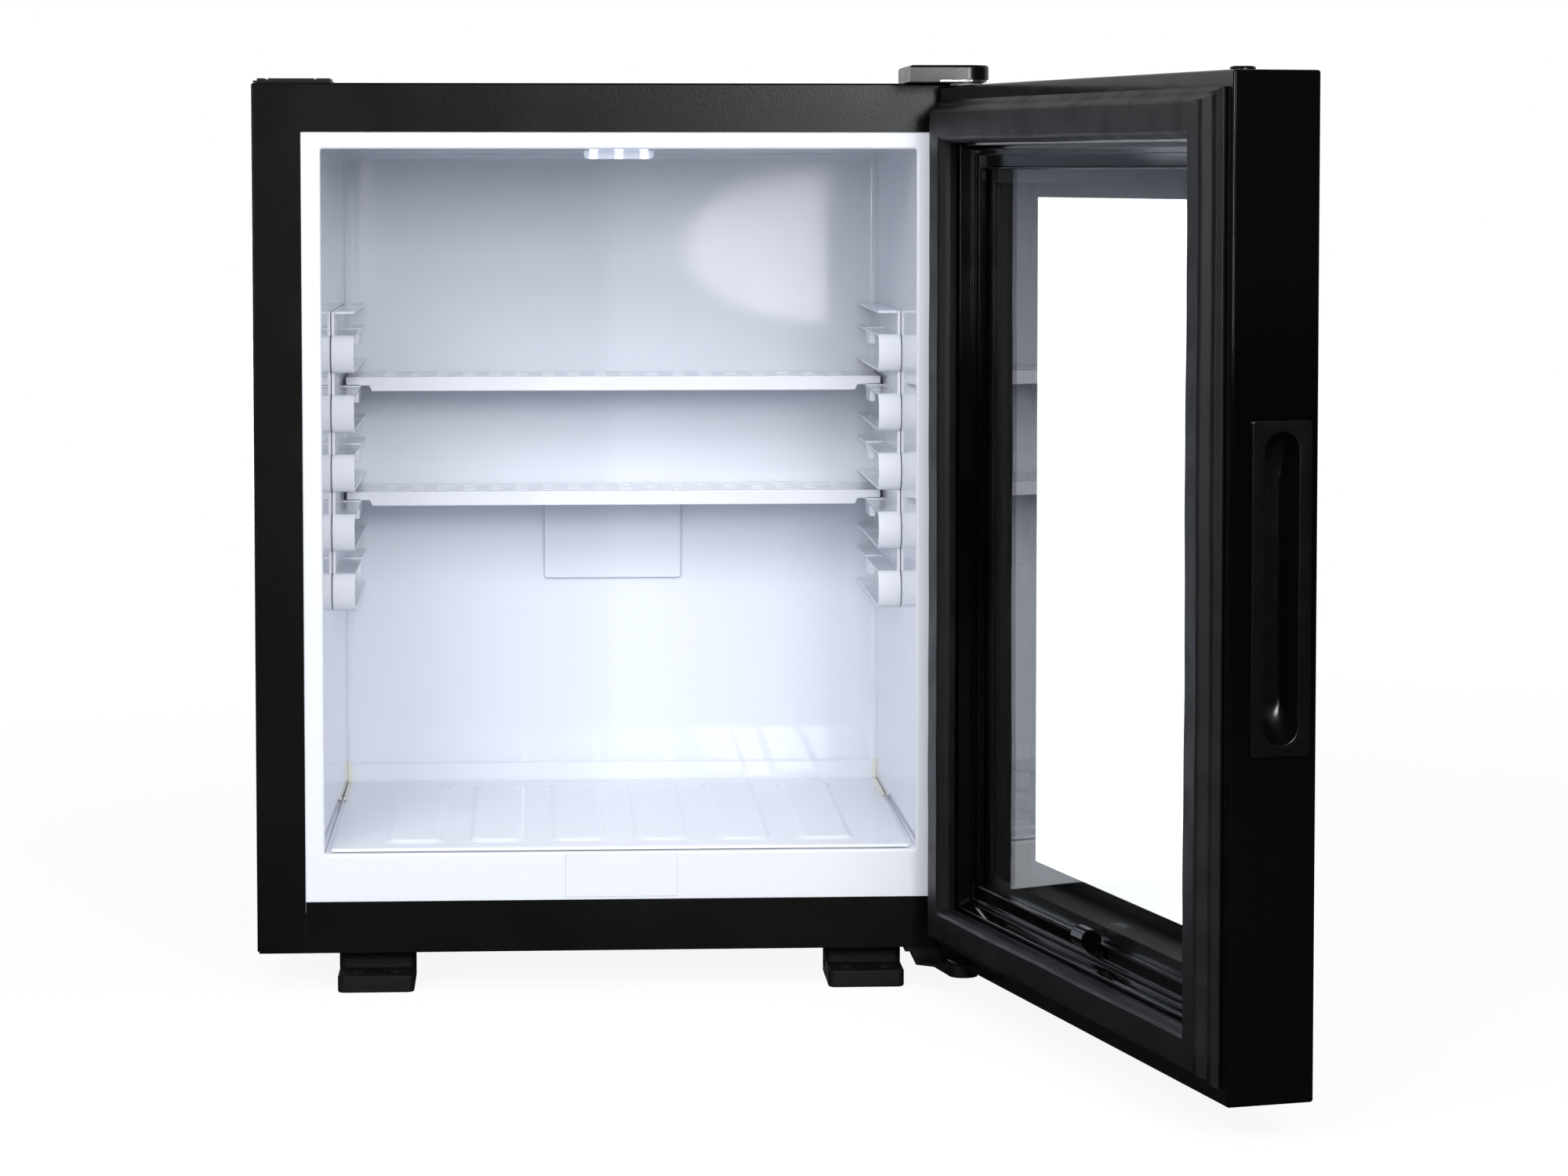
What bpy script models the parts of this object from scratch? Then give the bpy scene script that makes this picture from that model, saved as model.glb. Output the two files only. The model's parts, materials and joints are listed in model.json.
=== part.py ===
"""Glass door minibar fridge, built as separate pieces.

Metres, +Z up, +Y towards the back, +X to the right of someone who faces the door.
The origin is the centre of the cabinet's underside. The door stands open by DOOR_ANGLE.
Inside the cabinet a distance along Y is written as a depth behind the front plane, and
on the door a place is written as an inset from the door's edge and a depth behind its
inner face.
"""

import math

import bmesh
import bpy
from mathutils import Vector

MM = 0.001

# Clearances
GAP = 0.3 * MM
PIN_CLEARANCE = 0.1 * MM

# Cabinet shell
CABINET_WIDTH = 400 * MM
CABINET_HEIGHT = 477 * MM
CABINET_DEPTH = 368 * MM
SHEET = 0.8 * MM
STILE_WIDTH = 26.6 * MM
BOTTOM_RAIL = 28.3 * MM
REAR_RETURN = 12 * MM
BASE_INSET = 1.0 * MM
BACK_INSULATION = 32 * MM
STIFFENER_HALF_WIDTH = 90 * MM
STIFFENER_FRONT = 45 * MM
STIFFENER_WIDTH = 9 * MM
STIFFENER_DEPTH = 1.5 * MM
STIFFENER_SLOPE = 2 * MM
STIFFENER_BACK_MARGIN = 20 * MM

# Liner
MOUTH_SIDE_FLANGE = 10.6 * MM
MOUTH_TOP_FLANGE = 9.3 * MM
MOUTH_BOTTOM_FLANGE = 26.2 * MM
FLANGE_TUCK = 6 * MM
LINER_WALL = 2 * MM
FLANGE_THICKNESS = 1.8 * MM
LINER_DEPTH = 256 * MM
LINER_DRAFT = 1.5 * MM
LINER_CORNER = 1.2 * MM

# Floor pan
PAN_THICKNESS = 1.6 * MM
PAN_SIDE_INSET = 2.2 * MM
PAN_CORNER = 2 * MM
PAN_FRONT = 6 * MM
PAN_UPSTAND = 12.5 * MM
PLATEAU_COUNT = 6
PLATEAU_PITCH = 45.8 * MM
PLATEAU_WIDTH = 31 * MM
PLATEAU_HEIGHT = 1.6 * MM
PLATEAU_FRONT = 24 * MM
PLATEAU_BACK_MARGIN = 26 * MM
PLATEAU_CORNER = 7 * MM

# Switch plate and the reed switch behind it
SWITCH_PLATE_WIDTH = 61.5 * MM
SWITCH_PLATE_HEIGHT = 23.4 * MM
SWITCH_PLATE_THICKNESS = 0.7 * MM
REED_SIZE = (22 * MM, 5 * MM, 7 * MM)

# Evaporator, its cover and its tunnel through the foam
EVAPORATOR_HEIGHT = 208 * MM
COVER_WIDTH = 83 * MM
COVER_HEIGHT = 52 * MM
COVER_THICKNESS = 2.5 * MM
COVER_CORNER = 2 * MM
BLOCK_WIDTH = 76 * MM
BLOCK_HEIGHT = 44 * MM
BLOCK_THICKNESS = 14 * MM
TUNNEL_MARGIN = 8 * MM

# Lamp under the ceiling
LAMP_DEPTH = 35 * MM
LENS_WIDTH = 38.4 * MM
LENS_LENGTH = 20 * MM
LENS_DROP = 4.6 * MM
LENS_RIM = 3 * MM
LENS_CORNER = 1.5 * MM
HOUSING_WALL = 2 * MM
HOUSING_HEIGHT = 12 * MM
BOARD_THICKNESS = 1.6 * MM
LED_SIZE = 3.5 * MM

# Shelf racks
RACK_FRONT = 95 * MM
RACK_PLATE = 1.6 * MM
NOSE_EAR_STEP = 0.2 * MM
RACK_REACH = 13.6 * MM
RACK_LEVELS = 5
RACK_PITCH = 33.9 * MM
RACK_FIRST_LEVEL = 336.2 * MM
RACK_TOP = 349.6 * MM
CHANNEL_HEIGHT = 21.4 * MM
CHANNEL_WALL = 1.5 * MM
NOSE_REACH = 7 * MM
RIDGE_SETBACK = 0.7 * MM
RIDGE_WIDTH = 2 * MM
RIDGE_HEIGHT = 0.8 * MM
HOOK_DROP = 7.8 * MM
HOOK_LENGTH = 30 * MM
HOOK_WIDTH = 3.2 * MM
FRONT_RIB = 3 * MM

# Shelves
SHELF_WIDTH = 316 * MM
SHELF_DEPTH = 68.3 * MM
SHELF_BACK_GAP = 3.4 * MM
SHELF_PLATE = 2.2 * MM
SHELF_LIP = 8.3 * MM
SHELF_LIP_THICKNESS = 2.5 * MM
SHELF_TAB = 4.6 * MM
TAB_WIDTH = 8.8 * MM
NOTCH_WIDTH = 6.3 * MM
NOTCH_DEPTH = 5.0 * MM
PAD_LENGTH = 5 * MM
SLOT_COLUMNS = 18
SLOT_PITCH_X = 15.6 * MM
SLOT_PITCH_Y = 14 * MM
SLOT_LENGTH = 8 * MM
SLOT_WIDTH = 3.4 * MM
UPPER_SHELF_LEVEL = 1
LOWER_SHELF_LEVEL = 3

# Feet
FOOT_HEIGHT = 21 * MM
FOOT_WIDTH = 42 * MM
FOOT_LENGTH = 52 * MM
FOOT_TREAD = 25 * MM
FOOT_LIP = 9.5 * MM
FOOT_CORNER = 4 * MM
FOOT_OVERHANG = 7 * MM
FOOT_SPREAD = 135 * MM
REAR_FOOT_MARGIN = 58 * MM
FOOT_HOLE_RADIUS = 4.8 * MM
FOOT_HOLE_SPACING = 21.4 * MM
FOOT_HOLE_DEPTH = 12 * MM

# Door
DOOR_WIDTH = 400 * MM
DOOR_THICKNESS = 43.5 * MM
DOOR_TOP_DROP = 1.8 * MM
DOOR_BOTTOM_DROP = 2.5 * MM
DOOR_GAP = 11.5 * MM
DOOR_ANGLE = math.radians(104)
PIVOT_FROM_EDGE = 13 * MM
PIVOT_FROM_FACE = 10 * MM
DOOR_WALL = 2.5 * MM
FRAME_BORDER = 8 * MM
REBATE_DEPTH = 6.5 * MM
REBATE_WIDTH = 20 * MM
REBATE_THICKNESS = 1.4 * MM
GROOVE_START = 18 * MM
GROOVE_WIDTH = 4 * MM

# Inner frame, as insets and depths of its steps
INNER_FRAME_EDGE = 45.2 * MM
FIRST_STEP_INSET = 34.6 * MM
FIRST_STEP_DEPTH = 6.0 * MM
SECOND_STEP_INSET = 37.5 * MM
SECOND_STEP_DEPTH = 7.6 * MM
BEAD_INSET = 43.6 * MM
BEAD_RISE = 0.8 * MM
FRAME_RAMP = 2 * MM
STEP_RAMP = 0.2 * MM
BEAD_RAMP = 0.4 * MM
INNER_GLASS_DEPTH = 10.6 * MM

# Glazing
INNER_GLASS_THICKNESS = 4 * MM
INNER_GLASS_INSET = 33 * MM
OUTER_GLASS_THICKNESS = 5 * MM
SPACER_INSET = 40 * MM
SPACER_WIDTH = 12.3 * MM

# Gasket
GASKET_OUTER = 7.4 * MM
GASKET_INNER = 31.2 * MM
CREST_START = 14.5 * MM
CREST_END = 27.8 * MM
GASKET_SKIN = 0.8 * MM
MAGNET_WIDTH = 9.4 * MM
MAGNET_THICKNESS = 2.6 * MM
DART_DEPTH = 7.2 * MM
DART_STEM = 1.2 * MM
DART_BARB = 1.7 * MM
DART_TIP = 1 * MM
MAGNET_SLIT = 2 * MM

# Handle insert
HANDLE_PLATE_WIDTH = 30 * MM
HANDLE_PLATE_HEIGHT = 155.2 * MM
HANDLE_PLATE_THICKNESS = 1.2 * MM
HANDLE_RECESS_WIDTH = 16.8 * MM
HANDLE_RECESS_HEIGHT = 144.3 * MM
HANDLE_RECESS_DEPTH = 14.5 * MM
HANDLE_WALL = 1.0 * MM
HANDLE_RISE = 1 * MM
HANDLE_PLATE_CORNER = 1.5 * MM
HANDLE_CENTRE_DEPTH = 24.8 * MM

# Switch magnet holder on the lower inner frame
HOLDER_FROM_HINGE_EDGE = 218 * MM
HOLDER_HEIGHT = 45 * MM
HOLDER_RADIUS = 5.5 * MM
HOLDER_LENGTH = 16 * MM
HOLDER_DEPTH = 1.5 * MM
SWITCH_MAGNET_RADIUS = 3 * MM
HOLDER_EDGE = 0.6 * MM
HOLDER_END_WALL = 1.5 * MM
HOLDER_FOOT = 1.6 * MM

# Hinges
PIN_RADIUS = 3 * MM
PIN_POINT = 0.5 * MM
PIN_SHORT = 4 * MM
PIN_HEAD_REACH = 2 * MM
PIN_HEAD_HEIGHT = 1.4 * MM
HINGE_PLATE_THICKNESS = 2 * MM
HINGE_PLATE_BACK = 38 * MM
COVER_LEFT = 156 * MM
COVER_BACK = 42 * MM
HINGE_COVER_HEIGHT = 9 * MM
HINGE_COVER_WALL = 1.5 * MM
COVER_NOSE_RADIUS = 12.6 * MM
COVER_NOTCH_LEFT = 172 * MM
COVER_NOTCH_HEIGHT = 1.2 * MM
BUSH_RADIUS = 5 * MM
BUSH_FLANGE_RADIUS = 8.5 * MM
BUSH_FLANGE = 1.1 * MM
BUSH_LENGTH = 20 * MM
BUSH_END = 2 * MM
BRACKET_DROP = 12.2 * MM
BRACKET_PLATE = 2.5 * MM
BRACKET_BACK = 50 * MM
BRACKET_LEFT = 157 * MM
BRACKET_FRONT = 1 * MM
BRACKET_SIDE = 2 * MM
ARM_START = 4 * MM
ARM_START_DROP = 0.5 * MM
ARM_KNEE = 14 * MM
ARM_KNEE_DROP = 1.8 * MM
BOSS_DROP = 3 * MM
BOSS_RADIUS = 8 * MM
PIN_COLLAR = 1.0 * MM
COLLAR_REACH = 3.4 * MM
PIN_FOOT = 1 * MM
PLUG_RADIUS = 5 * MM
PLUG_RISE = 1.8 * MM
PLUG_BRIM = 1 * MM
PLUG_EDGE = 0.5 * MM
SCREW_RADIUS = 2.2 * MM
SCREW_HEAD_RADIUS = 4.4 * MM
SCREW_HEAD_HEIGHT = 1.8 * MM
SCREW_LENGTH = 12 * MM
SCREW_SPACING = 20 * MM
SCREW_BACK = 24 * MM

# Blank plate over the unused hinge place
BLANK_WIDTH = 42 * MM
BLANK_LENGTH = 38 * MM
BLANK_THICKNESS = 0.9 * MM
BLANK_CAP_RISE = 1.3 * MM
BLANK_SETBACK = 2 * MM
BLANK_BORDER = 3 * MM
CAP_STARTS = (2 * MM, 8 * MM, 34 * MM)
CAP_WIDTHS = (4 * MM, 24.5 * MM, 7.4 * MM)

# Cooling unit behind the back panel
VESSEL_RADIUS = 22 * MM
VESSEL_LENGTH = 210 * MM
VESSEL_HEIGHT = 45 * MM
UNIT_STANDOFF = 42.6 * MM
TUBE_RADIUS = 6 * MM
COIL_LEFT = -110 * MM
COIL_RIGHT = 75 * MM
COIL_FIRST = 98 * MM
COIL_PITCH = 30 * MM
COIL_RUNS = 4
COIL_BEND = 14 * MM
CONDENSER_DROP = 52 * MM
CONDENSER_LENGTH = 230 * MM
CONDENSER_FALL = 4 * MM
FIN_COUNT = 13
FIN_PITCH = 15 * MM
FIN_SIZE = 52 * MM
FIN_THICKNESS = 0.8 * MM
BOILER_RADIUS = 25 * MM
BOILER_BOTTOM = 62 * MM
BOILER_HEIGHT = 230 * MM
BOILER_PLACE = 150 * MM
BOILER_EDGE = 2 * MM
HEATER_RADIUS = 5 * MM
HEATER_LENGTH = 80 * MM
LEAD_RADIUS = 2.5 * MM
LEAD_HEIGHT = 12 * MM
HEATER_STICK_OUT = 8 * MM
STRAP_WIDTH = 14 * MM
STRAP_THICKNESS = 1.4 * MM
STRAP_LEFT = -70 * MM
STRAP_RIGHT = 40 * MM
STRAP_OVERHANG = 16 * MM
STRAP_FLANGE = 12 * MM
BOILER_PLATE = 20 * MM
BOILER_WEB = 2 * MM
BOILER_BRACKET_HALF = 10 * MM

# Control box
BOX_WIDTH = 60 * MM
BOX_HEIGHT = 100 * MM
BOX_DEPTH = 48 * MM
BOX_WALL = 2 * MM
BOX_CENTRE = -163 * MM
BOX_BOTTOM = 26 * MM
LID_THICKNESS = 2 * MM
INLET_WIDTH = 27 * MM
INLET_HEIGHT = 20 * MM
INLET_DEPTH = 16 * MM
BLADE_RADIUS = 1.6 * MM
BLADE_SHIFT = 6 * MM
BLADE_DROP = 2 * MM
EARTH_BLADE_RISE = 3 * MM
BLADE_SETBACK = 4 * MM
INLET_CORNER = 2 * MM
INLET_WALL = 2 * MM
INLET_BRIM = 3 * MM
INLET_BRIM_THICKNESS = 1.5 * MM
INLET_FLOOR = 1.5 * MM
RELAY_SIZE = (22 * MM, 16 * MM, 22 * MM)
RELAY_PLACE = (-18 * MM, 62 * MM)
CAPACITOR_SIZE = (12 * MM, 10 * MM, 12 * MM)
CAPACITOR_PLACE = (8 * MM, 60 * MM)

ROUND_SEGMENTS = 32
SMALL_SEGMENTS = 16

# Places that follow from the sizes above
HALF_WIDTH = CABINET_WIDTH / 2
FRONT = -CABINET_DEPTH / 2
WRAP_BOTTOM = SHEET + GAP
FLANGE_FRONT = SHEET + GAP
MOUTH_HALF_WIDTH = HALF_WIDTH - STILE_WIDTH - MOUTH_SIDE_FLANGE
MOUTH_BOTTOM = BOTTOM_RAIL + MOUTH_BOTTOM_FLANGE
MOUTH_TOP = CABINET_HEIGHT - STILE_WIDTH - MOUTH_TOP_FLANGE
LINER_OUTER_BACK = LINER_DEPTH + LINER_WALL
FOAM_FRONT = FLANGE_FRONT + FLANGE_THICKNESS + GAP
FOAM_BACK = LINER_OUTER_BACK + GAP + BACK_INSULATION
BACK_PANEL_FRONT = FOAM_BACK + GAP
BACK_PANEL_REAR = BACK_PANEL_FRONT + SHEET
UNIT_DEPTH = BACK_PANEL_REAR + UNIT_STANDOFF
CONDENSER_HEIGHT = CABINET_HEIGHT - CONDENSER_DROP
PLATEAU_BACK = LINER_DEPTH - PLATEAU_BACK_MARGIN
SHELF_FRONT = LINER_DEPTH - SHELF_BACK_GAP - SHELF_DEPTH
RIDGE_PLACE = SHELF_FRONT + RIDGE_SETBACK
REAR_FOOT_FRONT = CABINET_DEPTH - REAR_FOOT_MARGIN
DOOR_TOP = CABINET_HEIGHT - DOOR_TOP_DROP
DOOR_BOTTOM = -DOOR_BOTTOM_DROP
HANDLE_CENTRE_HEIGHT = (DOOR_TOP + DOOR_BOTTOM) / 2 + HANDLE_RISE
PIVOT_X = HALF_WIDTH - PIVOT_FROM_EDGE
PIVOT_Y = FRONT - DOOR_GAP - PIVOT_FROM_FACE
HINGE_PLATE_BOTTOM = CABINET_HEIGHT + GAP
RACK_INNER = MOUTH_HALF_WIDTH - RACK_REACH


# Materials

def finish(name, colour, roughness, metallic=0.0, alpha=1.0):
    """A Principled material with the piece's colour, roughness and metallic value."""
    material = bpy.data.materials.new(name)
    material.use_nodes = True
    shader = material.node_tree.nodes["Principled BSDF"]
    shader.inputs["Base Color"].default_value = (*colour, 1.0)
    shader.inputs["Roughness"].default_value = roughness
    shader.inputs["Metallic"].default_value = metallic
    shader.inputs["Alpha"].default_value = alpha
    material.diffuse_color = (*colour, alpha)
    return material


def remove_old_objects():
    """Empties the scene, so that the model is the only thing in it."""
    for old in list(bpy.data.objects):
        bpy.data.objects.remove(old, do_unlink=True)


# Building tools

def place(name, mesh_or_curve, material=None, parent=None):
    """Puts a mesh or a curve into the scene under the piece's name."""
    piece = bpy.data.objects.new(name, mesh_or_curve)
    bpy.context.scene.collection.objects.link(piece)
    if material is not None:
        mesh_or_curve.materials.append(material)
    if parent is not None:
        piece.parent = parent
    return piece


def finish_mesh(name, builder, material, parent, smooth):
    """Turns a bmesh into an object with its faces pointing out."""
    bmesh.ops.recalc_face_normals(builder, faces=builder.faces)
    mesh = bpy.data.meshes.new(name)
    builder.to_mesh(mesh)
    builder.free()
    if smooth:
        mesh.shade_smooth()
        mesh.set_sharp_from_angle(angle=math.radians(35))
    return place(name, mesh, material, parent)


def lofted(name, loops, material, parent=None, ring=False, smooth=False):
    """A solid skinned over closed loops of points; a ring joins its last loop to its first."""
    builder = bmesh.new()
    rows = [[builder.verts.new(point) for point in loop] for loop in loops]
    count = len(rows[0])
    pairs = list(zip(rows, rows[1:]))
    if ring:
        pairs.append((rows[-1], rows[0]))
    for low, high in pairs:
        for index in range(count):
            following = (index + 1) % count
            builder.faces.new((low[index], low[following], high[following], high[index]))
    if not ring:
        builder.faces.new(list(reversed(rows[0])))
        builder.faces.new(rows[-1])
    return finish_mesh(name, builder, material, parent, smooth)


def prism(name, outline, axis, low, high, material=None, parent=None, smooth=False):
    """An outline pushed along an axis. The outline holds the other two coordinates in order."""
    def at(point, height):
        first, second = point
        if axis == "X":
            return Vector((height, first, second))
        if axis == "Y":
            return Vector((first, height, second))
        return Vector((first, second, height))

    loops = [[at(point, height) for point in outline] for height in (low, high)]
    return lofted(name, loops, material, parent, smooth=smooth)


def box_outline(x_low, x_high, y_low, y_high):
    """The four corners of a rectangle."""
    return [(x_low, y_low), (x_high, y_low), (x_high, y_high), (x_low, y_high)]


def box(name, low, high, material=None, parent=None):
    """A plain block between two corners."""
    outline = box_outline(low[0], high[0], low[1], high[1])
    return prism(name, outline, "Z", low[2], high[2], material, parent)


def rounded_outline(x_low, x_high, y_low, y_high, radius, steps=3):
    """A rectangle with round corners, anticlockwise."""
    centres = [
        (x_high - radius, y_low + radius, -90),
        (x_high - radius, y_high - radius, 0),
        (x_low + radius, y_high - radius, 90),
        (x_low + radius, y_low + radius, 180),
    ]
    points = []
    for centre_x, centre_y, start in centres:
        for step in range(steps + 1):
            angle = math.radians(start + 90 * step / steps)
            points.append((centre_x + radius * math.cos(angle), centre_y + radius * math.sin(angle)))
    return points


def circle_outline(centre_x, centre_y, radius, segments=SMALL_SEGMENTS):
    """A circle as a polygon."""
    points = []
    for index in range(segments):
        angle = 2 * math.pi * index / segments
        points.append((centre_x + radius * math.cos(angle), centre_y + radius * math.sin(angle)))
    return points


def round_solid(name, profile, centre, axis, material=None, parent=None, hollow=False,
                segments=SMALL_SEGMENTS):
    """A turned piece. The profile holds (radius, distance along the axis); hollow ones close on themselves."""
    directions = {
        "X": (Vector((0, 1, 0)), Vector((0, 0, 1)), Vector((1, 0, 0))),
        "Y": (Vector((0, 0, 1)), Vector((1, 0, 0)), Vector((0, 1, 0))),
        "Z": (Vector((1, 0, 0)), Vector((0, 1, 0)), Vector((0, 0, 1))),
    }
    first, second, along = directions[axis]
    loops = []
    for radius, distance in profile:
        loop = []
        for index in range(segments):
            angle = 2 * math.pi * index / segments
            spoke = first * math.cos(angle) + second * math.sin(angle)
            loop.append(Vector(centre) + spoke * radius + along * distance)
        loops.append(loop)
    return lofted(name, loops, material, parent, ring=hollow, smooth=True)


def block_union(name, blocks, material=None, parent=None):
    """One solid that fills several overlapping or touching blocks, without inner walls."""
    cuts = []
    for axis in range(3):
        marks = sorted({round(corner[axis], 7) for block in blocks for corner in block})
        cuts.append(marks)

    def filled(cell):
        middle = [(cuts[a][cell[a]] + cuts[a][cell[a] + 1]) / 2 for a in range(3)]
        return any(all(low[a] < middle[a] < high[a] for a in range(3)) for low, high in blocks)

    sizes = [len(marks) - 1 for marks in cuts]
    cells = {
        (i, j, k)
        for i in range(sizes[0]) for j in range(sizes[1]) for k in range(sizes[2])
        if filled((i, j, k))
    }
    builder = bmesh.new()
    corners = {}

    def vertex(index):
        if index not in corners:
            corners[index] = builder.verts.new([cuts[a][index[a]] for a in range(3)])
        return corners[index]

    for cell in cells:
        for axis in range(3):
            for side in (0, 1):
                neighbour = list(cell)
                neighbour[axis] += 2 * side - 1
                if tuple(neighbour) in cells:
                    continue
                others = [a for a in range(3) if a != axis]
                face = []
                for step in ((0, 0), (1, 0), (1, 1), (0, 1)):
                    index = list(cell)
                    index[axis] += side
                    index[others[0]] += step[0]
                    index[others[1]] += step[1]
                    face.append(vertex(tuple(index)))
                builder.faces.new(face)
    bmesh.ops.recalc_face_normals(builder, faces=builder.faces)
    bmesh.ops.dissolve_limit(
        builder, angle_limit=math.radians(1), verts=builder.verts, edges=builder.edges)
    return finish_mesh(name, builder, material, parent, smooth=False)


def swept_frame(name, stations, profile, depth_to_y, material=None, parent=None, ring=True, smooth=False):
    """A profile carried round a rectangular frame with mitred corners.

    Each station is (x, z, inward x, inward z); each profile point is (inset, depth).
    """
    loops = []
    for x, z, inward_x, inward_z in stations:
        loops.append([
            Vector((x + inward_x * inset, depth_to_y(depth), z + inward_z * inset))
            for inset, depth in profile
        ])
    return lofted(name, loops, material, parent, ring=ring, smooth=smooth)


def make_guide(guide):
    """Marks a helper that shapes another piece and isn't a piece itself."""
    guide.hide_render = True
    guide.display_type = "WIRE"
    return guide


def combine(target, other, operation):
    """Adds a Boolean to the target and keeps the other shape as its guide."""
    make_guide(other)
    if target.parent is not None:
        other.parent = target.parent
    modifier = target.modifiers.new(operation.title() + " " + other.name, "BOOLEAN")
    modifier.operation = operation
    modifier.solver = "EXACT"
    modifier.object = other


def cut(target, cutter):
    """Takes the cutter's shape out of the target."""
    combine(target, cutter, "DIFFERENCE")


def fuse(target, other):
    """Joins the other shape to the target as one body."""
    combine(target, other, "UNION")


def joined_guide(name, guides):
    """Puts several separate cutters into one object."""
    builder = bmesh.new()
    for guide in guides:
        builder.from_mesh(guide.data)
        bpy.data.objects.remove(guide, do_unlink=True)
    mesh = bpy.data.meshes.new(name)
    builder.to_mesh(mesh)
    builder.free()
    return place(name, mesh)


def rounded_route(corners, bend, steps=4):
    """A route through corner points with each corner turned into an arc of about the bend radius."""
    points = [Vector(corners[0])]
    for before, corner, after in zip(corners, corners[1:], corners[2:]):
        before, corner, after = Vector(before), Vector(corner), Vector(after)
        arrive = (corner - before).normalized()
        leave = (after - corner).normalized()
        turn = arrive.angle(leave)
        if turn < math.radians(1):
            points.append(corner)
            continue
        reach = min(bend * math.tan(turn / 2), (corner - before).length * 0.49, (after - corner).length * 0.49)
        radius = reach / math.tan(turn / 2)
        normal = (leave - arrive).normalized()
        centre = corner + normal * (radius / math.cos(turn / 2))
        start = corner - arrive * reach - centre
        for step in range(steps + 1):
            angle = turn * step / steps
            side = arrive * radius
            points.append(centre + start * math.cos(angle) + side * math.sin(angle))
    points.append(Vector(corners[-1]))
    return points


def pipe(name, points, radius, material, parent=None, resolution=2):
    """A round tube along a route, with filled ends."""
    curve = bpy.data.curves.new(name, "CURVE")
    curve.dimensions = "3D"
    curve.bevel_depth = radius
    curve.bevel_resolution = resolution
    curve.use_fill_caps = True
    spline = curve.splines.new("POLY")
    spline.points.add(len(points) - 1)
    for target, point in zip(spline.points, points):
        target.co = (*point, 1.0)
    return place(name, curve, material, parent)


# Cabinet

def cabinet_stations():
    """The open U that the wrap follows: up the left side, over the top, down the right side."""
    return [
        (-HALF_WIDTH, WRAP_BOTTOM, 1, 0),
        (-HALF_WIDTH, CABINET_HEIGHT, 1, -1),
        (HALF_WIDTH, CABINET_HEIGHT, -1, -1),
        (HALF_WIDTH, WRAP_BOTTOM, -1, 0),
    ]


def hinge_screw_places():
    """The two screws of each hinge, across the cabinet."""
    middle = (COVER_LEFT + HALF_WIDTH) / 2
    return [middle - SCREW_SPACING / 2, middle + SCREW_SPACING / 2]


def screw_hole_cutter(name, low, high):
    """Clearance holes for the two screws of a hinge."""
    y = FRONT + SCREW_BACK
    radius = SCREW_RADIUS + GAP
    holes = [
        prism("hole", circle_outline(x, y, radius, 12), "Z", low, high)
        for x in hinge_screw_places()
    ]
    return joined_guide(name, holes)


def build_outer_wrap(black_steel):
    """Side and top sheet with folded returns at the front and the back."""
    profile = [
        (0, 0),
        (0, CABINET_DEPTH),
        (REAR_RETURN, CABINET_DEPTH),
        (REAR_RETURN, CABINET_DEPTH - SHEET),
        (SHEET, CABINET_DEPTH - SHEET),
        (SHEET, SHEET),
        (STILE_WIDTH, SHEET),
        (STILE_WIDTH, 0),
    ]
    wrap = swept_frame("outer_wrap", cabinet_stations(), profile, lambda depth: FRONT + depth,
                       black_steel, ring=False)
    cut(wrap, screw_hole_cutter("wrap_screw_cutter", CABINET_HEIGHT - 5 * SHEET, CABINET_HEIGHT + SHEET))


def stiffener(name, grow, low):
    """The shallow channel pressed up into the base sheet, as a closed rectangle between the feet."""
    half = STIFFENER_HALF_WIDTH
    front = FRONT + STIFFENER_FRONT
    back = FRONT + FOAM_BACK - STIFFENER_BACK_MARGIN
    high = STIFFENER_DEPTH + grow
    profile = [
        (-grow, low),
        (STIFFENER_WIDTH + grow, low),
        (STIFFENER_WIDTH - STIFFENER_SLOPE + grow, high),
        (STIFFENER_SLOPE - grow, high),
    ]
    corners = [(-half, front, 1, 1), (half, front, -1, 1), (half, back, -1, -1), (-half, back, 1, -1)]
    loops = [
        [Vector((x + across * inset, y + along * inset, z)) for inset, z in profile]
        for x, y, across, along in corners
    ]
    return lofted(name, loops, None, ring=True)


def build_base_panel(black_steel):
    """Bottom tray with a pressed stiffener and the lower front rail that stands between the stiles."""
    tray_half = HALF_WIDTH - BASE_INSET
    rail_half = HALF_WIDTH - STILE_WIDTH - GAP
    base = block_union("base_panel", [
        ((-tray_half, FRONT, 0), (tray_half, -FRONT - BASE_INSET, SHEET)),
        ((-rail_half, FRONT, 0), (rail_half, FRONT + SHEET, BOTTOM_RAIL)),
    ], black_steel)
    fuse(base, stiffener("base_stiffener_rise", SHEET, SHEET / 2))
    cut(base, stiffener("base_stiffener_cutter", 0, -SHEET))
    cut(base, screw_hole_cutter("base_screw_cutter", -SHEET, 2 * SHEET))


def build_back_panel(black_steel):
    """Flat sheet behind the foam, with the hole for the evaporator's tubes."""
    half = HALF_WIDTH - SHEET - GAP
    panel = box("back_panel", (-half, FRONT + BACK_PANEL_FRONT, WRAP_BOTTOM),
                (half, FRONT + BACK_PANEL_REAR, CABINET_HEIGHT - SHEET - GAP), black_steel)
    hole = box("back_panel_cutter",
               (-BLOCK_WIDTH / 2, FRONT + BACK_PANEL_FRONT - SHEET, EVAPORATOR_HEIGHT - BLOCK_HEIGHT / 2),
               (BLOCK_WIDTH / 2, FRONT + BACK_PANEL_REAR + SHEET, EVAPORATOR_HEIGHT + BLOCK_HEIGHT / 2))
    cut(panel, hole)


def mouth_loop(grow, depth, draft=0.0, corner=LINER_CORNER):
    """The liner's mouth outline, grown outwards by one amount on every side."""
    half = MOUTH_HALF_WIDTH + grow - draft
    outline = rounded_outline(-half, half, MOUTH_BOTTOM - grow + draft, MOUTH_TOP + grow - draft, corner)
    return [Vector((x, FRONT + depth, z)) for x, z in outline]


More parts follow.
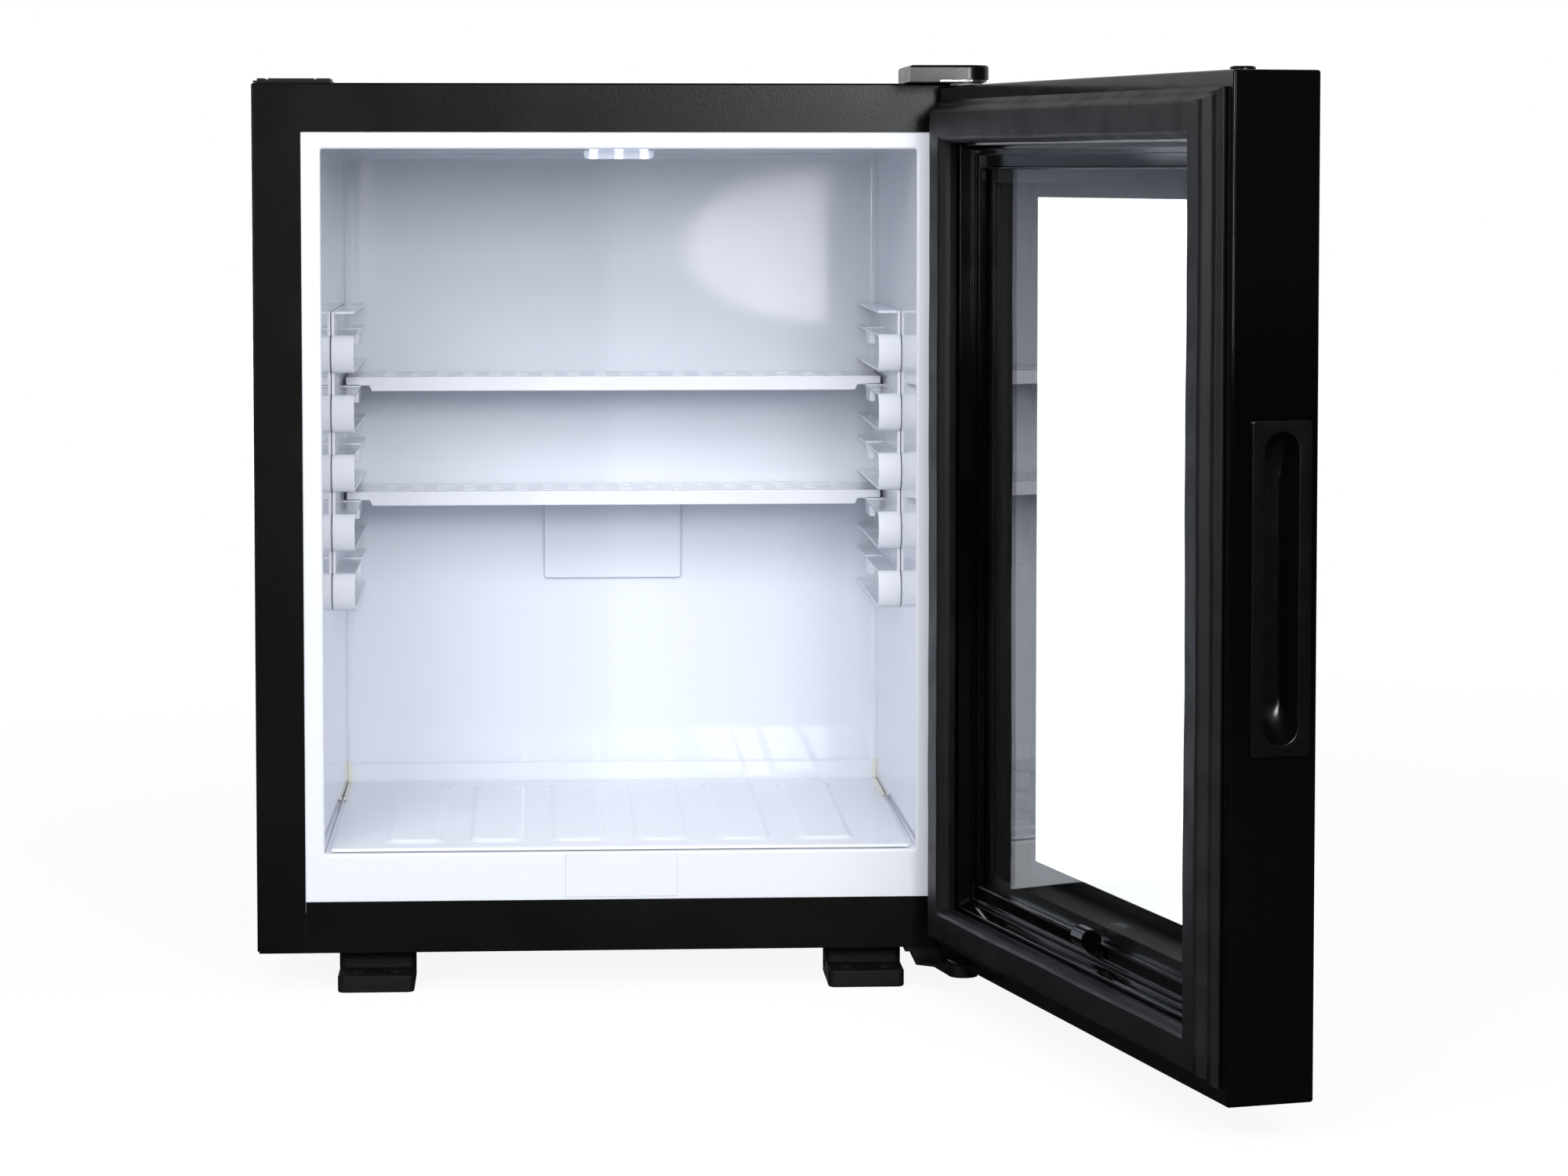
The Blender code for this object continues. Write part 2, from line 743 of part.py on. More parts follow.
def flange_loop(depth):
    """The outer edge of the liner's flange, tucked behind the wrap's returns."""
    half = HALF_WIDTH - STILE_WIDTH + FLANGE_TUCK
    outline = rounded_outline(-half, half, BOTTOM_RAIL - FLANGE_TUCK,
                              CABINET_HEIGHT - STILE_WIDTH + FLANGE_TUCK, LINER_CORNER)
    return [Vector((x, FRONT + depth, z)) for x, z in outline]


def lamp_ceiling():
    """Height of the liner's inner ceiling above the lamp."""
    return MOUTH_TOP - LINER_DRAFT * LAMP_DEPTH / LINER_DEPTH


def build_inner_liner(white_plastic):
    """Vacuum-formed box with its flange, a slot for the lamp and a seat for the switch plate."""
    flange_back = FLANGE_FRONT + FLANGE_THICKNESS
    liner = lofted("inner_liner", [
        mouth_loop(0, LINER_DEPTH, LINER_DRAFT),
        mouth_loop(0, FLANGE_FRONT),
        flange_loop(FLANGE_FRONT),
        flange_loop(flange_back),
        mouth_loop(LINER_WALL, flange_back, corner=LINER_CORNER + LINER_WALL),
        mouth_loop(LINER_WALL, LINER_OUTER_BACK, LINER_DRAFT, LINER_CORNER + LINER_WALL),
    ], white_plastic)
    half_slot = LENS_WIDTH / 2 - LENS_RIM + GAP
    half_length = LENS_LENGTH / 2 - LENS_RIM + GAP
    ceiling = lamp_ceiling()
    slot = box("liner_lamp_cutter",
               (-half_slot, FRONT + LAMP_DEPTH - half_length, ceiling - LINER_WALL),
               (half_slot, FRONT + LAMP_DEPTH + half_length, ceiling + 2 * LINER_WALL))
    cut(liner, slot)
    low, high = switch_plate_box(GAP)
    cut(liner, box("liner_switch_cutter", (low[0], low[1] - SHEET, low[2]), high))


def switch_plate_box(margin):
    """The two corners of the switch plate's place in the lower flange."""
    middle = (BOTTOM_RAIL + MOUTH_BOTTOM) / 2
    front = FRONT + FLANGE_FRONT
    low = (-SWITCH_PLATE_WIDTH / 2 - margin, front, middle - SWITCH_PLATE_HEIGHT / 2 - margin)
    high = (SWITCH_PLATE_WIDTH / 2 + margin, front + SWITCH_PLATE_THICKNESS + margin,
            middle + SWITCH_PLATE_HEIGHT / 2 + margin)
    return low, high


def reed_box(margin):
    """The two corners of the reed switch, in its pocket behind the flange."""
    middle = (BOTTOM_RAIL + MOUTH_BOTTOM) / 2
    front = FRONT + FOAM_FRONT
    low = (-REED_SIZE[0] / 2 - margin, front - margin, middle - REED_SIZE[2] / 2 - margin)
    high = (REED_SIZE[0] / 2 + margin, front + REED_SIZE[1] + margin, middle + REED_SIZE[2] / 2 + margin)
    return low, high


def build_switch_parts(white_plastic, dark_plastic):
    """Flush plate in the lower flange and the reed switch in the foam behind it."""
    low, high = switch_plate_box(0)
    box("switch_plate", low, high, white_plastic)
    low, high = reed_box(0)
    box("reed_switch", low, high, dark_plastic)


def evaporator_tunnel():
    """The two corners of the evaporator's tunnel through the foam."""
    half = BLOCK_WIDTH / 2 + TUNNEL_MARGIN
    height = BLOCK_HEIGHT / 2 + TUNNEL_MARGIN
    low = (-half, FRONT + LINER_OUTER_BACK, EVAPORATOR_HEIGHT - height)
    high = (half, FRONT + FOAM_BACK + SHEET, EVAPORATOR_HEIGHT + height)
    return low, high


def build_foam(foam):
    """Foam between liner and shell, with pockets for what is set into it."""
    outer_half = HALF_WIDTH - SHEET - GAP
    outline = rounded_outline(-outer_half, outer_half, WRAP_BOTTOM, CABINET_HEIGHT - SHEET - GAP, SHEET)
    grow = LINER_WALL + GAP
    corner = LINER_CORNER + grow
    body = lofted("foam_insulation", [
        mouth_loop(grow, LINER_OUTER_BACK + GAP, LINER_DRAFT, corner),
        mouth_loop(grow, FOAM_FRONT, corner=corner),
        [Vector((x, FRONT + FOAM_FRONT, z)) for x, z in outline],
        [Vector((x, FRONT + FOAM_BACK, z)) for x, z in outline],
    ], foam)
    cut(body, stiffener("foam_stiffener_cutter", SHEET + GAP, 0))
    cut(body, box("foam_tunnel_cutter", *evaporator_tunnel()))
    half_width, half_length = housing_half_sizes()
    ceiling = lamp_ceiling()
    pocket_top = ceiling + LINER_WALL + GAP + HOUSING_HEIGHT + GAP
    cut(body, box("foam_lamp_cutter",
                  (-half_width - GAP, FRONT + LAMP_DEPTH - half_length - GAP, ceiling),
                  (half_width + GAP, FRONT + LAMP_DEPTH + half_length + GAP, pocket_top)))
    cut(body, box("foam_reed_cutter", *reed_box(GAP)))
    depth = SCREW_LENGTH + GAP
    cut(body, screw_hole_cutter("foam_top_screw_cutter", CABINET_HEIGHT - depth, CABINET_HEIGHT))
    cut(body, screw_hole_cutter("foam_base_screw_cutter", 0, depth))


def build_floor_pan(white_plastic):
    """Pan on the liner's floor: plate, upstand at the back wall and raised plateaus."""
    slope = math.atan2(LINER_DRAFT, LINER_DEPTH)
    half = MOUTH_HALF_WIDTH - LINER_DRAFT - PAN_SIDE_INSET
    back = LINER_DEPTH - 2 * GAP - PAN_UPSTAND * math.sin(slope)
    lift = LINER_CORNER * 0.15
    plate = rounded_outline(-half, half, PAN_FRONT, back, PAN_CORNER)
    pan = prism("floor_pan", plate, "Z", lift, lift + PAN_THICKNESS, white_plastic)
    pan.location = (0, FRONT, MOUTH_BOTTOM + GAP)
    pan.rotation_euler = (slope, 0, 0)
    upstand = box("pan_upstand", (-half + PAN_CORNER, back - PAN_THICKNESS, lift),
                  (half - PAN_CORNER, back, lift + PAN_UPSTAND))
    guides = [upstand]
    for index in range(PLATEAU_COUNT):
        middle = (index - (PLATEAU_COUNT - 1) / 2) * PLATEAU_PITCH
        base = rounded_outline(middle - PLATEAU_WIDTH / 2, middle + PLATEAU_WIDTH / 2,
                               PLATEAU_FRONT, PLATEAU_BACK, PLATEAU_CORNER)
        crown = rounded_outline(middle - PLATEAU_WIDTH / 2 + PLATEAU_HEIGHT,
                                middle + PLATEAU_WIDTH / 2 - PLATEAU_HEIGHT,
                                PLATEAU_FRONT + PLATEAU_HEIGHT, PLATEAU_BACK - PLATEAU_HEIGHT,
                                PLATEAU_CORNER - PLATEAU_HEIGHT)
        low = lift + PAN_THICKNESS / 2
        high = lift + PAN_THICKNESS + PLATEAU_HEIGHT
        guides.append(lofted("plateau", [
            [Vector((x, y, low)) for x, y in base],
            [Vector((x, y, lift + PAN_THICKNESS)) for x, y in base],
            [Vector((x, y, high)) for x, y in crown],
        ], None))
    raised = joined_guide("pan_raised_parts", guides)
    raised.location = pan.location
    raised.rotation_euler = pan.rotation_euler
    fuse(pan, raised)


def build_evaporator(white_plastic, aluminium):
    """Cover plate on the back wall and the cold block behind it."""
    front = FRONT + LINER_DEPTH - GAP - COVER_THICKNESS
    chamfer = COVER_THICKNESS / 2
    half, height = COVER_WIDTH / 2, COVER_HEIGHT / 2

    def loop(inset, y):
        outline = rounded_outline(-half + inset, half - inset, EVAPORATOR_HEIGHT - height + inset,
                                  EVAPORATOR_HEIGHT + height - inset, COVER_CORNER)
        return [Vector((x, y, z)) for x, z in outline]

    lofted("evaporator_cover", [
        loop(chamfer, front), loop(0, front + chamfer), loop(0, front + COVER_THICKNESS),
    ], white_plastic)
    block_front = FRONT + LINER_OUTER_BACK + GAP
    box("evaporator_block",
        (-BLOCK_WIDTH / 2, block_front, EVAPORATOR_HEIGHT - BLOCK_HEIGHT / 2),
        (BLOCK_WIDTH / 2, block_front + BLOCK_THICKNESS, EVAPORATOR_HEIGHT + BLOCK_HEIGHT / 2), aluminium)


# Lamp

def housing_half_sizes():
    """Half the width and half the length of the lamp housing."""
    return LENS_WIDTH / 2 + HOUSING_WALL, LENS_LENGTH / 2 + HOUSING_WALL


def build_lamp(white_plastic, clear_plastic, board_green):
    """Lens below the ceiling, housing above the liner, board inside the housing."""
    middle = FRONT + LAMP_DEPTH
    ceiling = lamp_ceiling()
    lens_top = ceiling - GAP - LINER_DRAFT / 8
    rim = LENS_DROP / 2
    half, length = LENS_WIDTH / 2, LENS_LENGTH / 2
    neck_half, neck_length = half - LENS_RIM, length - LENS_RIM

    def loop(half_x, half_y, z):
        outline = rounded_outline(-half_x, half_x, middle - half_y, middle + half_y, LENS_CORNER)
        return [Vector((x, y, z)) for x, y in outline]

    lofted("lamp_lens", [
        loop(half - rim, length - rim, lens_top - LENS_DROP),
        loop(half, length, lens_top - rim),
        loop(half, length, lens_top),
        loop(neck_half, neck_length, lens_top),
        loop(neck_half, neck_length, lens_top + LINER_WALL),
    ], clear_plastic)
    base = ceiling + LINER_WALL + GAP
    outer_half, outer_length = housing_half_sizes()
    housing = box("lamp_housing", (-outer_half, middle - outer_length, base),
                  (outer_half, middle + outer_length, base + HOUSING_HEIGHT), white_plastic)
    cut(housing, box("lamp_housing_cutter", (-half, middle - length, base - SHEET),
                     (half, middle + length, base + HOUSING_HEIGHT - HOUSING_WALL)))
    board_top = base + HOUSING_HEIGHT - HOUSING_WALL - GAP
    board_low = board_top - BOARD_THICKNESS
    blocks = [((-half + GAP, middle - length + GAP, board_low), (half - GAP, middle + length - GAP, board_top))]
    for place_x in (-half / 2, 0, half / 2):
        blocks.append(((place_x - LED_SIZE / 2, middle - LED_SIZE / 2, board_low - LED_SIZE / 4),
                       (place_x + LED_SIZE / 2, middle + LED_SIZE / 2, board_low)))
    block_union("lamp_board", blocks, board_green)


# Shelf racks and shelves

def level_height(level):
    """Height of a channel's top flange; level 0 is the highest."""
    return RACK_FIRST_LEVEL - level * RACK_PITCH


def channel_outline(top):
    """Side view of one channel: top flange, half-oval nose and bottom flange."""
    back = FRONT + LINER_DEPTH - 2 * GAP
    front = FRONT + RACK_FRONT
    half = CHANNEL_HEIGHT / 2
    middle = top - half
    steps = 8
    outer = []
    inner = []
    for step in range(steps + 1):
        angle = math.pi / 2 + math.pi * step / steps
        outer.append((front + NOSE_REACH * math.cos(angle), middle + half * math.sin(angle)))
        inner.append((front + (NOSE_REACH - CHANNEL_WALL) * math.cos(angle),
                      middle + (half - CHANNEL_WALL) * math.sin(angle)))
    return [(back, top)] + outer + [(back, top - CHANNEL_HEIGHT), (back, top - CHANNEL_HEIGHT + CHANNEL_WALL)] \
        + list(reversed(inner)) + [(back, top - CHANNEL_WALL)]


def ear_outline(top):
    """Side view of the wall plate's half-oval ear behind one nose, a little smaller than the nose."""
    front = FRONT + RACK_FRONT
    half = CHANNEL_HEIGHT / 2
    steps = 8
    arc = []
    for step in range(steps + 1):
        angle = math.pi / 2 + math.pi * step / steps
        arc.append((front + (NOSE_REACH - NOSE_EAR_STEP) * math.cos(angle),
                    top - half + (half - NOSE_EAR_STEP) * math.sin(angle)))
    back = front + RACK_PLATE / 2
    return [(back, top - NOSE_EAR_STEP)] + arc + [(back, top - CHANNEL_HEIGHT + NOSE_EAR_STEP)]


def build_rack(name, side, white_plastic):
    """Wall plate with its channels; side is -1 for the left rack and 1 for the right one."""
    back = LINER_DEPTH - 2 * GAP
    low = level_height(RACK_LEVELS - 1) - CHANNEL_HEIGHT

    def wall(depth):
        return MOUTH_HALF_WIDTH - LINER_DRAFT * depth / LINER_DEPTH - GAP

    outline = [
        (side * (wall(RACK_FRONT) - RACK_PLATE), FRONT + RACK_FRONT),
        (side * wall(RACK_FRONT), FRONT + RACK_FRONT),
        (side * wall(back), FRONT + back),
        (side * (wall(back) - RACK_PLATE), FRONT + back),
    ]
    rack = prism(name, outline, "Z", low, RACK_TOP, white_plastic)
    root = wall(back) - RACK_PLATE / 4
    x_low, x_high = sorted((side * RACK_INNER, side * root))
    ear_low, ear_high = sorted((side * (root - RACK_PLATE / 8), side * wall(RACK_FRONT + RACK_PLATE / 2)))
    parts = []
    ears = []
    for level in range(RACK_LEVELS):
        top = level_height(level)
        parts.append(prism("channel", channel_outline(top), "X", x_low, x_high))
        ears.append(prism("ear", ear_outline(top), "X", ear_low, ear_high))
    top_flange = box("top_flange", (x_low, FRONT + RACK_FRONT, RACK_TOP - CHANNEL_WALL),
                     (x_high, FRONT + back, RACK_TOP))
    parts.append(top_flange)
    fuse(rack, joined_guide(name + "_channels", parts))
    fuse(rack, joined_guide(name + "_ears", ears))
    details = []
    for level in range(RACK_LEVELS):
        top = level_height(level)
        details.append(box("ridge", (x_low, FRONT + RIDGE_PLACE, top - CHANNEL_WALL / 2),
                           (x_high, FRONT + RIDGE_PLACE + RIDGE_WIDTH, top + RIDGE_HEIGHT)))
        hook_low, hook_high = sorted((side * RACK_INNER, side * (RACK_INNER + HOOK_WIDTH)))
        details.append(box("hook", (hook_low, FRONT + RIDGE_PLACE - HOOK_LENGTH, top - HOOK_DROP),
                           (hook_high, FRONT + RIDGE_PLACE, top - CHANNEL_WALL / 2)))
    fuse(rack, joined_guide(name + "_details", details))


def slot_outline(x, y):
    """A six-sided slot."""
    half = SLOT_LENGTH / 2
    point = half - SLOT_WIDTH / 2
    wide = SLOT_WIDTH / 2
    return [(x - half, y), (x - point, y - wide), (x + point, y - wide), (x + half, y),
            (x + point, y + wide), (x - point, y + wide)]


def slot_places():
    """Centres of a shelf's slots: columns of four, with every third column a staggered three."""
    middle = FRONT + (SHELF_FRONT + SHELF_LIP_THICKNESS + LINER_DEPTH - SHELF_BACK_GAP - SHELF_LIP_THICKNESS) / 2
    places = []
    for column in range(SLOT_COLUMNS):
        x = (column - (SLOT_COLUMNS - 1) / 2) * SLOT_PITCH_X
        rows = 3 if column % 3 == 1 else 4
        for row in range(rows):
            places.append((x, middle + (row - (rows - 1) / 2) * SLOT_PITCH_Y))
    return places


def build_shelf(name, level, white_plastic, parent):
    """Shallow shelf: slotted plate, front and back lips, end tabs and small rear pads."""
    flange = level_height(level)
    top = flange + RIDGE_HEIGHT + GAP + SHELF_TAB
    front = FRONT + SHELF_FRONT
    back = FRONT + LINER_DEPTH - SHELF_BACK_GAP
    half = SHELF_WIDTH / 2
    tab_inner = half - TAB_WIDTH
    lip_half = tab_inner - NOTCH_WIDTH
    blocks = [
        ((-half, front, top - SHELF_PLATE), (half, back, top)),
        ((-lip_half, front, top - SHELF_LIP), (lip_half, front + SHELF_LIP_THICKNESS, top)),
        ((-lip_half, back - SHELF_LIP_THICKNESS, top - SHELF_LIP), (lip_half, back, top)),
        ((-tab_inner, front, top - NOTCH_DEPTH), (tab_inner, front + SHELF_LIP_THICKNESS, top)),
    ]
    for side in (-1, 1):
        tab_low, tab_high = sorted((side * tab_inner, side * half))
        blocks.append(((tab_low, front, top - SHELF_TAB), (tab_high, back, top)))
        blocks.append(((tab_low, back - PAD_LENGTH, top - SHELF_TAB - RIDGE_HEIGHT), (tab_high, back, top)))
        rib_low, rib_high = sorted((side * (lip_half - SHELF_PLATE), side * lip_half))
        blocks.append(((rib_low, front, top - SHELF_LIP), (rib_high, back, top)))
    shelf = block_union(name, blocks, white_plastic, parent)
    cutters = [
        prism("slot", slot_outline(x, y), "Z", top - 2 * SHELF_PLATE, top + SHELF_PLATE)
        for x, y in slot_places()
    ]
    cut(shelf, joined_guide(name + "_slots", cutters))


# Feet

def build_foot(name, x, depth, rubber):
    """Stepped rubber foot with two screw holes in its front tread."""
    front = FRONT + depth
    half = FOOT_WIDTH / 2
    lower = rounded_outline(x - half, x + half, front, front + FOOT_LENGTH, FOOT_CORNER)
    foot = prism(name, lower, "Z", -FOOT_HEIGHT, -FOOT_HEIGHT + FOOT_LIP, rubber, smooth=True)
    upper = rounded_outline(x - half, x + half, front + FOOT_TREAD, front + FOOT_LENGTH, FOOT_CORNER)
    fuse(foot, prism(name + "_block", upper, "Z", -FOOT_HEIGHT + FOOT_LIP / 2, -GAP))
    holes = [
        prism("hole", circle_outline(x + side * FOOT_HOLE_SPACING / 2, front + FOOT_HOLE_DEPTH, FOOT_HOLE_RADIUS),
              "Z", -2 * FOOT_HEIGHT, 0)
        for side in (-1, 1)
    ]
    cut(foot, joined_guide(name + "_holes", holes))


# Hinges

def hinge_outline(inset):
    """Plan of the top hinge, with its round nose over the pivot, drawn in by an inset."""
    right = PIVOT_X + COVER_NOSE_RADIUS - inset
    front = PIVOT_Y - COVER_NOSE_RADIUS + inset
    left = COVER_LEFT + inset
    back = FRONT + COVER_BACK - inset
    radius = COVER_NOSE_RADIUS - inset
    points = [(left, back), (left, front)]
    steps = 6
    for step in range(steps + 1):
        angle = -math.pi / 2 + math.pi / 2 * step / steps
        points.append((PIVOT_X + radius * math.cos(angle), PIVOT_Y + radius * math.sin(angle)))
    points.append((right, back))
    return points


def build_top_hinge(steel, black_plastic):
    """Plate on the cabinet's top, headed pin, two screws and the plastic cover."""
    plate_inset = HINGE_COVER_WALL + GAP
    plate_low = HINGE_PLATE_BOTTOM
    plate_high = plate_low + HINGE_PLATE_THICKNESS
    plate = prism("top_hinge_plate", hinge_outline(plate_inset), "Z", plate_low, plate_high, steel)
    holes = [prism("hole", circle_outline(PIVOT_X, PIVOT_Y, PIN_RADIUS + PIN_CLEARANCE), "Z",
                   plate_low - SHEET, plate_high + SHEET)]
    for x in hinge_screw_places():
        holes.append(prism("hole", circle_outline(x, FRONT + SCREW_BACK, SCREW_RADIUS + GAP, 12), "Z",
                           plate_low - SHEET, plate_high + SHEET))
    cut(plate, joined_guide("top_plate_holes", holes))
    head_low = plate_high + GAP
    pin_low = DOOR_TOP - BUSH_LENGTH + PIN_SHORT
    round_solid("top_hinge_pin", [
        (PIN_RADIUS - PIN_POINT, pin_low),
        (PIN_RADIUS, pin_low + PIN_POINT),
        (PIN_RADIUS, head_low),
        (PIN_RADIUS + PIN_HEAD_REACH, head_low),
        (PIN_RADIUS + PIN_HEAD_REACH, head_low + PIN_HEAD_HEIGHT),
    ], (PIVOT_X, PIVOT_Y, 0), "Z", steel)
    for number, x in enumerate(hinge_screw_places(), start=1):
        round_solid("top_hinge_screw_" + str(number), [
            (SCREW_RADIUS, plate_high + GAP - SCREW_LENGTH),
            (SCREW_RADIUS, plate_high + GAP),
            (SCREW_HEAD_RADIUS, plate_high + GAP),
            (SCREW_HEAD_RADIUS * 0.75, plate_high + GAP + SCREW_HEAD_HEIGHT),
        ], (x, FRONT + SCREW_BACK, 0), "Z", steel)
    cover_top = plate_low + HINGE_COVER_HEIGHT
    inner = hinge_outline(HINGE_COVER_WALL)
    outer = hinge_outline(0)
    crown = hinge_outline(HINGE_COVER_WALL / 2)
    cover = lofted("top_hinge_cover", [
        [Vector((x, y, cover_top - HINGE_COVER_WALL)) for x, y in inner],
        [Vector((x, y, plate_low)) for x, y in inner],
        [Vector((x, y, plate_low)) for x, y in outer],
        [Vector((x, y, cover_top - HINGE_COVER_WALL / 2)) for x, y in outer],
        [Vector((x, y, cover_top)) for x, y in crown],
    ], black_plastic, smooth=True)
    cut(cover, box("cover_notch_cutter",
                   (COVER_NOTCH_LEFT, PIVOT_Y - 2 * COVER_NOSE_RADIUS, plate_low - SHEET),
                   (HALF_WIDTH + COVER_NOSE_RADIUS, FRONT - DOOR_GAP, plate_low + COVER_NOTCH_HEIGHT)))


def build_bottom_hinge(steel, black_metal):
    """Bracket under the base with its boss below the door, collared pin and two screws."""
    plate_top = -GAP
    plate_low = plate_top - BRACKET_PLATE
    right = PIVOT_X + BOSS_RADIUS
    bracket = box("bottom_hinge_bracket", (BRACKET_LEFT, FRONT + BRACKET_FRONT, plate_low),
                  (HALF_WIDTH - BRACKET_SIDE, FRONT + BRACKET_BACK, plate_top), black_metal)
    boss_top = DOOR_BOTTOM - BOSS_DROP
    arm_top = plate_low + BRACKET_PLATE / 2
    arm = [
        (BRACKET_LEFT + ARM_START, arm_top),
        (BRACKET_LEFT + ARM_START, boss_top - ARM_START_DROP),
        (BRACKET_LEFT + ARM_KNEE, boss_top - ARM_KNEE_DROP),
        (PIVOT_X - BOSS_RADIUS, -BRACKET_DROP),
        (right, -BRACKET_DROP),
        (right, arm_top),
    ]
    fuse(bracket, prism("bracket_arm", arm, "Y", PIVOT_Y, FRONT + BRACKET_BACK / 2))
    fuse(bracket, prism("bracket_boss", circle_outline(PIVOT_X, PIVOT_Y, BOSS_RADIUS, ROUND_SEGMENTS), "Z",
                        -BRACKET_DROP, boss_top))
    lift = box("bracket_boss_relief", (BRACKET_LEFT - BOSS_RADIUS, PIVOT_Y - 2 * BOSS_RADIUS, boss_top),
               (right + BOSS_RADIUS, FRONT - BRACKET_FRONT, boss_top + 2 * BRACKET_DROP))
    cut(bracket, lift)
    holes = [prism("hole", circle_outline(PIVOT_X, PIVOT_Y, PIN_RADIUS + PIN_CLEARANCE), "Z",
                   -2 * BRACKET_DROP, BRACKET_DROP)]
    cut(bracket, joined_guide("bracket_pin_hole", holes))
    screw_holes = []
    for x in hinge_screw_places():
        screw_holes.append(prism("hole", circle_outline(x, FRONT + SCREW_BACK, SCREW_RADIUS + GAP, 12), "Z",
                                 -2 * BRACKET_DROP, BRACKET_DROP))
        screw_holes.append(prism("hole", circle_outline(x, FRONT + SCREW_BACK, SCREW_HEAD_RADIUS + GAP), "Z",
                                 -2 * BRACKET_DROP, plate_low))
    for number, guide in enumerate(screw_holes):
        guide.name = "bracket_screw_cutter_" + str(number)
        cut(bracket, guide)
    collar_low = boss_top + GAP
    round_solid("bottom_hinge_pin", [
        (PIN_RADIUS, -BRACKET_DROP + PIN_FOOT),
        (PIN_RADIUS, collar_low),
        (PIN_RADIUS + COLLAR_REACH, collar_low),
        (PIN_RADIUS + COLLAR_REACH, collar_low + PIN_COLLAR),
        (PIN_RADIUS, collar_low + PIN_COLLAR),
        (PIN_RADIUS, DOOR_BOTTOM + BUSH_LENGTH - PIN_SHORT - PIN_POINT),
        (PIN_RADIUS - PIN_POINT, DOOR_BOTTOM + BUSH_LENGTH - PIN_SHORT),
    ], (PIVOT_X, PIVOT_Y, 0), "Z", steel)
    for number, x in enumerate(hinge_screw_places(), start=1):
        head = plate_low - GAP
        round_solid("bottom_hinge_screw_" + str(number), [
            (SCREW_HEAD_RADIUS * 0.75, head - SCREW_HEAD_HEIGHT),
            (SCREW_HEAD_RADIUS, head),
            (SCREW_RADIUS, head),
            (SCREW_RADIUS, head + SCREW_LENGTH),
        ], (x, FRONT + SCREW_BACK, 0), "Z", steel)


def build_blank_plate(black_metal):
    """Thin plate with three raised caps over the unused hinge place."""
    left = -HALF_WIDTH + BASE_INSET
    low = HINGE_PLATE_BOTTOM
    high = low + BLANK_THICKNESS
    front = FRONT + BLANK_SETBACK
    back = front + BLANK_LENGTH
    blocks = [((left, front, low), (left + BLANK_WIDTH, back, high))]
    for start, width in zip(CAP_STARTS, CAP_WIDTHS):
        blocks.append(((left + start, front + BLANK_BORDER, low),
                       (left + start + width, back - BLANK_BORDER, high + BLANK_CAP_RISE)))
    block_union("hinge_blank_plate", blocks, black_metal)


# Door, in its own frame: the origin is on the hinge axis and +Y points at the cabinet when closed

def door_y(depth):
    """Place along Y of a depth behind the door's inner face."""
    return PIVOT_FROM_FACE - depth


def door_x(from_hinge_edge):
    """Place along X of a distance from the door's hinge edge."""
    return PIVOT_FROM_EDGE - from_hinge_edge


def door_stations():
    """The four corners of the door, each with its inward direction."""
    left, right = door_x(DOOR_WIDTH), door_x(0)
    return [
        (left, DOOR_BOTTOM, 1, 1),
        (right, DOOR_BOTTOM, -1, 1),
        (right, DOOR_TOP, -1, -1),
        (left, DOOR_TOP, 1, -1),
    ]


def door_ring(name, profile, material, hinge, smooth=False):
    """A profile carried all round the door."""
    return swept_frame(name, door_stations(), profile, door_y, material, hinge, smooth=smooth)


def outer_glass_depth():
    """Depth of the outer glass's inner face behind the door's inner face."""
    return DOOR_THICKNESS - REBATE_DEPTH + GAP


def handle_outline(half_height, half_width, steps=4):
    """A stadium on its end, as (depth, height) points."""
    points = []
    straight = half_height - half_width
    for centre, start in ((straight, 0), (-straight, 180)):
        for step in range(2 * steps + 1):
            angle = math.radians(start + 90 * step / steps)
            points.append((half_width * math.cos(angle), centre + half_width * math.sin(angle)))
    return points


def handle_loop(half_height, half_width, into_door):
    """A stadium at one distance in from the door's free edge."""
    x = door_x(DOOR_WIDTH) + into_door
    return [
        Vector((x, door_y(HANDLE_CENTRE_DEPTH + depth), HANDLE_CENTRE_HEIGHT + height))
        for depth, height in handle_outline(half_height, half_width)
    ]


def build_door_frame(black_gloss, hinge):
    """Outer moulding: a channel all round, with the glass rebate and the gasket groove's wall."""
    rebate = DOOR_THICKNESS - REBATE_DEPTH
    profile = [
        (0, 0),
        (0, DOOR_THICKNESS),
        (FRAME_BORDER, DOOR_THICKNESS),
        (FRAME_BORDER, rebate),
        (FRAME_BORDER + REBATE_WIDTH, rebate),
        (FRAME_BORDER + REBATE_WIDTH, rebate - REBATE_THICKNESS),
        (DOOR_WALL, rebate - REBATE_THICKNESS),
        (DOOR_WALL, DOOR_WALL),
        (GROOVE_START, DOOR_WALL),
        (GROOVE_START, 0),
    ]
    frame = door_ring("door_frame", profile, black_gloss, hinge)
    half_height = HANDLE_RECESS_HEIGHT / 2 + HANDLE_WALL + GAP
    half_width = HANDLE_RECESS_WIDTH / 2 + HANDLE_WALL + GAP
    cut(frame, lofted("door_handle_cutter", [
        handle_loop(half_height, half_width, -DOOR_WALL),
        handle_loop(half_height, half_width, 2 * DOOR_WALL),
    ], None))
    places = [(0, DOOR_TOP), (0, DOOR_BOTTOM), (door_x(DOOR_WIDTH - PIVOT_FROM_EDGE), DOOR_TOP)]
    holes = [
        prism("hole", circle_outline(x, 0, BUSH_RADIUS + GAP), "Z", z - 2 * DOOR_WALL, z + 2 * DOOR_WALL)
        for x, z in places
    ]
    cut(frame, joined_guide("door_hole_cutter", holes))


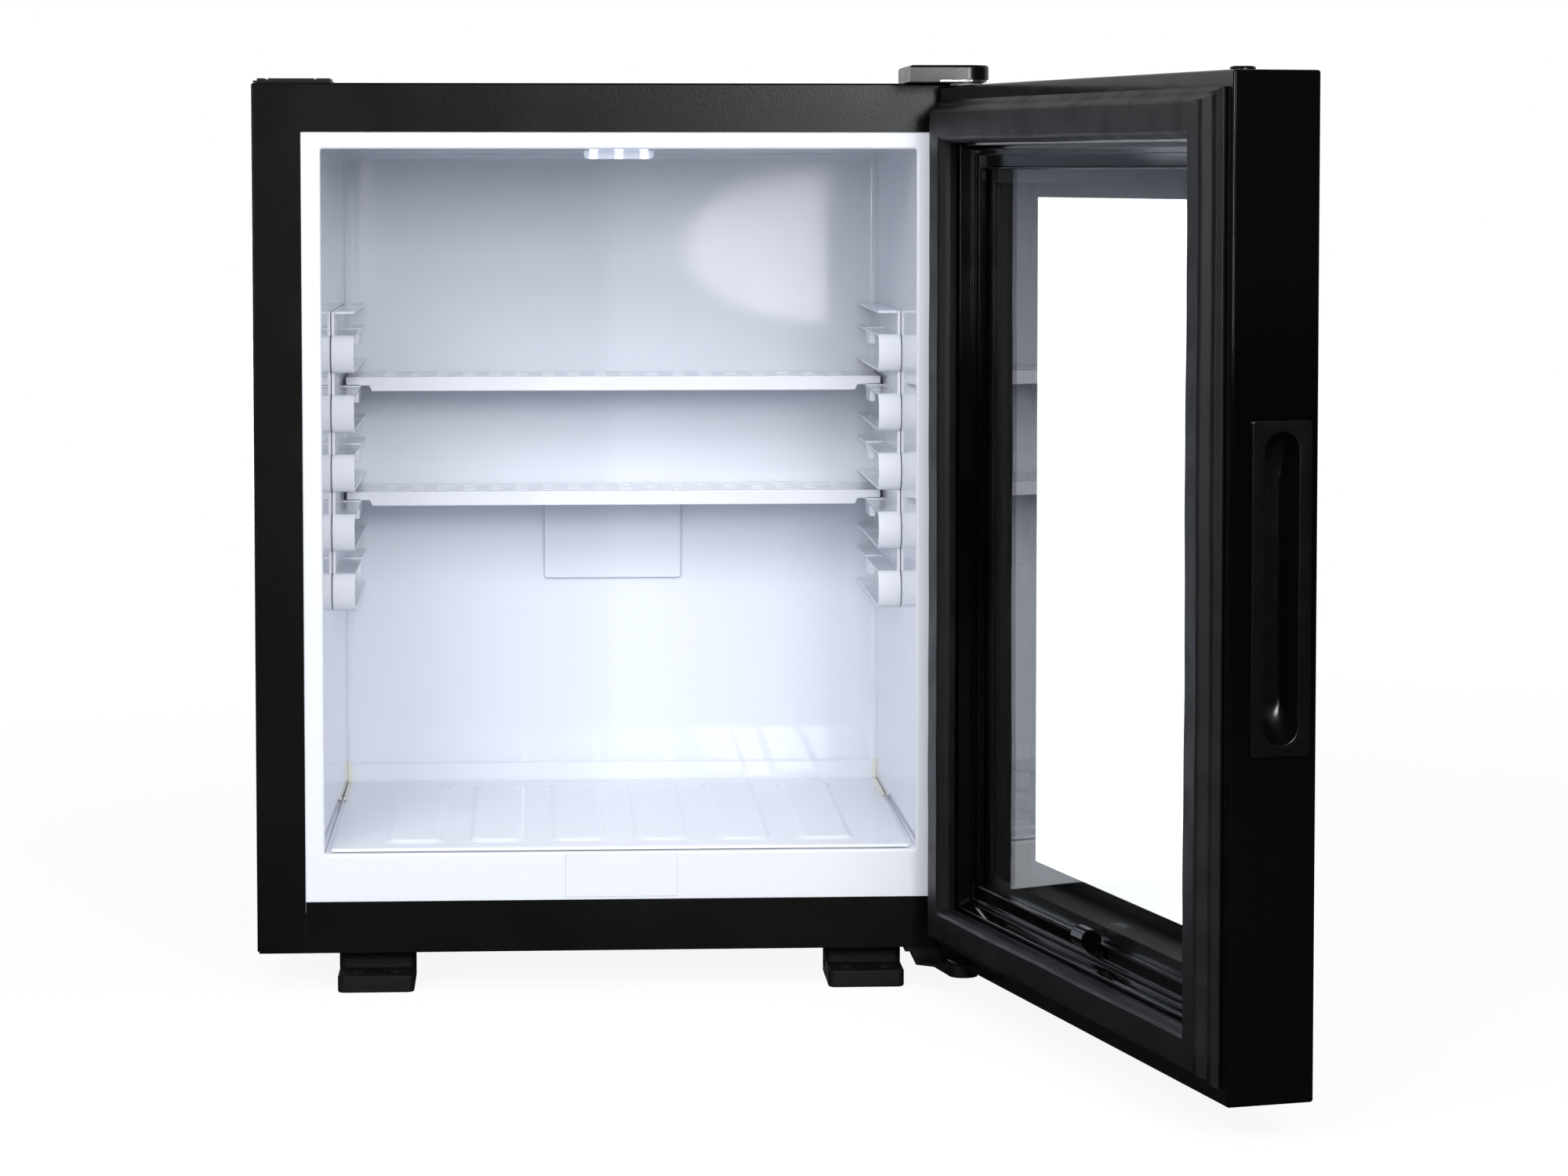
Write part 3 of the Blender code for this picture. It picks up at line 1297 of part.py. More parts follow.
def build_inner_frame(black_gloss, hinge):
    """Stepped glazing bead from the gasket groove to the inner glass, with its leg to the rebate."""
    start = GROOVE_START + GROOVE_WIDTH
    leg_end = DOOR_THICKNESS - REBATE_DEPTH - REBATE_THICKNESS - GAP
    back = INNER_GLASS_DEPTH - GAP
    bead_top = SECOND_STEP_DEPTH - BEAD_RISE
    profile = [
        (start, 0),
        (FIRST_STEP_INSET - FRAME_RAMP, 0),
        (FIRST_STEP_INSET, FIRST_STEP_DEPTH),
        (SECOND_STEP_INSET - STEP_RAMP, FIRST_STEP_DEPTH),
        (SECOND_STEP_INSET, SECOND_STEP_DEPTH),
        (BEAD_INSET, SECOND_STEP_DEPTH),
        (BEAD_INSET + BEAD_RAMP, bead_top),
        (INNER_FRAME_EDGE - BEAD_RAMP, bead_top),
        (INNER_FRAME_EDGE, SECOND_STEP_DEPTH),
        (INNER_FRAME_EDGE, back),
        (FIRST_STEP_INSET - FRAME_RAMP, back),
        (FIRST_STEP_INSET - 2 * FRAME_RAMP, DOOR_WALL),
        (start + DOOR_WALL, DOOR_WALL),
        (start + DOOR_WALL, leg_end),
        (start, leg_end),
    ]
    door_ring("door_inner_frame", profile, black_gloss, hinge)


def door_pane(name, inset, depth, thickness, glass, hinge):
    """A flat pane set in from the door's edges."""
    box(name, (door_x(DOOR_WIDTH - inset), door_y(depth + thickness), DOOR_BOTTOM + inset),
        (door_x(inset), door_y(depth), DOOR_TOP - inset), glass, hinge)


def build_glazing(glass, spacer_metal, hinge):
    """Inner pane, spacer and outer pane."""
    door_pane("inner_glass", INNER_GLASS_INSET, INNER_GLASS_DEPTH, INNER_GLASS_THICKNESS, glass, hinge)
    outer_depth = outer_glass_depth()
    door_pane("outer_glass", FRAME_BORDER + GAP, outer_depth, OUTER_GLASS_THICKNESS, glass, hinge)
    low = INNER_GLASS_DEPTH + INNER_GLASS_THICKNESS + GAP
    high = outer_depth - GAP
    end = SPACER_INSET + SPACER_WIDTH
    door_ring("glass_spacer", [(SPACER_INSET, low), (SPACER_INSET, high), (end, high), (end, low)],
              spacer_metal, hinge)


def build_gasket(gasket_rubber, magnet_black, hinge):
    """Soft profile with a skirt, a crest over the magnet and a dart in the door's groove."""
    crest = -(DOOR_GAP - GAP)
    pocket_start = CREST_START + GASKET_SKIN / 2
    pocket_end = pocket_start + MAGNET_WIDTH + 2 * GAP
    pocket_top = crest + GASKET_SKIN
    pocket_low = pocket_top + MAGNET_THICKNESS + 2 * GAP
    groove = GROOVE_START + GROOVE_WIDTH / 2
    slit = pocket_end - MAGNET_SLIT
    skirt = CREST_START - GASKET_OUTER
    inner_slope = GASKET_INNER - CREST_END
    profile = [
        (GASKET_OUTER + 0.08 * skirt, -GAP),
        (GASKET_OUTER, 0.15 * crest),
        (GASKET_OUTER + 0.28 * skirt, 0.41 * crest),
        (GASKET_OUTER + 0.56 * skirt, 0.51 * crest),
        (GASKET_OUTER + 0.8 * skirt, 0.91 * crest),
        (CREST_START, crest),
        (CREST_END, crest),
        (CREST_END + 0.4 * inner_slope, 0.9 * crest),
        (CREST_END + 0.8 * inner_slope, 0.68 * crest),
        (GASKET_INNER, 0.45 * crest),
        (CREST_END + 0.8 * inner_slope, 0.12 * crest),
        (CREST_END + 0.3 * inner_slope, -GAP),
        (pocket_end, -GAP),
        (pocket_end, pocket_top),
        (pocket_start, pocket_top),
        (pocket_start, pocket_low),
        (slit, pocket_low),
        (slit, -GAP),
        (groove + DART_STEM, -GAP),
        (groove + DART_STEM, DART_DEPTH - DART_BARB),
        (groove + DART_BARB, DART_DEPTH - DART_TIP),
        (groove, DART_DEPTH),
        (groove - DART_BARB, DART_DEPTH - DART_TIP),
        (groove - DART_STEM, DART_DEPTH - DART_BARB),
        (groove - DART_STEM, -GAP),
    ]
    door_ring("door_gasket", profile, gasket_rubber, hinge)
    start = pocket_start + GAP
    low = pocket_top + GAP
    door_ring("gasket_magnet", [
        (start, low), (start, low + MAGNET_THICKNESS),
        (start + MAGNET_WIDTH, low + MAGNET_THICKNESS), (start + MAGNET_WIDTH, low),
    ], magnet_black, hinge)


def build_handle(black_satin, hinge):
    """Grip insert in the free edge: flat plate outside, scooped recess inside."""
    half_height, half_width = HANDLE_RECESS_HEIGHT / 2, HANDLE_RECESS_WIDTH / 2
    outer_height, outer_width = half_height + HANDLE_WALL, half_width + HANDLE_WALL
    floor = HANDLE_RECESS_DEPTH
    inner = []
    scoop = 5
    for step in range(scoop + 1):
        share = step / scoop
        shrink = 0.5 * half_width * (1 - math.sqrt(1 - (share * 0.98) ** 2))
        rise = 2.6 * half_width * (1 - math.sqrt(1 - (share * 0.98) ** 2))
        inner.append(handle_loop(half_height - rise, half_width - shrink,
                                 -GAP - HANDLE_PLATE_THICKNESS + (floor + GAP) * share))
    body = lofted("handle_insert", [
        *reversed(inner),
        handle_loop(outer_height, outer_width, -GAP - HANDLE_PLATE_THICKNESS),
        handle_loop(outer_height, outer_width, floor * 0.5),
        handle_loop(outer_height - 1.6 * half_width, outer_width, floor + HANDLE_WALL),
    ], black_satin, hinge, smooth=True)
    plate_x = door_x(DOOR_WIDTH) - GAP
    depth_low = HANDLE_CENTRE_DEPTH - HANDLE_PLATE_WIDTH / 2
    depth_high = HANDLE_CENTRE_DEPTH + HANDLE_PLATE_WIDTH / 2
    outline = rounded_outline(door_y(depth_high), door_y(depth_low),
                              HANDLE_CENTRE_HEIGHT - HANDLE_PLATE_HEIGHT / 2,
                              HANDLE_CENTRE_HEIGHT + HANDLE_PLATE_HEIGHT / 2, HANDLE_PLATE_CORNER, 2)
    plate = prism("handle_plate", outline, "X", plate_x - HANDLE_PLATE_THICKNESS, plate_x, None, hinge)
    middle = lofted("handle_plate_cutter", [
        handle_loop(half_height + HANDLE_WALL / 2, half_width + HANDLE_WALL / 2, -4 * HANDLE_PLATE_THICKNESS),
        handle_loop(half_height + HANDLE_WALL / 2, half_width + HANDLE_WALL / 2, 4 * HANDLE_PLATE_THICKNESS),
    ], None)
    cut(plate, middle)
    fuse(body, plate)


def build_door_bushes(white_plastic, hinge):
    """Flanged bushes that turn on the hinge pins, each with a blind bore."""
    bore = PIN_RADIUS + PIN_CLEARANCE
    for name, face, inward in (("top_hinge_bush", DOOR_TOP, -1), ("bottom_hinge_bush", DOOR_BOTTOM, 1)):
        outside = face - inward * (GAP + BUSH_FLANGE)
        profile = [
            (bore, face + inward * (BUSH_LENGTH - BUSH_END)),
            (bore, outside),
            (BUSH_FLANGE_RADIUS, outside),
            (BUSH_FLANGE_RADIUS, face - inward * GAP),
            (BUSH_RADIUS, face - inward * GAP),
            (BUSH_RADIUS, face + inward * BUSH_LENGTH),
        ]
        round_solid(name, profile, (0, 0, 0), "Z", white_plastic, hinge)


def build_door_plug(black_satin, hinge):
    """Cap in the unused hinge hole of the door's top."""
    round_solid("door_top_plug", [
        (PLUG_RADIUS, DOOR_TOP - 2 * DOOR_WALL),
        (PLUG_RADIUS, DOOR_TOP + GAP),
        (PLUG_RADIUS + PLUG_BRIM, DOOR_TOP + GAP),
        (PLUG_RADIUS + PLUG_BRIM, DOOR_TOP + PLUG_RISE - PLUG_EDGE),
        (PLUG_RADIUS + PLUG_EDGE, DOOR_TOP + PLUG_RISE),
    ], (door_x(DOOR_WIDTH - PIVOT_FROM_EDGE), 0, 0), "Z", black_satin, hinge)


def build_magnet_holder(black_gloss, magnet_black, hinge):
    """Small round holder on the lower inner frame, with the lamp switch's magnet inside."""
    middle = door_x(HOLDER_FROM_HINGE_EDGE)
    y = door_y(HOLDER_DEPTH)
    half = HOLDER_LENGTH / 2
    bore = SWITCH_MAGNET_RADIUS + PIN_CLEARANCE
    end_wall = HOLDER_END_WALL
    holder = round_solid("switch_magnet_holder", [
        (bore, -half + end_wall),
        (bore, half),
        (HOLDER_RADIUS - HOLDER_EDGE, half),
        (HOLDER_RADIUS, half - HOLDER_EDGE),
        (HOLDER_RADIUS, -half + HOLDER_EDGE),
        (HOLDER_RADIUS - HOLDER_EDGE, -half),
    ], (middle, y, HOLDER_HEIGHT), "X", black_gloss, hinge, segments=24)
    foot_back = door_y(SECOND_STEP_DEPTH - GAP)
    foot_low = DOOR_BOTTOM + SECOND_STEP_INSET + HOLDER_EDGE
    foot_high = DOOR_BOTTOM + BEAD_INSET - HOLDER_EDGE
    foot = box("magnet_holder_foot", (middle - half * 1.35, foot_back, foot_low),
               (middle + half * 1.35, foot_back + HOLDER_FOOT, foot_high))
    neck = box("magnet_holder_neck", (middle - half * 0.9, foot_back + HOLDER_FOOT / 2, foot_low + HOLDER_EDGE / 2),
               (middle + half * 0.9, y - bore - HOLDER_EDGE, HOLDER_HEIGHT - bore / 2))
    fuse(holder, neck)
    fuse(holder, foot)
    round_solid("switch_magnet", [
        (SWITCH_MAGNET_RADIUS, -half + end_wall + GAP),
        (SWITCH_MAGNET_RADIUS, half - GAP),
    ], (middle, y, HOLDER_HEIGHT), "X", magnet_black, hinge)


def build_door(materials):
    """Every piece of the door, hung on an empty on the hinge axis and swung open."""
    hinge = bpy.data.objects.new("door_hinge_axis", None)
    bpy.context.scene.collection.objects.link(hinge)
    hinge.location = (PIVOT_X, PIVOT_Y, 0)
    hinge.rotation_euler = (0, 0, DOOR_ANGLE)
    build_door_frame(materials["black_gloss"], hinge)
    build_inner_frame(materials["black_gloss"], hinge)
    build_glazing(materials["glass"], materials["spacer"], hinge)
    build_gasket(materials["gasket"], materials["magnet"], hinge)
    build_handle(materials["black_satin"], hinge)
    build_door_bushes(materials["grey_plastic"], hinge)
    build_door_plug(materials["black_satin"], hinge)
    build_magnet_holder(materials["black_gloss"], materials["magnet"], hinge)


# Cooling unit

def build_vessel(black_metal):
    """Absorber vessel: lying cylinder with domed ends."""
    half = VESSEL_LENGTH / 2
    dome = VESSEL_RADIUS * 0.45
    profile = [
        (VESSEL_RADIUS * 0.35, -half),
        (VESSEL_RADIUS * 0.8, -half + dome * 0.4),
        (VESSEL_RADIUS, -half + dome),
        (VESSEL_RADIUS, half - dome),
        (VESSEL_RADIUS * 0.8, half - dome * 0.4),
        (VESSEL_RADIUS * 0.35, half),
    ]
    middle = (COIL_LEFT + COIL_RIGHT) / 2
    round_solid("absorber_vessel", profile, (middle, FRONT + UNIT_DEPTH, VESSEL_HEIGHT), "X", black_metal,
                segments=ROUND_SEGMENTS)


def coil_top():
    """Height of the coil's last run."""
    return COIL_FIRST + (COIL_RUNS - 1) * COIL_PITCH


def build_absorber_coil(black_metal):
    """One tube from the vessel up through its runs to the end of the gas return line."""
    y = FRONT + UNIT_DEPTH
    start_x = COIL_LEFT + TUBE_RADIUS * 3
    corners = [(start_x, y, VESSEL_HEIGHT + VESSEL_RADIUS + GAP), (start_x, y, COIL_FIRST)]
    at_left = True
    for run in range(COIL_RUNS):
        height = COIL_FIRST + run * COIL_PITCH
        far = COIL_RIGHT if at_left else COIL_LEFT
        corners.append((far, y, height))
        if run < COIL_RUNS - 1:
            corners.append((far, y, height + COIL_PITCH))
        at_left = not at_left
    pipe("absorber_coil", rounded_route(corners, COIL_BEND), TUBE_RADIUS, black_metal)


def build_lines(black_metal):
    """Vapour line, liquid line and gas return line of the unit."""
    y = FRONT + UNIT_DEPTH
    boiler_top = BOILER_BOTTOM + BOILER_HEIGHT
    condenser_right = CONDENSER_LENGTH / 2
    bend = 2.2 * TUBE_RADIUS
    pipe("vapour_line", rounded_route([
        (BOILER_PLACE, y, boiler_top + GAP),
        (BOILER_PLACE, y, CONDENSER_HEIGHT),
        (condenser_right + GAP, y, CONDENSER_HEIGHT),
    ], bend), TUBE_RADIUS, black_metal)
    block_back = FRONT + LINER_OUTER_BACK + GAP + BLOCK_THICKNESS + GAP
    ports = EVAPORATOR_HEIGHT + BLOCK_HEIGHT / 5
    inner_y = y - 3 * TUBE_RADIUS
    liquid_x = BLOCK_WIDTH / 4
    left = -CONDENSER_LENGTH / 2
    drop = left - 3 * TUBE_RADIUS
    across = coil_top() + 2 * COIL_PITCH
    pipe("liquid_line", rounded_route([
        (left - GAP, y, CONDENSER_HEIGHT - CONDENSER_FALL),
        (drop, y, CONDENSER_HEIGHT - CONDENSER_FALL),
        (drop, y, across),
        (liquid_x, y, across),
        (liquid_x, inner_y, ports),
        (liquid_x, block_back, ports),
    ], bend), TUBE_RADIUS * 0.75, black_metal)
    gas_x = -BLOCK_WIDTH / 4
    end_x = COIL_LEFT - GAP
    turn_x = end_x - 3 * TUBE_RADIUS
    pipe("gas_return_line", rounded_route([
        (gas_x, block_back, ports),
        (gas_x, inner_y, ports),
        (turn_x, inner_y, ports),
        (turn_x, y, coil_top() + COIL_PITCH / 2),
        (turn_x, y, coil_top()),
        (end_x, y, coil_top()),
    ], bend), TUBE_RADIUS, black_metal)


def build_condenser(black_metal):
    """Sloping tube with square fins."""
    y = FRONT + UNIT_DEPTH
    half = CONDENSER_LENGTH / 2
    tube = round_solid("condenser", [(TUBE_RADIUS, -half), (TUBE_RADIUS, half)],
                       (0, y, CONDENSER_HEIGHT - CONDENSER_FALL / 2), "X", black_metal)
    tube_angle = math.atan2(CONDENSER_FALL, CONDENSER_LENGTH)
    for vertex in tube.data.vertices:
        vertex.co.z += vertex.co.x * math.tan(tube_angle)
    fins = []
    for index in range(FIN_COUNT):
        x = (index - (FIN_COUNT - 1) / 2) * FIN_PITCH
        fins.append(box("fin", (x - FIN_THICKNESS / 2, y - FIN_SIZE / 2, CONDENSER_HEIGHT - FIN_SIZE / 2),
                        (x + FIN_THICKNESS / 2, y + FIN_SIZE / 2, CONDENSER_HEIGHT + FIN_SIZE / 2)))
    fuse(tube, joined_guide("condenser_fins", fins))


def build_boiler(black_metal, steel, cable):
    """Insulated boiler case, heater cartridge in its pocket, the heater's lead and the bracket."""
    y = FRONT + UNIT_DEPTH
    top = BOILER_BOTTOM + BOILER_HEIGHT
    pocket = HEATER_RADIUS + GAP
    round_solid("boiler_case", [
        (pocket, BOILER_BOTTOM + HEATER_LENGTH),
        (pocket, BOILER_BOTTOM),
        (BOILER_RADIUS - BOILER_EDGE, BOILER_BOTTOM),
        (BOILER_RADIUS, BOILER_BOTTOM + BOILER_EDGE),
        (BOILER_RADIUS, top - BOILER_EDGE),
        (BOILER_RADIUS - BOILER_EDGE, top),
    ], (BOILER_PLACE, y, 0), "Z", black_metal, segments=ROUND_SEGMENTS)
    heater_low = BOILER_BOTTOM - HEATER_STICK_OUT
    round_solid("heater_cartridge", [
        (HEATER_RADIUS, heater_low),
        (HEATER_RADIUS, BOILER_BOTTOM + HEATER_LENGTH - GAP),
    ], (BOILER_PLACE, y, 0), "Z", steel)
    box_right = BOX_CENTRE + BOX_WIDTH / 2
    low = LEAD_HEIGHT
    entry = BOX_BOTTOM + BOX_HEIGHT / 6
    pipe("heater_lead", rounded_route([
        (BOILER_PLACE, y, heater_low - GAP),
        (BOILER_PLACE, y, low),
        (box_right + 4 * LEAD_RADIUS, y, low),
        (box_right + 4 * LEAD_RADIUS, FRONT + BACK_PANEL_REAR + BOX_DEPTH / 2, entry),
        (box_right + GAP, FRONT + BACK_PANEL_REAR + BOX_DEPTH / 2, entry),
    ], 4 * LEAD_RADIUS), LEAD_RADIUS, cable)
    panel = FRONT + BACK_PANEL_REAR + GAP
    middle = BOILER_BOTTOM + BOILER_HEIGHT / 2
    block_union("boiler_bracket", [
        ((BOILER_PLACE - BOILER_PLATE, panel, middle - BOILER_BRACKET_HALF),
         (BOILER_PLACE + BOILER_PLATE, panel + STRAP_THICKNESS, middle + BOILER_BRACKET_HALF)),
        ((BOILER_PLACE - BOILER_WEB, panel, middle - BOILER_BRACKET_HALF),
         (BOILER_PLACE + BOILER_WEB, y - BOILER_RADIUS - GAP, middle + BOILER_BRACKET_HALF)),
    ], black_metal)


def build_straps(black_metal):
    """Two bent straps that stand off the back panel and carry the coil and the vessel."""
    panel = FRONT + BACK_PANEL_REAR + GAP
    face = FRONT + UNIT_DEPTH - TUBE_RADIUS - GAP
    low = COIL_FIRST - STRAP_OVERHANG
    high = coil_top() + STRAP_OVERHANG
    for name, x in (("unit_strap_left", STRAP_LEFT), ("unit_strap_right", STRAP_RIGHT)):
        left, right = x - STRAP_WIDTH / 2, x + STRAP_WIDTH / 2
        block_union(name, [
            ((left, face - STRAP_THICKNESS, low), (right, face, high)),
            ((left, panel, low), (right, face, low + STRAP_THICKNESS)),
            ((left, panel, high - STRAP_THICKNESS), (right, face, high)),
            ((left, panel, low - STRAP_FLANGE), (right, panel + STRAP_THICKNESS, low + STRAP_THICKNESS)),
            ((left, panel, high - STRAP_THICKNESS), (right, panel + STRAP_THICKNESS, high + STRAP_FLANGE)),
        ], black_metal)


def build_control_box(dark_plastic, board_green, black_metal):
    """Box on the back panel, board inside, and the lid with its power inlet."""
    front = FRONT + BACK_PANEL_REAR + GAP
    left, right = BOX_CENTRE - BOX_WIDTH / 2, BOX_CENTRE + BOX_WIDTH / 2
    top = BOX_BOTTOM + BOX_HEIGHT
    back = front + BOX_DEPTH
    body = box("control_box", (left, front, BOX_BOTTOM), (right, back, top), dark_plastic)
    cut(body, box("control_box_cutter", (left + BOX_WALL, front + BOX_WALL, BOX_BOTTOM + BOX_WALL),
                  (right - BOX_WALL, back + BOX_WALL, top - BOX_WALL)))
    board_front = front + BOX_WALL + GAP
    blocks = [
        ((left + BOX_WALL + GAP, board_front, BOX_BOTTOM + BOX_WALL + GAP),
         (right - BOX_WALL - GAP, board_front + BOARD_THICKNESS, top - BOX_WALL - GAP)),
    ]
    for (width, depth, height), (shift, rise) in (
        (RELAY_SIZE, RELAY_PLACE),
        (CAPACITOR_SIZE, CAPACITOR_PLACE),
    ):
        blocks.append(((BOX_CENTRE + shift, board_front, BOX_BOTTOM + rise),
                       (BOX_CENTRE + shift + width, board_front + depth, BOX_BOTTOM + rise + height)))
    block_union("control_board", blocks, board_green)
    lid_front = back + GAP
    lid_back = lid_front + LID_THICKNESS
    middle = BOX_BOTTOM + BOX_HEIGHT * 0.3
    lid = box("control_lid", (left, lid_front, BOX_BOTTOM), (right, lid_back, top), dark_plastic)
    opening = rounded_outline(BOX_CENTRE - INLET_WIDTH / 2 - GAP, BOX_CENTRE + INLET_WIDTH / 2 + GAP,
                              middle - INLET_HEIGHT / 2 - GAP, middle + INLET_HEIGHT / 2 + GAP, INLET_CORNER)
    cut(lid, prism("lid_inlet_cutter", opening, "Y", lid_front - SHEET, lid_back + SHEET))

    def loop(grow, y, corner=INLET_CORNER):
        outline = rounded_outline(BOX_CENTRE - INLET_WIDTH / 2 + grow, BOX_CENTRE + INLET_WIDTH / 2 - grow,
                                  middle - INLET_HEIGHT / 2 + grow, middle + INLET_HEIGHT / 2 - grow, corner)
        return [Vector((x, y, z)) for x, z in outline]

    rim_front = lid_back + GAP
    rim_back = rim_front + INLET_BRIM_THICKNESS
    inlet = lofted("power_inlet", [
        loop(0, rim_back - INLET_DEPTH - INLET_FLOOR),
        loop(0, rim_front),
        loop(-INLET_BRIM, rim_front),
        loop(-INLET_BRIM, rim_back),
        loop(INLET_WALL, rim_back, INLET_CORNER * 0.75),
        loop(INLET_WALL, rim_back - INLET_DEPTH, INLET_CORNER * 0.75),
    ], dark_plastic)
    blades = [
        prism("blade", circle_outline(BOX_CENTRE + shift, middle + rise, BLADE_RADIUS, 8), "Y",
              rim_back - INLET_DEPTH - INLET_FLOOR / 2, rim_back - BLADE_SETBACK)
        for shift, rise in ((-BLADE_SHIFT, -BLADE_DROP), (0, EARTH_BLADE_RISE), (BLADE_SHIFT, -BLADE_DROP))
    ]
    fuse(inlet, joined_guide("inlet_blades", blades))


# Assembly

def make_materials():
    """Every finish, by name."""
    return {
        "black_steel": finish("black_steel", (0.018, 0.018, 0.019), 0.55, 0.0),
        "black_gloss": finish("black_gloss", (0.012, 0.012, 0.013), 0.18),
        "black_satin": finish("black_satin", (0.014, 0.014, 0.015), 0.4),
        "black_metal": finish("black_metal", (0.02, 0.02, 0.022), 0.5, 0.3),
        "white_plastic": finish("white_plastic", (0.82, 0.84, 0.88), 0.22),
        "rack_plastic": finish("rack_plastic", (0.84, 0.86, 0.9), 0.25),
        "grey_plastic": finish("grey_plastic", (0.3, 0.3, 0.32), 0.45),
        "dark_plastic": finish("dark_plastic", (0.03, 0.03, 0.032), 0.5),
        "clear_plastic": finish("clear_plastic", (0.95, 0.96, 1.0), 0.08, 0.0, 0.45),
        "glass": finish("glass", (0.86, 0.92, 0.92), 0.03, 0.0, 0.3),
        "spacer": finish("spacer", (0.02, 0.021, 0.025), 0.35, 0.2),
        "gasket": finish("gasket", (0.05, 0.05, 0.055), 0.42),
        "magnet": finish("magnet", (0.03, 0.028, 0.026), 0.6),
        "rubber": finish("rubber", (0.02, 0.02, 0.021), 0.75),
        "foam": finish("foam", (0.72, 0.66, 0.4), 0.9),
        "aluminium": finish("aluminium", (0.72, 0.73, 0.75), 0.35, 1.0),
        "steel": finish("steel", (0.55, 0.56, 0.58), 0.3, 1.0),
        "board_green": finish("board_green", (0.02, 0.16, 0.06), 0.5),
        "cable": finish("cable", (0.02, 0.02, 0.02), 0.6),
    }


def build():
    """Builds every piece of the fridge."""
    remove_old_objects()
    materials = make_materials()
    build_outer_wrap(materials["black_steel"])
    build_base_panel(materials["black_steel"])
    build_back_panel(materials["black_steel"])
    build_inner_liner(materials["white_plastic"])
    build_foam(materials["foam"])
    build_floor_pan(materials["white_plastic"])
    build_switch_parts(materials["white_plastic"], materials["dark_plastic"])
    build_evaporator(materials["white_plastic"], materials["aluminium"])
    build_lamp(materials["white_plastic"], materials["clear_plastic"], materials["board_green"])
    build_rack("shelf_rack_left", -1, materials["rack_plastic"])
    build_rack("shelf_rack_right", 1, materials["rack_plastic"])
    build_shelf("upper_shelf", UPPER_SHELF_LEVEL, materials["rack_plastic"], None)
    build_shelf("lower_shelf", LOWER_SHELF_LEVEL, materials["rack_plastic"], None)
    for name, x, depth in (
        ("foot_front_left", -FOOT_SPREAD, -FOOT_OVERHANG),
        ("foot_front_right", FOOT_SPREAD, -FOOT_OVERHANG),
        ("foot_rear_left", -FOOT_SPREAD, REAR_FOOT_FRONT),
        ("foot_rear_right", FOOT_SPREAD, REAR_FOOT_FRONT),
    ):
        build_foot(name, x, depth, materials["rubber"])
    build_top_hinge(materials["steel"], materials["black_satin"])
    build_bottom_hinge(materials["steel"], materials["black_metal"])
    build_blank_plate(materials["black_metal"])
    build_door(materials)
    build_vessel(materials["black_metal"])
    build_absorber_coil(materials["black_metal"])
    build_lines(materials["black_metal"])
    build_condenser(materials["black_metal"])
    build_boiler(materials["black_metal"], materials["steel"], materials["cable"])
    build_straps(materials["black_metal"])
    build_control_box(materials["dark_plastic"], materials["board_green"], materials["black_metal"])


build()
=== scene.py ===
"""Looks of a small minibar fridge with a glass door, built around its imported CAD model.

Forms are drawn in millimetres. On the cabinet a point is (across, depth behind the cabinet's front, height). On the
door it is (across from the hinge axis, depth behind the door's inner face, height), drawn shut and swung open last.
"""

import json
import logging
import math
from dataclasses import dataclass
from enum import Enum
from typing import Any, Iterable, Sequence

import bmesh
import bpy
import numpy as np
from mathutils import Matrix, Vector


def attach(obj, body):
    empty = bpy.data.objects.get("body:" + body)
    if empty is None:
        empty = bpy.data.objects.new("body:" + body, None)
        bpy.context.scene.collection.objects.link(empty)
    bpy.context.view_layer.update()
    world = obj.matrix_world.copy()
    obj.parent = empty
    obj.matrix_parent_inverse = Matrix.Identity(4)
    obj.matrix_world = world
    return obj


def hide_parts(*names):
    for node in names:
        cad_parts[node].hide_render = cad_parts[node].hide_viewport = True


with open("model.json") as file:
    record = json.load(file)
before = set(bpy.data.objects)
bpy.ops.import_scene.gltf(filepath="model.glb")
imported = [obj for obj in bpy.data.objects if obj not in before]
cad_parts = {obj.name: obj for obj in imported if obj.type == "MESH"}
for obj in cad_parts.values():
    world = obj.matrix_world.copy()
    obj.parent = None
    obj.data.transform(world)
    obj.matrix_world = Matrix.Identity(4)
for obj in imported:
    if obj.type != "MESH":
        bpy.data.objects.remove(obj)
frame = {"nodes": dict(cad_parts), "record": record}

Tree = bpy.types.NodeTree
Socket = bpy.types.NodeSocket

LOG = logging.getLogger("minibar")
MM = 0.001
FRONT = -184.0
PIVOT_X = 187.0
PIVOT_Y = -205.5
PIVOT_DEPTH = 10.0
SWING = math.radians(104)
GAP = 0.3


class Axis(Enum):
    """The axis that an outline is pushed or turned along, as its column in a point."""

    ACROSS = 0
    DEPTH = 1
    HEIGHT = 2


class Side(Enum):
    """The left or the right half of the cabinet, as the sign of its X."""

    LEFT = -1
    RIGHT = 1

    def span(self, inner: float, outer: float) -> tuple[float, float]:
        """Two distances from the middle plane as ordered X values on this side."""
        return (inner, outer) if self is Side.RIGHT else (-outer, -inner)


class Cut(Enum):
    """What an exact Boolean does with two forms."""

    REMOVE = "DIFFERENCE"
    JOIN = "UNION"


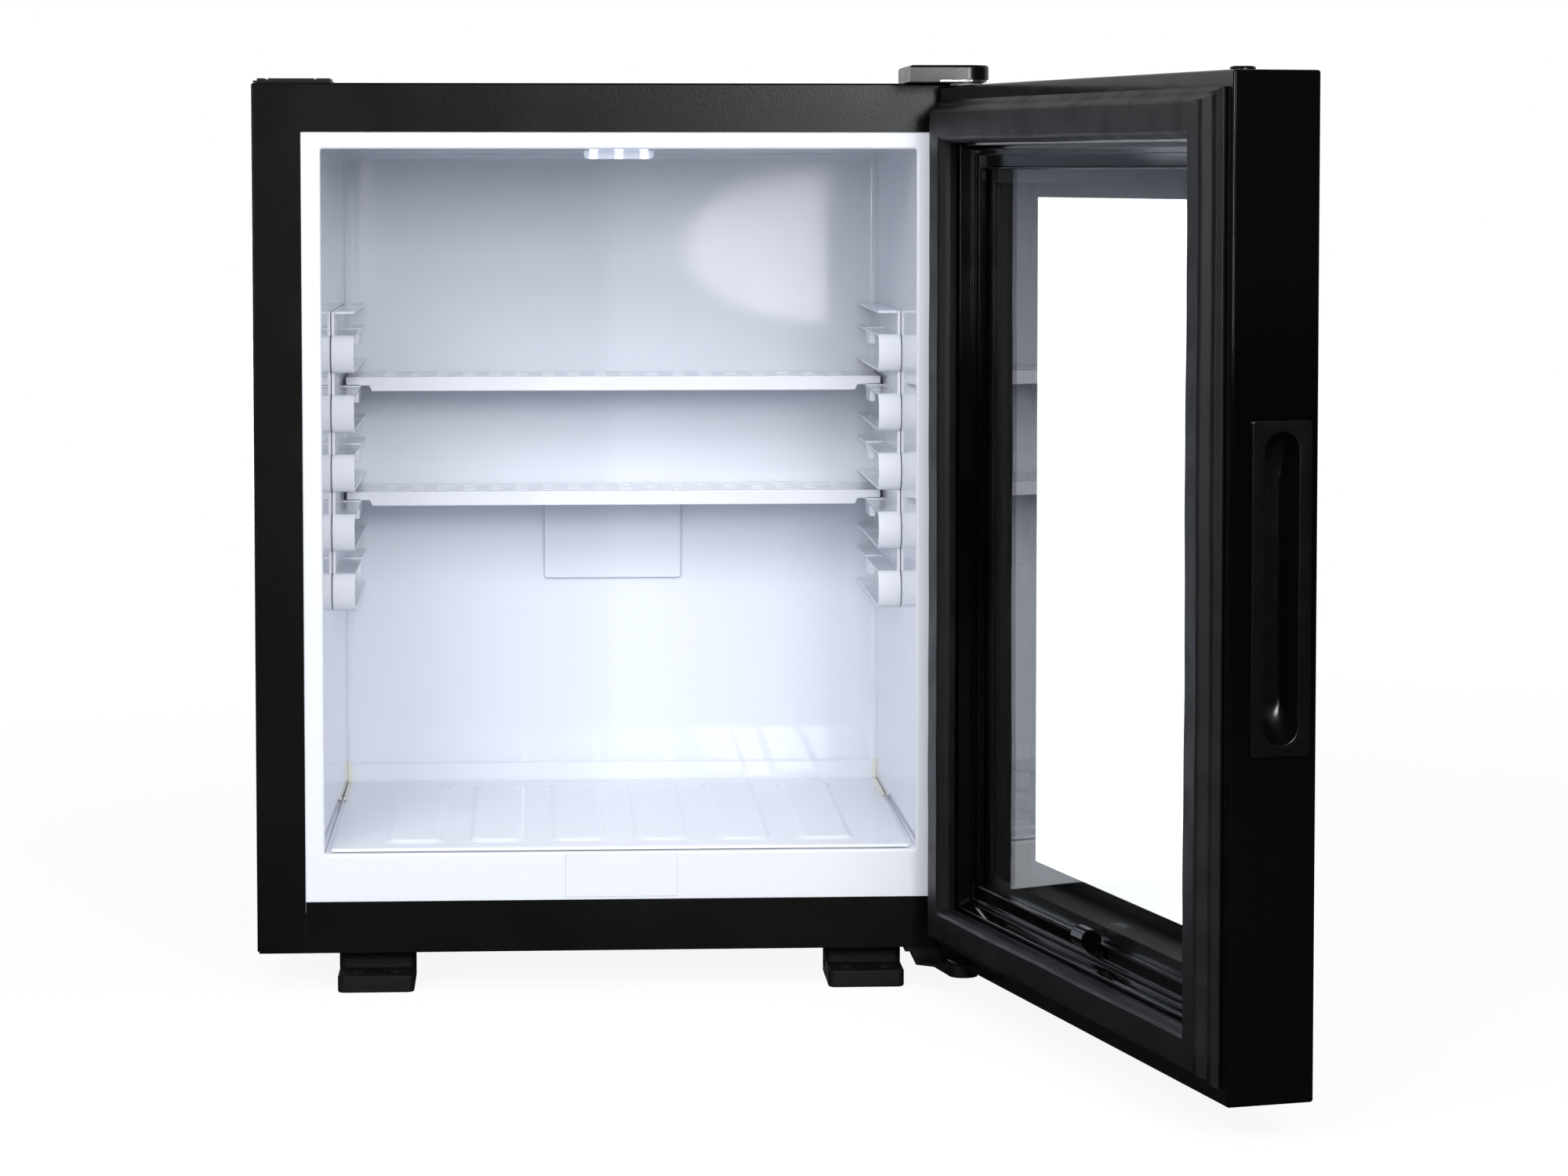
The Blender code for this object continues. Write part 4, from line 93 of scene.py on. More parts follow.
class Body(Enum):
    """The moving groups of the CAD model."""

    CABINET = "cabinet"
    DOOR = "door"
    UPPER_SHELF = "upper_shelf"
    LOWER_SHELF = "lower_shelf"

    def to_world(self, points: np.ndarray) -> np.ndarray:
        """Takes drawn points to their place in metres.

        On the cabinet the depth is added to the front plane. On the door the depth runs the other way from the
        hinge axis, and the point is turned about that axis by the opening angle.

        Args:
            points: Points of (across, depth, height) in millimetres.

        Returns:
            The same points as world X, Y and Z in metres.
        """
        across, depth, height = points.T
        if self is not Body.DOOR:
            return np.column_stack((across, depth + FRONT, height)) * MM
        shut = PIVOT_DEPTH - depth
        x = PIVOT_X + across * math.cos(SWING) - shut * math.sin(SWING)
        y = PIVOT_Y + across * math.sin(SWING) + shut * math.cos(SWING)
        return np.column_stack((x, y, height)) * MM


# Forms


@dataclass
class Form:
    """A mesh before it is an object.

    Attributes:
        points: Corner points, one row each.
        faces: Corner numbers of each face.
    """

    points: np.ndarray
    faces: list[list[int]]

    @staticmethod
    def group(forms: Iterable["Form"]) -> "Form":
        """Puts several closed forms into one, with the later ones' corner numbers moved up.

        Args:
            forms: The forms to put together.

        Returns:
            One form that holds them all.
        """
        points, faces, start = [], [], 0
        for form in forms:
            points.append(form.points)
            faces += [[corner + start for corner in face] for face in form.faces]
            start += len(form.points)
        return Form(np.vstack(points), faces)

    def mesh(self, name: str) -> bpy.types.Mesh:
        """Writes the form into a new mesh as it is.

        Args:
            name: The mesh's name.

        Returns:
            The mesh.
        """
        mesh = bpy.data.meshes.new(name)
        mesh.from_pydata(self.points.tolist(), [], self.faces)
        return mesh


def add_object(name: str, data: bpy.types.ID) -> bpy.types.Object:
    """A new object in the scene.

    Args:
        name: Its name.
        data: Its mesh, light or camera.

    Returns:
        The object.
    """
    thing = bpy.data.objects.new(name, data)
    bpy.context.scene.collection.objects.link(thing)
    return thing


def lattice(grid: np.ndarray, closed: bool = True, ring: bool = False, capped: bool = True) -> Form:
    """Skins a grid of points: each cell between two rows and two columns is a four-sided face.

    Args:
        grid: Points as rows x columns x 3.
        closed: Joins each row's last point to its first.
        ring: Joins the last row to the first.
        capped: Fills the first and the last row with one face each.

    Returns:
        The skinned form.
    """
    rows, columns = grid.shape[:2]
    number = np.arange(rows * columns).reshape(rows, columns)
    wide = np.hstack((number, number[:, :1])) if closed else number
    tall = np.vstack((wide, wide[:1])) if ring else wide
    cells = np.stack((tall[:-1, :-1], tall[:-1, 1:], tall[1:, 1:], tall[1:, :-1]), axis=-1)
    faces = cells.reshape(-1, 4).tolist()
    if capped and not ring:
        faces += [number[0, ::-1].tolist(), number[-1].tolist()]
    return Form(grid.reshape(-1, 3), faces)


def unit(vectors: np.ndarray) -> np.ndarray:
    """Scales each vector to length one; a zero vector stays zero."""
    return vectors / np.maximum(np.linalg.norm(vectors, axis=-1, keepdims=True), 1e-9)


def corner_arcs(corner: np.ndarray, before: np.ndarray, after: np.ndarray, radius: float | Sequence[float],
                steps: int) -> np.ndarray:
    """Rounds corners off with arcs.

    At a corner with the half angle h between its two edges, the arc of radius r starts r / tan h from the corner,
    its centre lies r / sin h along the bisector, and its points turn evenly from one edge to the other. Where two
    corners are close the radius shrinks, so that each arc keeps to its half of the edge.

    Args:
        corner: The corners, one row each.
        before: The point before each corner.
        after: The point after each corner.
        radius: One radius for all corners, or one for each.
        steps: Pieces of each arc.

    Returns:
        The arcs' points as corners x (steps + 1) x coordinates.
    """
    back, ahead = before - corner, after - corner
    room = 0.49 * np.minimum(np.linalg.norm(back, axis=1), np.linalg.norm(ahead, axis=1))
    back, ahead = unit(back), unit(ahead)
    half = np.clip(np.arccos(np.clip((back * ahead).sum(axis=1), -1, 1)) / 2, 1e-3, math.pi / 2 - 1e-4)
    reach = np.minimum(np.broadcast_to(radius, len(corner)) / np.tan(half), room)
    centre = corner + unit(back + ahead) * (reach * np.tan(half) / np.sin(half))[:, None]
    first, last = corner + back * reach[:, None] - centre, corner + ahead * reach[:, None] - centre
    turn = (math.pi - 2 * half)[:, None, None]
    share = np.linspace(0, 1, steps + 1)[None, :, None]
    arc = (np.sin((1 - share) * turn) * first[:, None] + np.sin(share * turn) * last[:, None]) / np.sin(turn)
    return centre[:, None] + arc


def filleted(corners: Sequence[Sequence[float]], radius: float | Sequence[float], steps: int = 4) -> np.ndarray:
    """Rounds a closed outline's corners, with one radius for all or one for each."""
    corner = np.asarray(corners, dtype=float)
    return corner_arcs(corner, np.roll(corner, 1, axis=0), np.roll(corner, -1, axis=0), radius, steps).reshape(-1, 2)


def rounded_rectangle(low: Sequence[float], high: Sequence[float], radius: float, steps: int = 5) -> np.ndarray:
    """A rectangle with round corners: a quarter circle about each corner's centre, anticlockwise.

    Args:
        low: Lowest corner.
        high: Highest corner.
        radius: Radius of the corners.
        steps: Pieces of each quarter circle.

    Returns:
        The outline, 4 x (steps + 1) points.
    """
    centres = np.array([
        (low[0] + radius, low[1] + radius), (high[0] - radius, low[1] + radius),
        (high[0] - radius, high[1] - radius), (low[0] + radius, high[1] - radius),
    ])
    angles = np.radians(np.array([180, 270, 0, 90])[:, None] + np.linspace(0, 90, steps + 1))
    spokes = np.stack((np.cos(angles), np.sin(angles)), axis=-1)
    return (centres[:, None] + radius * spokes).reshape(-1, 2)


def centred(centre: Sequence[float], half: Sequence[float], radius: float, steps: int) -> np.ndarray:
    """A rectangle with round corners about its centre, from its half sizes."""
    (x, y), (wide, tall) = centre, half
    return rounded_rectangle((x - wide, y - tall), (x + wide, y + tall), radius, steps)


def drawn_in(outline: np.ndarray, distance: float) -> np.ndarray:
    """Moves each side of an anticlockwise outline inwards by a distance, with mitred corners.

    Args:
        outline: The outline.
        distance: How far its sides move.

    Returns:
        The smaller outline, point for point.
    """
    edge = unit(np.roll(outline, -1, axis=0) - outline)
    normal = np.stack((-edge[:, 1], edge[:, 0]), axis=-1)
    before = np.roll(normal, 1, axis=0)
    mitre = (before + normal) / (1 + (before * normal).sum(axis=1, keepdims=True))
    return outline + distance * mitre


def lifted(outline: np.ndarray, axis: Axis, level: float | np.ndarray) -> np.ndarray:
    """Gives a flat outline its third coordinate, at one level along an axis."""
    return np.insert(outline, axis.value, level, axis=1)


def quarter(steps: int) -> np.ndarray:
    """A quarter circle of radius one that leads from a side to an end face: rows of (1 - sin a, 1 - cos a)."""
    angle = np.linspace(0, math.pi / 2, steps + 1)
    return np.column_stack((1 - np.sin(angle), 1 - np.cos(angle)))


def slab(outline: np.ndarray, axis: Axis, low: float, high: float, edge: float, steps: int = 3) -> Form:
    """Pushes an outline along an axis and rounds both of its rims.

    At angle a of the rim's quarter circle the outline is drawn in by edge x (1 - sin a) and stands
    edge x (1 - cos a) from the end face.

    Args:
        outline: Anticlockwise outline in the other two coordinates.
        axis: Axis that it is pushed along.
        low: Where it starts.
        high: Where it ends.
        edge: Radius of the rims.
        steps: Pieces of each rim.

    Returns:
        The closed slab.
    """
    inset, rise = edge * quarter(steps).T
    lower = [lifted(drawn_in(outline, i), axis, low + r) for i, r in zip(inset, rise)]
    upper = [lifted(drawn_in(outline, i), axis, high - r) for i, r in zip(inset[::-1], rise[::-1])]
    return lattice(np.stack(lower + upper))


def block(low: Sequence[float], high: Sequence[float], edge: float = 0.2) -> Form:
    """A box between two corners with its four upright edges and both rims rounded."""
    outline = rounded_rectangle(low[:2], high[:2], edge, 2)
    return slab(outline, Axis.HEIGHT, low[2], high[2], edge, 2)


def bar(side: Side, across: tuple[float, float], depth: tuple[float, float], height: tuple[float, float],
        edge: float) -> Form:
    """A box with rounded edges on one side of the middle plane, from its three pairs of limits."""
    low, high = zip(side.span(*across), depth, height)
    return block(low, high, edge)


def turned(profile: np.ndarray, centre: Sequence[float], axis: Axis, sides: int = 48, ring: bool = False) -> Form:
    """Turns a profile about an axis: each point (radius, distance) becomes a circle.

    Args:
        profile: Points of radius and distance along the axis.
        centre: A point on the axis.
        axis: The axis.
        sides: Points of each circle.
        ring: Joins the profile's ends, for a form with a hole through it.

    Returns:
        The turned form.
    """
    angle = np.linspace(0, 2 * math.pi, sides, endpoint=False)
    radius, distance = np.asarray(profile, dtype=float).T
    first = radius[:, None] * np.cos(angle)
    second = radius[:, None] * np.sin(angle)
    along = np.broadcast_to(distance[:, None], first.shape)
    order = {Axis.ACROSS: (along, first, second), Axis.DEPTH: (second, along, first),
             Axis.HEIGHT: (first, second, along)}[axis]
    return lattice(np.stack(order, axis=-1) + np.asarray(centre, dtype=float), ring=ring)


def rounded_path(corners: Sequence[Sequence[float]], bend: float, steps: int = 10) -> np.ndarray:
    """A path through corner points, each inner corner turned into an arc of the bend radius.

    Args:
        corners: Points that the path is led through.
        bend: Radius of the arcs.
        steps: Pieces of each arc.

    Returns:
        The path's points.
    """
    corner = np.asarray(corners, dtype=float)
    arcs = corner_arcs(corner[1:-1], corner[:-2], corner[2:], bend, steps)
    return np.vstack((corner[:1], arcs.reshape(-1, 3), corner[-1:]))


def tube(path: np.ndarray, radius: float, sides: int = 20) -> Form:
    """Carries a circle along a path: it stands square to the path's direction at each point.

    Args:
        path: Points of the middle line.
        radius: Outer radius of the tube.
        sides: Points of each circle.

    Returns:
        The tube with closed ends.
    """
    along = unit(np.gradient(path, axis=0))
    across = unit(np.cross(along, np.array([0.55, 0.62, 0.56])))
    up = np.cross(across, along)
    angle = np.linspace(0, 2 * math.pi, sides, endpoint=False)[None, :, None]
    return lattice(path[:, None] + radius * (np.cos(angle) * across[:, None] + np.sin(angle) * up[:, None]))


@dataclass(frozen=True)
class Track:
    """The way round a rectangle that a profile of (inset, depth) points is carried along.

    A profile point at inset i stands on the corner moved inwards by max(i, radius), plus the arc's spoke times
    what is left of the radius, so corners are round outside and mitred once the radius is used up.

    Attributes:
        corner: Corner of each station, in X and Z.
        inward: Inward direction of each station.
        spoke: Direction of the corner's arc at each station.
        radius: Corner radius of each station.
        ring: Whether the track closes on itself.
    """

    corner: np.ndarray
    inward: np.ndarray
    spoke: np.ndarray
    radius: np.ndarray
    ring: bool

    @classmethod
    def round(cls, left: float, right: float, low: float, high: float, radius: float = 0.0, steps: int = 5) -> "Track":
        """All the way round a rectangle.

        Args:
            left: Lowest X.
            right: Highest X.
            low: Lowest Z.
            high: Highest Z.
            radius: Outer corner radius.
            steps: Pieces of each corner's arc, none where the radius is zero.

        Returns:
            The closed track.
        """
        count = steps + 1 if radius else 1
        corner = np.array([(left, low), (right, low), (right, high), (left, high)], dtype=float)
        inward = np.array([(1, 1), (-1, 1), (-1, -1), (1, -1)], dtype=float)
        angle = np.radians(np.array([180, 270, 0, 90])[:, None] + np.linspace(0, 90, count)).ravel()
        return cls(np.repeat(corner, count, axis=0), np.repeat(inward, count, axis=0),
                   np.stack((np.cos(angle), np.sin(angle)), axis=-1), np.full(4 * count, radius), True)

    @classmethod
    def over(cls, left: float, right: float, low: float, high: float, radius: float, steps: int = 6) -> "Track":
        """Up the left side, over the top and down the right side.

        Args:
            left: Lowest X.
            right: Highest X.
            low: Where both ends stand.
            high: Highest Z.
            radius: Radius of the two upper corners.
            steps: Pieces of each corner's arc.

        Returns:
            The open track.
        """
        count = steps + 1
        corner = np.repeat([(left, low), (left, high), (right, high), (right, low)], (1, count, count, 1), axis=0)
        inward = np.repeat([(1, 0), (1, -1), (-1, -1), (-1, 0)], (1, count, count, 1), axis=0)
        angle = np.radians(np.concatenate(([180], np.linspace(180, 90, count), np.linspace(90, 0, count), [0])))
        bend = np.concatenate(([0], np.full(2 * count, radius), [0]))
        return cls(corner.astype(float), inward.astype(float), np.stack((np.cos(angle), np.sin(angle)), -1), bend,
                   False)

    def carry(self, profile: np.ndarray, pieces: int = 1) -> np.ndarray:
        """Stands the profile at each station.

        Args:
            profile: Closed profile of (inset, depth) points.
            pieces: Pieces that each stretch between two stations is cut into, on a closed track.

        Returns:
            A grid of stations x profile points x 3.
        """
        inset, depth = np.asarray(profile, dtype=float).T
        reach = np.where(self.radius[:, None] > 0, np.maximum(inset, self.radius[:, None]), inset)
        arc = np.maximum(self.radius[:, None] - inset, 0)
        place = self.corner[:, None] + self.inward[:, None] * reach[..., None] + self.spoke[:, None] * arc[..., None]
        grid = np.stack((place[..., 0], np.broadcast_to(depth, reach.shape), place[..., 1]), axis=-1)
        share = (np.arange(pieces) / pieces)[None, :, None, None]
        if pieces > 1:
            following = np.roll(grid, -1, axis=0)
            grid = (grid[:, None] * (1 - share) + following[:, None] * share).reshape(-1, *grid.shape[1:])
        return grid

    def form(self, profile: np.ndarray) -> Form:
        """The solid that the profile leaves along the track."""
        return lattice(self.carry(profile), ring=self.ring)


def combined(base: Form, tool: Form, how: Cut) -> Form:
    """Joins or removes a form with Blender's exact Boolean.

    Args:
        base: The form that is kept.
        tool: The form that is joined to it or taken out of it.
        how: Which of the two.

    Returns:
        The result as one form.
    """
    pair = []
    for form in (base, tool):
        mesh = form.mesh("boolean")
        tidy(mesh, 1e-4)
        pair.append(add_object("boolean", mesh))
    modifier = pair[0].modifiers.new("boolean", "BOOLEAN")
    modifier.operation, modifier.solver, modifier.object = how.value, "EXACT", pair[1]
    modifier.use_self = how is Cut.JOIN
    result = pair[0].evaluated_get(bpy.context.evaluated_depsgraph_get()).to_mesh()
    points = np.empty(3 * len(result.vertices))
    result.vertices.foreach_get("co", points)
    faces = [list(face.vertices) for face in result.polygons]
    for helper in pair:
        mesh = helper.data
        bpy.data.objects.remove(helper)
        bpy.data.meshes.remove(mesh)
    return Form(points.reshape(-1, 3), faces)


def tidy(mesh: bpy.types.Mesh, distance: float) -> None:
    """Merges doubles, drops empty faces and turns every face outwards.

    Args:
        mesh: The mesh to clean.
        distance: How near two corners are when they count as one.
    """
    builder = bmesh.new()
    builder.from_mesh(mesh)
    bmesh.ops.remove_doubles(builder, verts=builder.verts, dist=distance)
    bmesh.ops.dissolve_degenerate(builder, edges=builder.edges, dist=distance)
    bmesh.ops.recalc_face_normals(builder, faces=builder.faces)
    builder.to_mesh(mesh)
    builder.free()


# Finishes


def linear(code: str) -> tuple[float, float, float, float]:
    """Turns an sRGB hex colour into Blender's linear one.

    Args:
        code: A colour such as "#E6EAF3".

    Returns:
        Red, green, blue and an alpha of one.
    """
    channel = np.array([int(code[start:start + 2], 16) for start in (1, 3, 5)]) / 255
    light = np.where(channel <= 0.04045, channel / 12.92, ((channel + 0.055) / 1.055) ** 2.4)
    return (*light.tolist(), 1.0)


def add_node(tree: Tree, kind: str, settings: dict[str, Any] | None = None,
             inputs: dict[str | int, Any] | None = None) -> bpy.types.Node:
    """Adds a node with its settings, values and links.

    Args:
        tree: The node tree.
        kind: The node's type name, without the part that all share.
        settings: Properties of the node.
        inputs: Values or sockets for its inputs, by name or number.

    Returns:
        The new node.
    """
    node = tree.nodes.new("ShaderNode" + kind)
    for key, value in (settings or {}).items():
        setattr(node, key, value)
    for key, value in (inputs or {}).items():
        if isinstance(value, Socket):
            tree.links.new(value, node.inputs[key])
        else:
            node.inputs[key].default_value = value
    return node


def calculated(tree: Tree, operation: str, *values: Any) -> Socket:
    """The result of one operation on numbers or sockets."""
    return add_node(tree, "Math", {"operation": operation}, dict(enumerate(values))).outputs[0]


def blended(tree: Tree, factor: Socket, first: Any, second: Any) -> Socket:
    """Mixes two numbers, or two colours where the second is given as one."""
    kind, start, end = ("RGBA", 6, 2) if isinstance(second, tuple) else ("FLOAT", 2, 0)
    return add_node(tree, "Mix", {"data_type": kind}, {0: factor, start: first, start + 1: second}).outputs[end]


def ramp(tree: Tree, value: Socket, low: float, high: float, start: float = 0.0, end: float = 1.0,
         smooth: bool = True) -> Socket:
    """Leads a value's way from low to high over to the way from start to end.

    Args:
        tree: The node tree.
        value: The value.
        low: Where the result is start.
        high: Where the result is end.
        start: First result.
        end: Last result.
        smooth: Whether the way eases in and out.

    Returns:
        The result.
    """
    return add_node(tree, "MapRange", {"interpolation_type": "SMOOTHSTEP" if smooth else "LINEAR"}, {
        "Value": value, "From Min": low, "From Max": high, "To Min": start, "To Max": end}).outputs[0]


def noise(tree: Tree, place: Socket, size: float, detail: float) -> Socket:
    """Smooth noise with waves of a size in millimetres."""
    return add_node(tree, "TexNoise", {}, {"Vector": place, "Scale": 1 / (size * MM), "Detail": detail}).outputs[0]


def cleared(owner: bpy.types.Material | bpy.types.World) -> Tree:
    """The emptied node tree of a new material or world.

    Args:
        owner: The material or world.

    Returns:
        Its tree, without a node.
    """
    owner.use_nodes = True
    owner.node_tree.nodes.clear()
    return owner.node_tree


@dataclass(frozen=True)
class Relief:
    """A small unevenness of a surface.

    Attributes:
        size: Width of one bump in millimetres.
        height: Its height in millimetres.
        detail: Finer levels on top of it.
    """

    size: float
    height: float
    detail: float = 1.0


@dataclass(frozen=True)
class Mottle:
    """Soft patches where the surface is a little rougher or of a second colour.

    Attributes:
        size: Width of a patch in millimetres.
        rougher: Roughness added in the patches.
        colour: Colour of the patches, or nothing.
        low: Noise level where a patch starts.
        high: Noise level where it is full.
        detail: Finer levels of the noise.
    """

    size: float
    rougher: float = 0.0
    colour: str = ""
    low: float = 0.4
    high: float = 0.7
    detail: float = 3.0


@dataclass(frozen=True)
class Finish:
    """A finish as it is made on the real piece.

    Attributes:
        name: Common name of the material and how its surface was made.
        colour: Its sRGB colour.
        roughness: Roughness of the smooth places.
        metallic: One for bare metal.
        ior: Index of refraction; a metal keeps the default.
        reliefs: Unevenness, from broad to fine.
        mottles: Patches.
    """

    name: str
    colour: str
    roughness: float
    metallic: float = 0.0
    ior: float = 1.5
    reliefs: tuple[Relief, ...] = ()
    mottles: tuple[Mottle, ...] = ()

    def start(self) -> tuple[bpy.types.Material, bpy.types.Node, Socket]:
        """Makes the material with its plain values set on the shader.

        Returns:
            The material, its shader and the object coordinates.
        """
        material = bpy.data.materials.new(self.name)
        material.use_nodes = True
        tree = material.node_tree
        shader = tree.nodes["Principled BSDF"]
        for key, value in {"Base Color": linear(self.colour), "Roughness": self.roughness,
                           "Metallic": self.metallic, "IOR": self.ior}.items():
            shader.inputs[key].default_value = value
        material.diffuse_color = linear(self.colour)
        place = add_node(tree, "TexCoord").outputs["Object"]
        return material, shader, place

    def material(self) -> bpy.types.Material:
        """Builds the finish with its patches and its unevenness.

        Returns:
            The finished material.
        """
        material, shader, place = self.start()
        tree = material.node_tree
        for mottle in self.mottles:
            patch = ramp(tree, noise(tree, place, mottle.size, mottle.detail), mottle.low, mottle.high)
            if mottle.rougher:
                rough = calculated(tree, "MULTIPLY_ADD", patch, mottle.rougher, self.roughness)
                tree.links.new(rough, shader.inputs["Roughness"])
            if mottle.colour:
                colour = blended(tree, patch, linear(self.colour), linear(mottle.colour))
                tree.links.new(colour, shader.inputs["Base Color"])
        normal = None
        for relief in self.reliefs:
            links = {"Height": noise(tree, place, relief.size, relief.detail), "Distance": relief.height * MM}
            if normal is not None:
                links["Normal"] = normal
            normal = add_node(tree, "Bump", {}, links).outputs[0]
        if normal is not None:
            tree.links.new(normal, shader.inputs["Normal"])
        return material


@dataclass(frozen=True)
class FloatGlass(Finish):
    """Clear float glass: light goes straight through, and only its faces reflect.

    Attributes:
        haze: A breath of roughness from handling.
    """

    haze: Mottle = Mottle(60, rougher=0.012, low=0.55, high=0.8, detail=4.0)

    def material(self) -> bpy.types.Material:
        """Builds the glass with its haze.

        Returns:
            The finished material.
        """
        material, shader, place = self.start()
        tree = material.node_tree
        shader.inputs["Transmission Weight"].default_value = 1.0
        haze = self.haze
        rough = ramp(tree, noise(tree, place, haze.size, haze.detail), haze.low, haze.high, 0.0, haze.rougher,
                     smooth=False)
        tree.links.new(rough, shader.inputs["Roughness"])
        return material


@dataclass(frozen=True)
class LampLens(Finish):
    """Moulded clear lens over three small lights, lit: it glows all over, most in front of each light.

    Attributes:
        pitch: Distance between the lights in millimetres.
        glow: Light that the whole lens gives off.
        spot: Extra light in front of each source.
        spread: Half the width of that brighter place, as a share of the pitch.
        tint: Colour of the light.
    """

    pitch: float = 14.0
    glow: float = 0.3
    spot: float = 1.6
    spread: float = 0.22
    tint: str = "#E3EBFF"

    def material(self) -> bpy.types.Material:
        """Builds the lens with its three bright bands across X.

        Returns:
            The finished material.
        """
        material, shader, place = self.start()
        tree = material.node_tree
        split = add_node(tree, "SeparateXYZ", {}, {0: place})
        across = calculated(tree, "PINGPONG", split.outputs[0], self.pitch * MM / 2)
        light = ramp(tree, across, 0.0, self.spread * self.pitch * MM, self.glow + self.spot, self.glow)
        shader.inputs["Emission Color"].default_value = linear(self.tint)
        tree.links.new(light, shader.inputs["Emission Strength"])
        return material


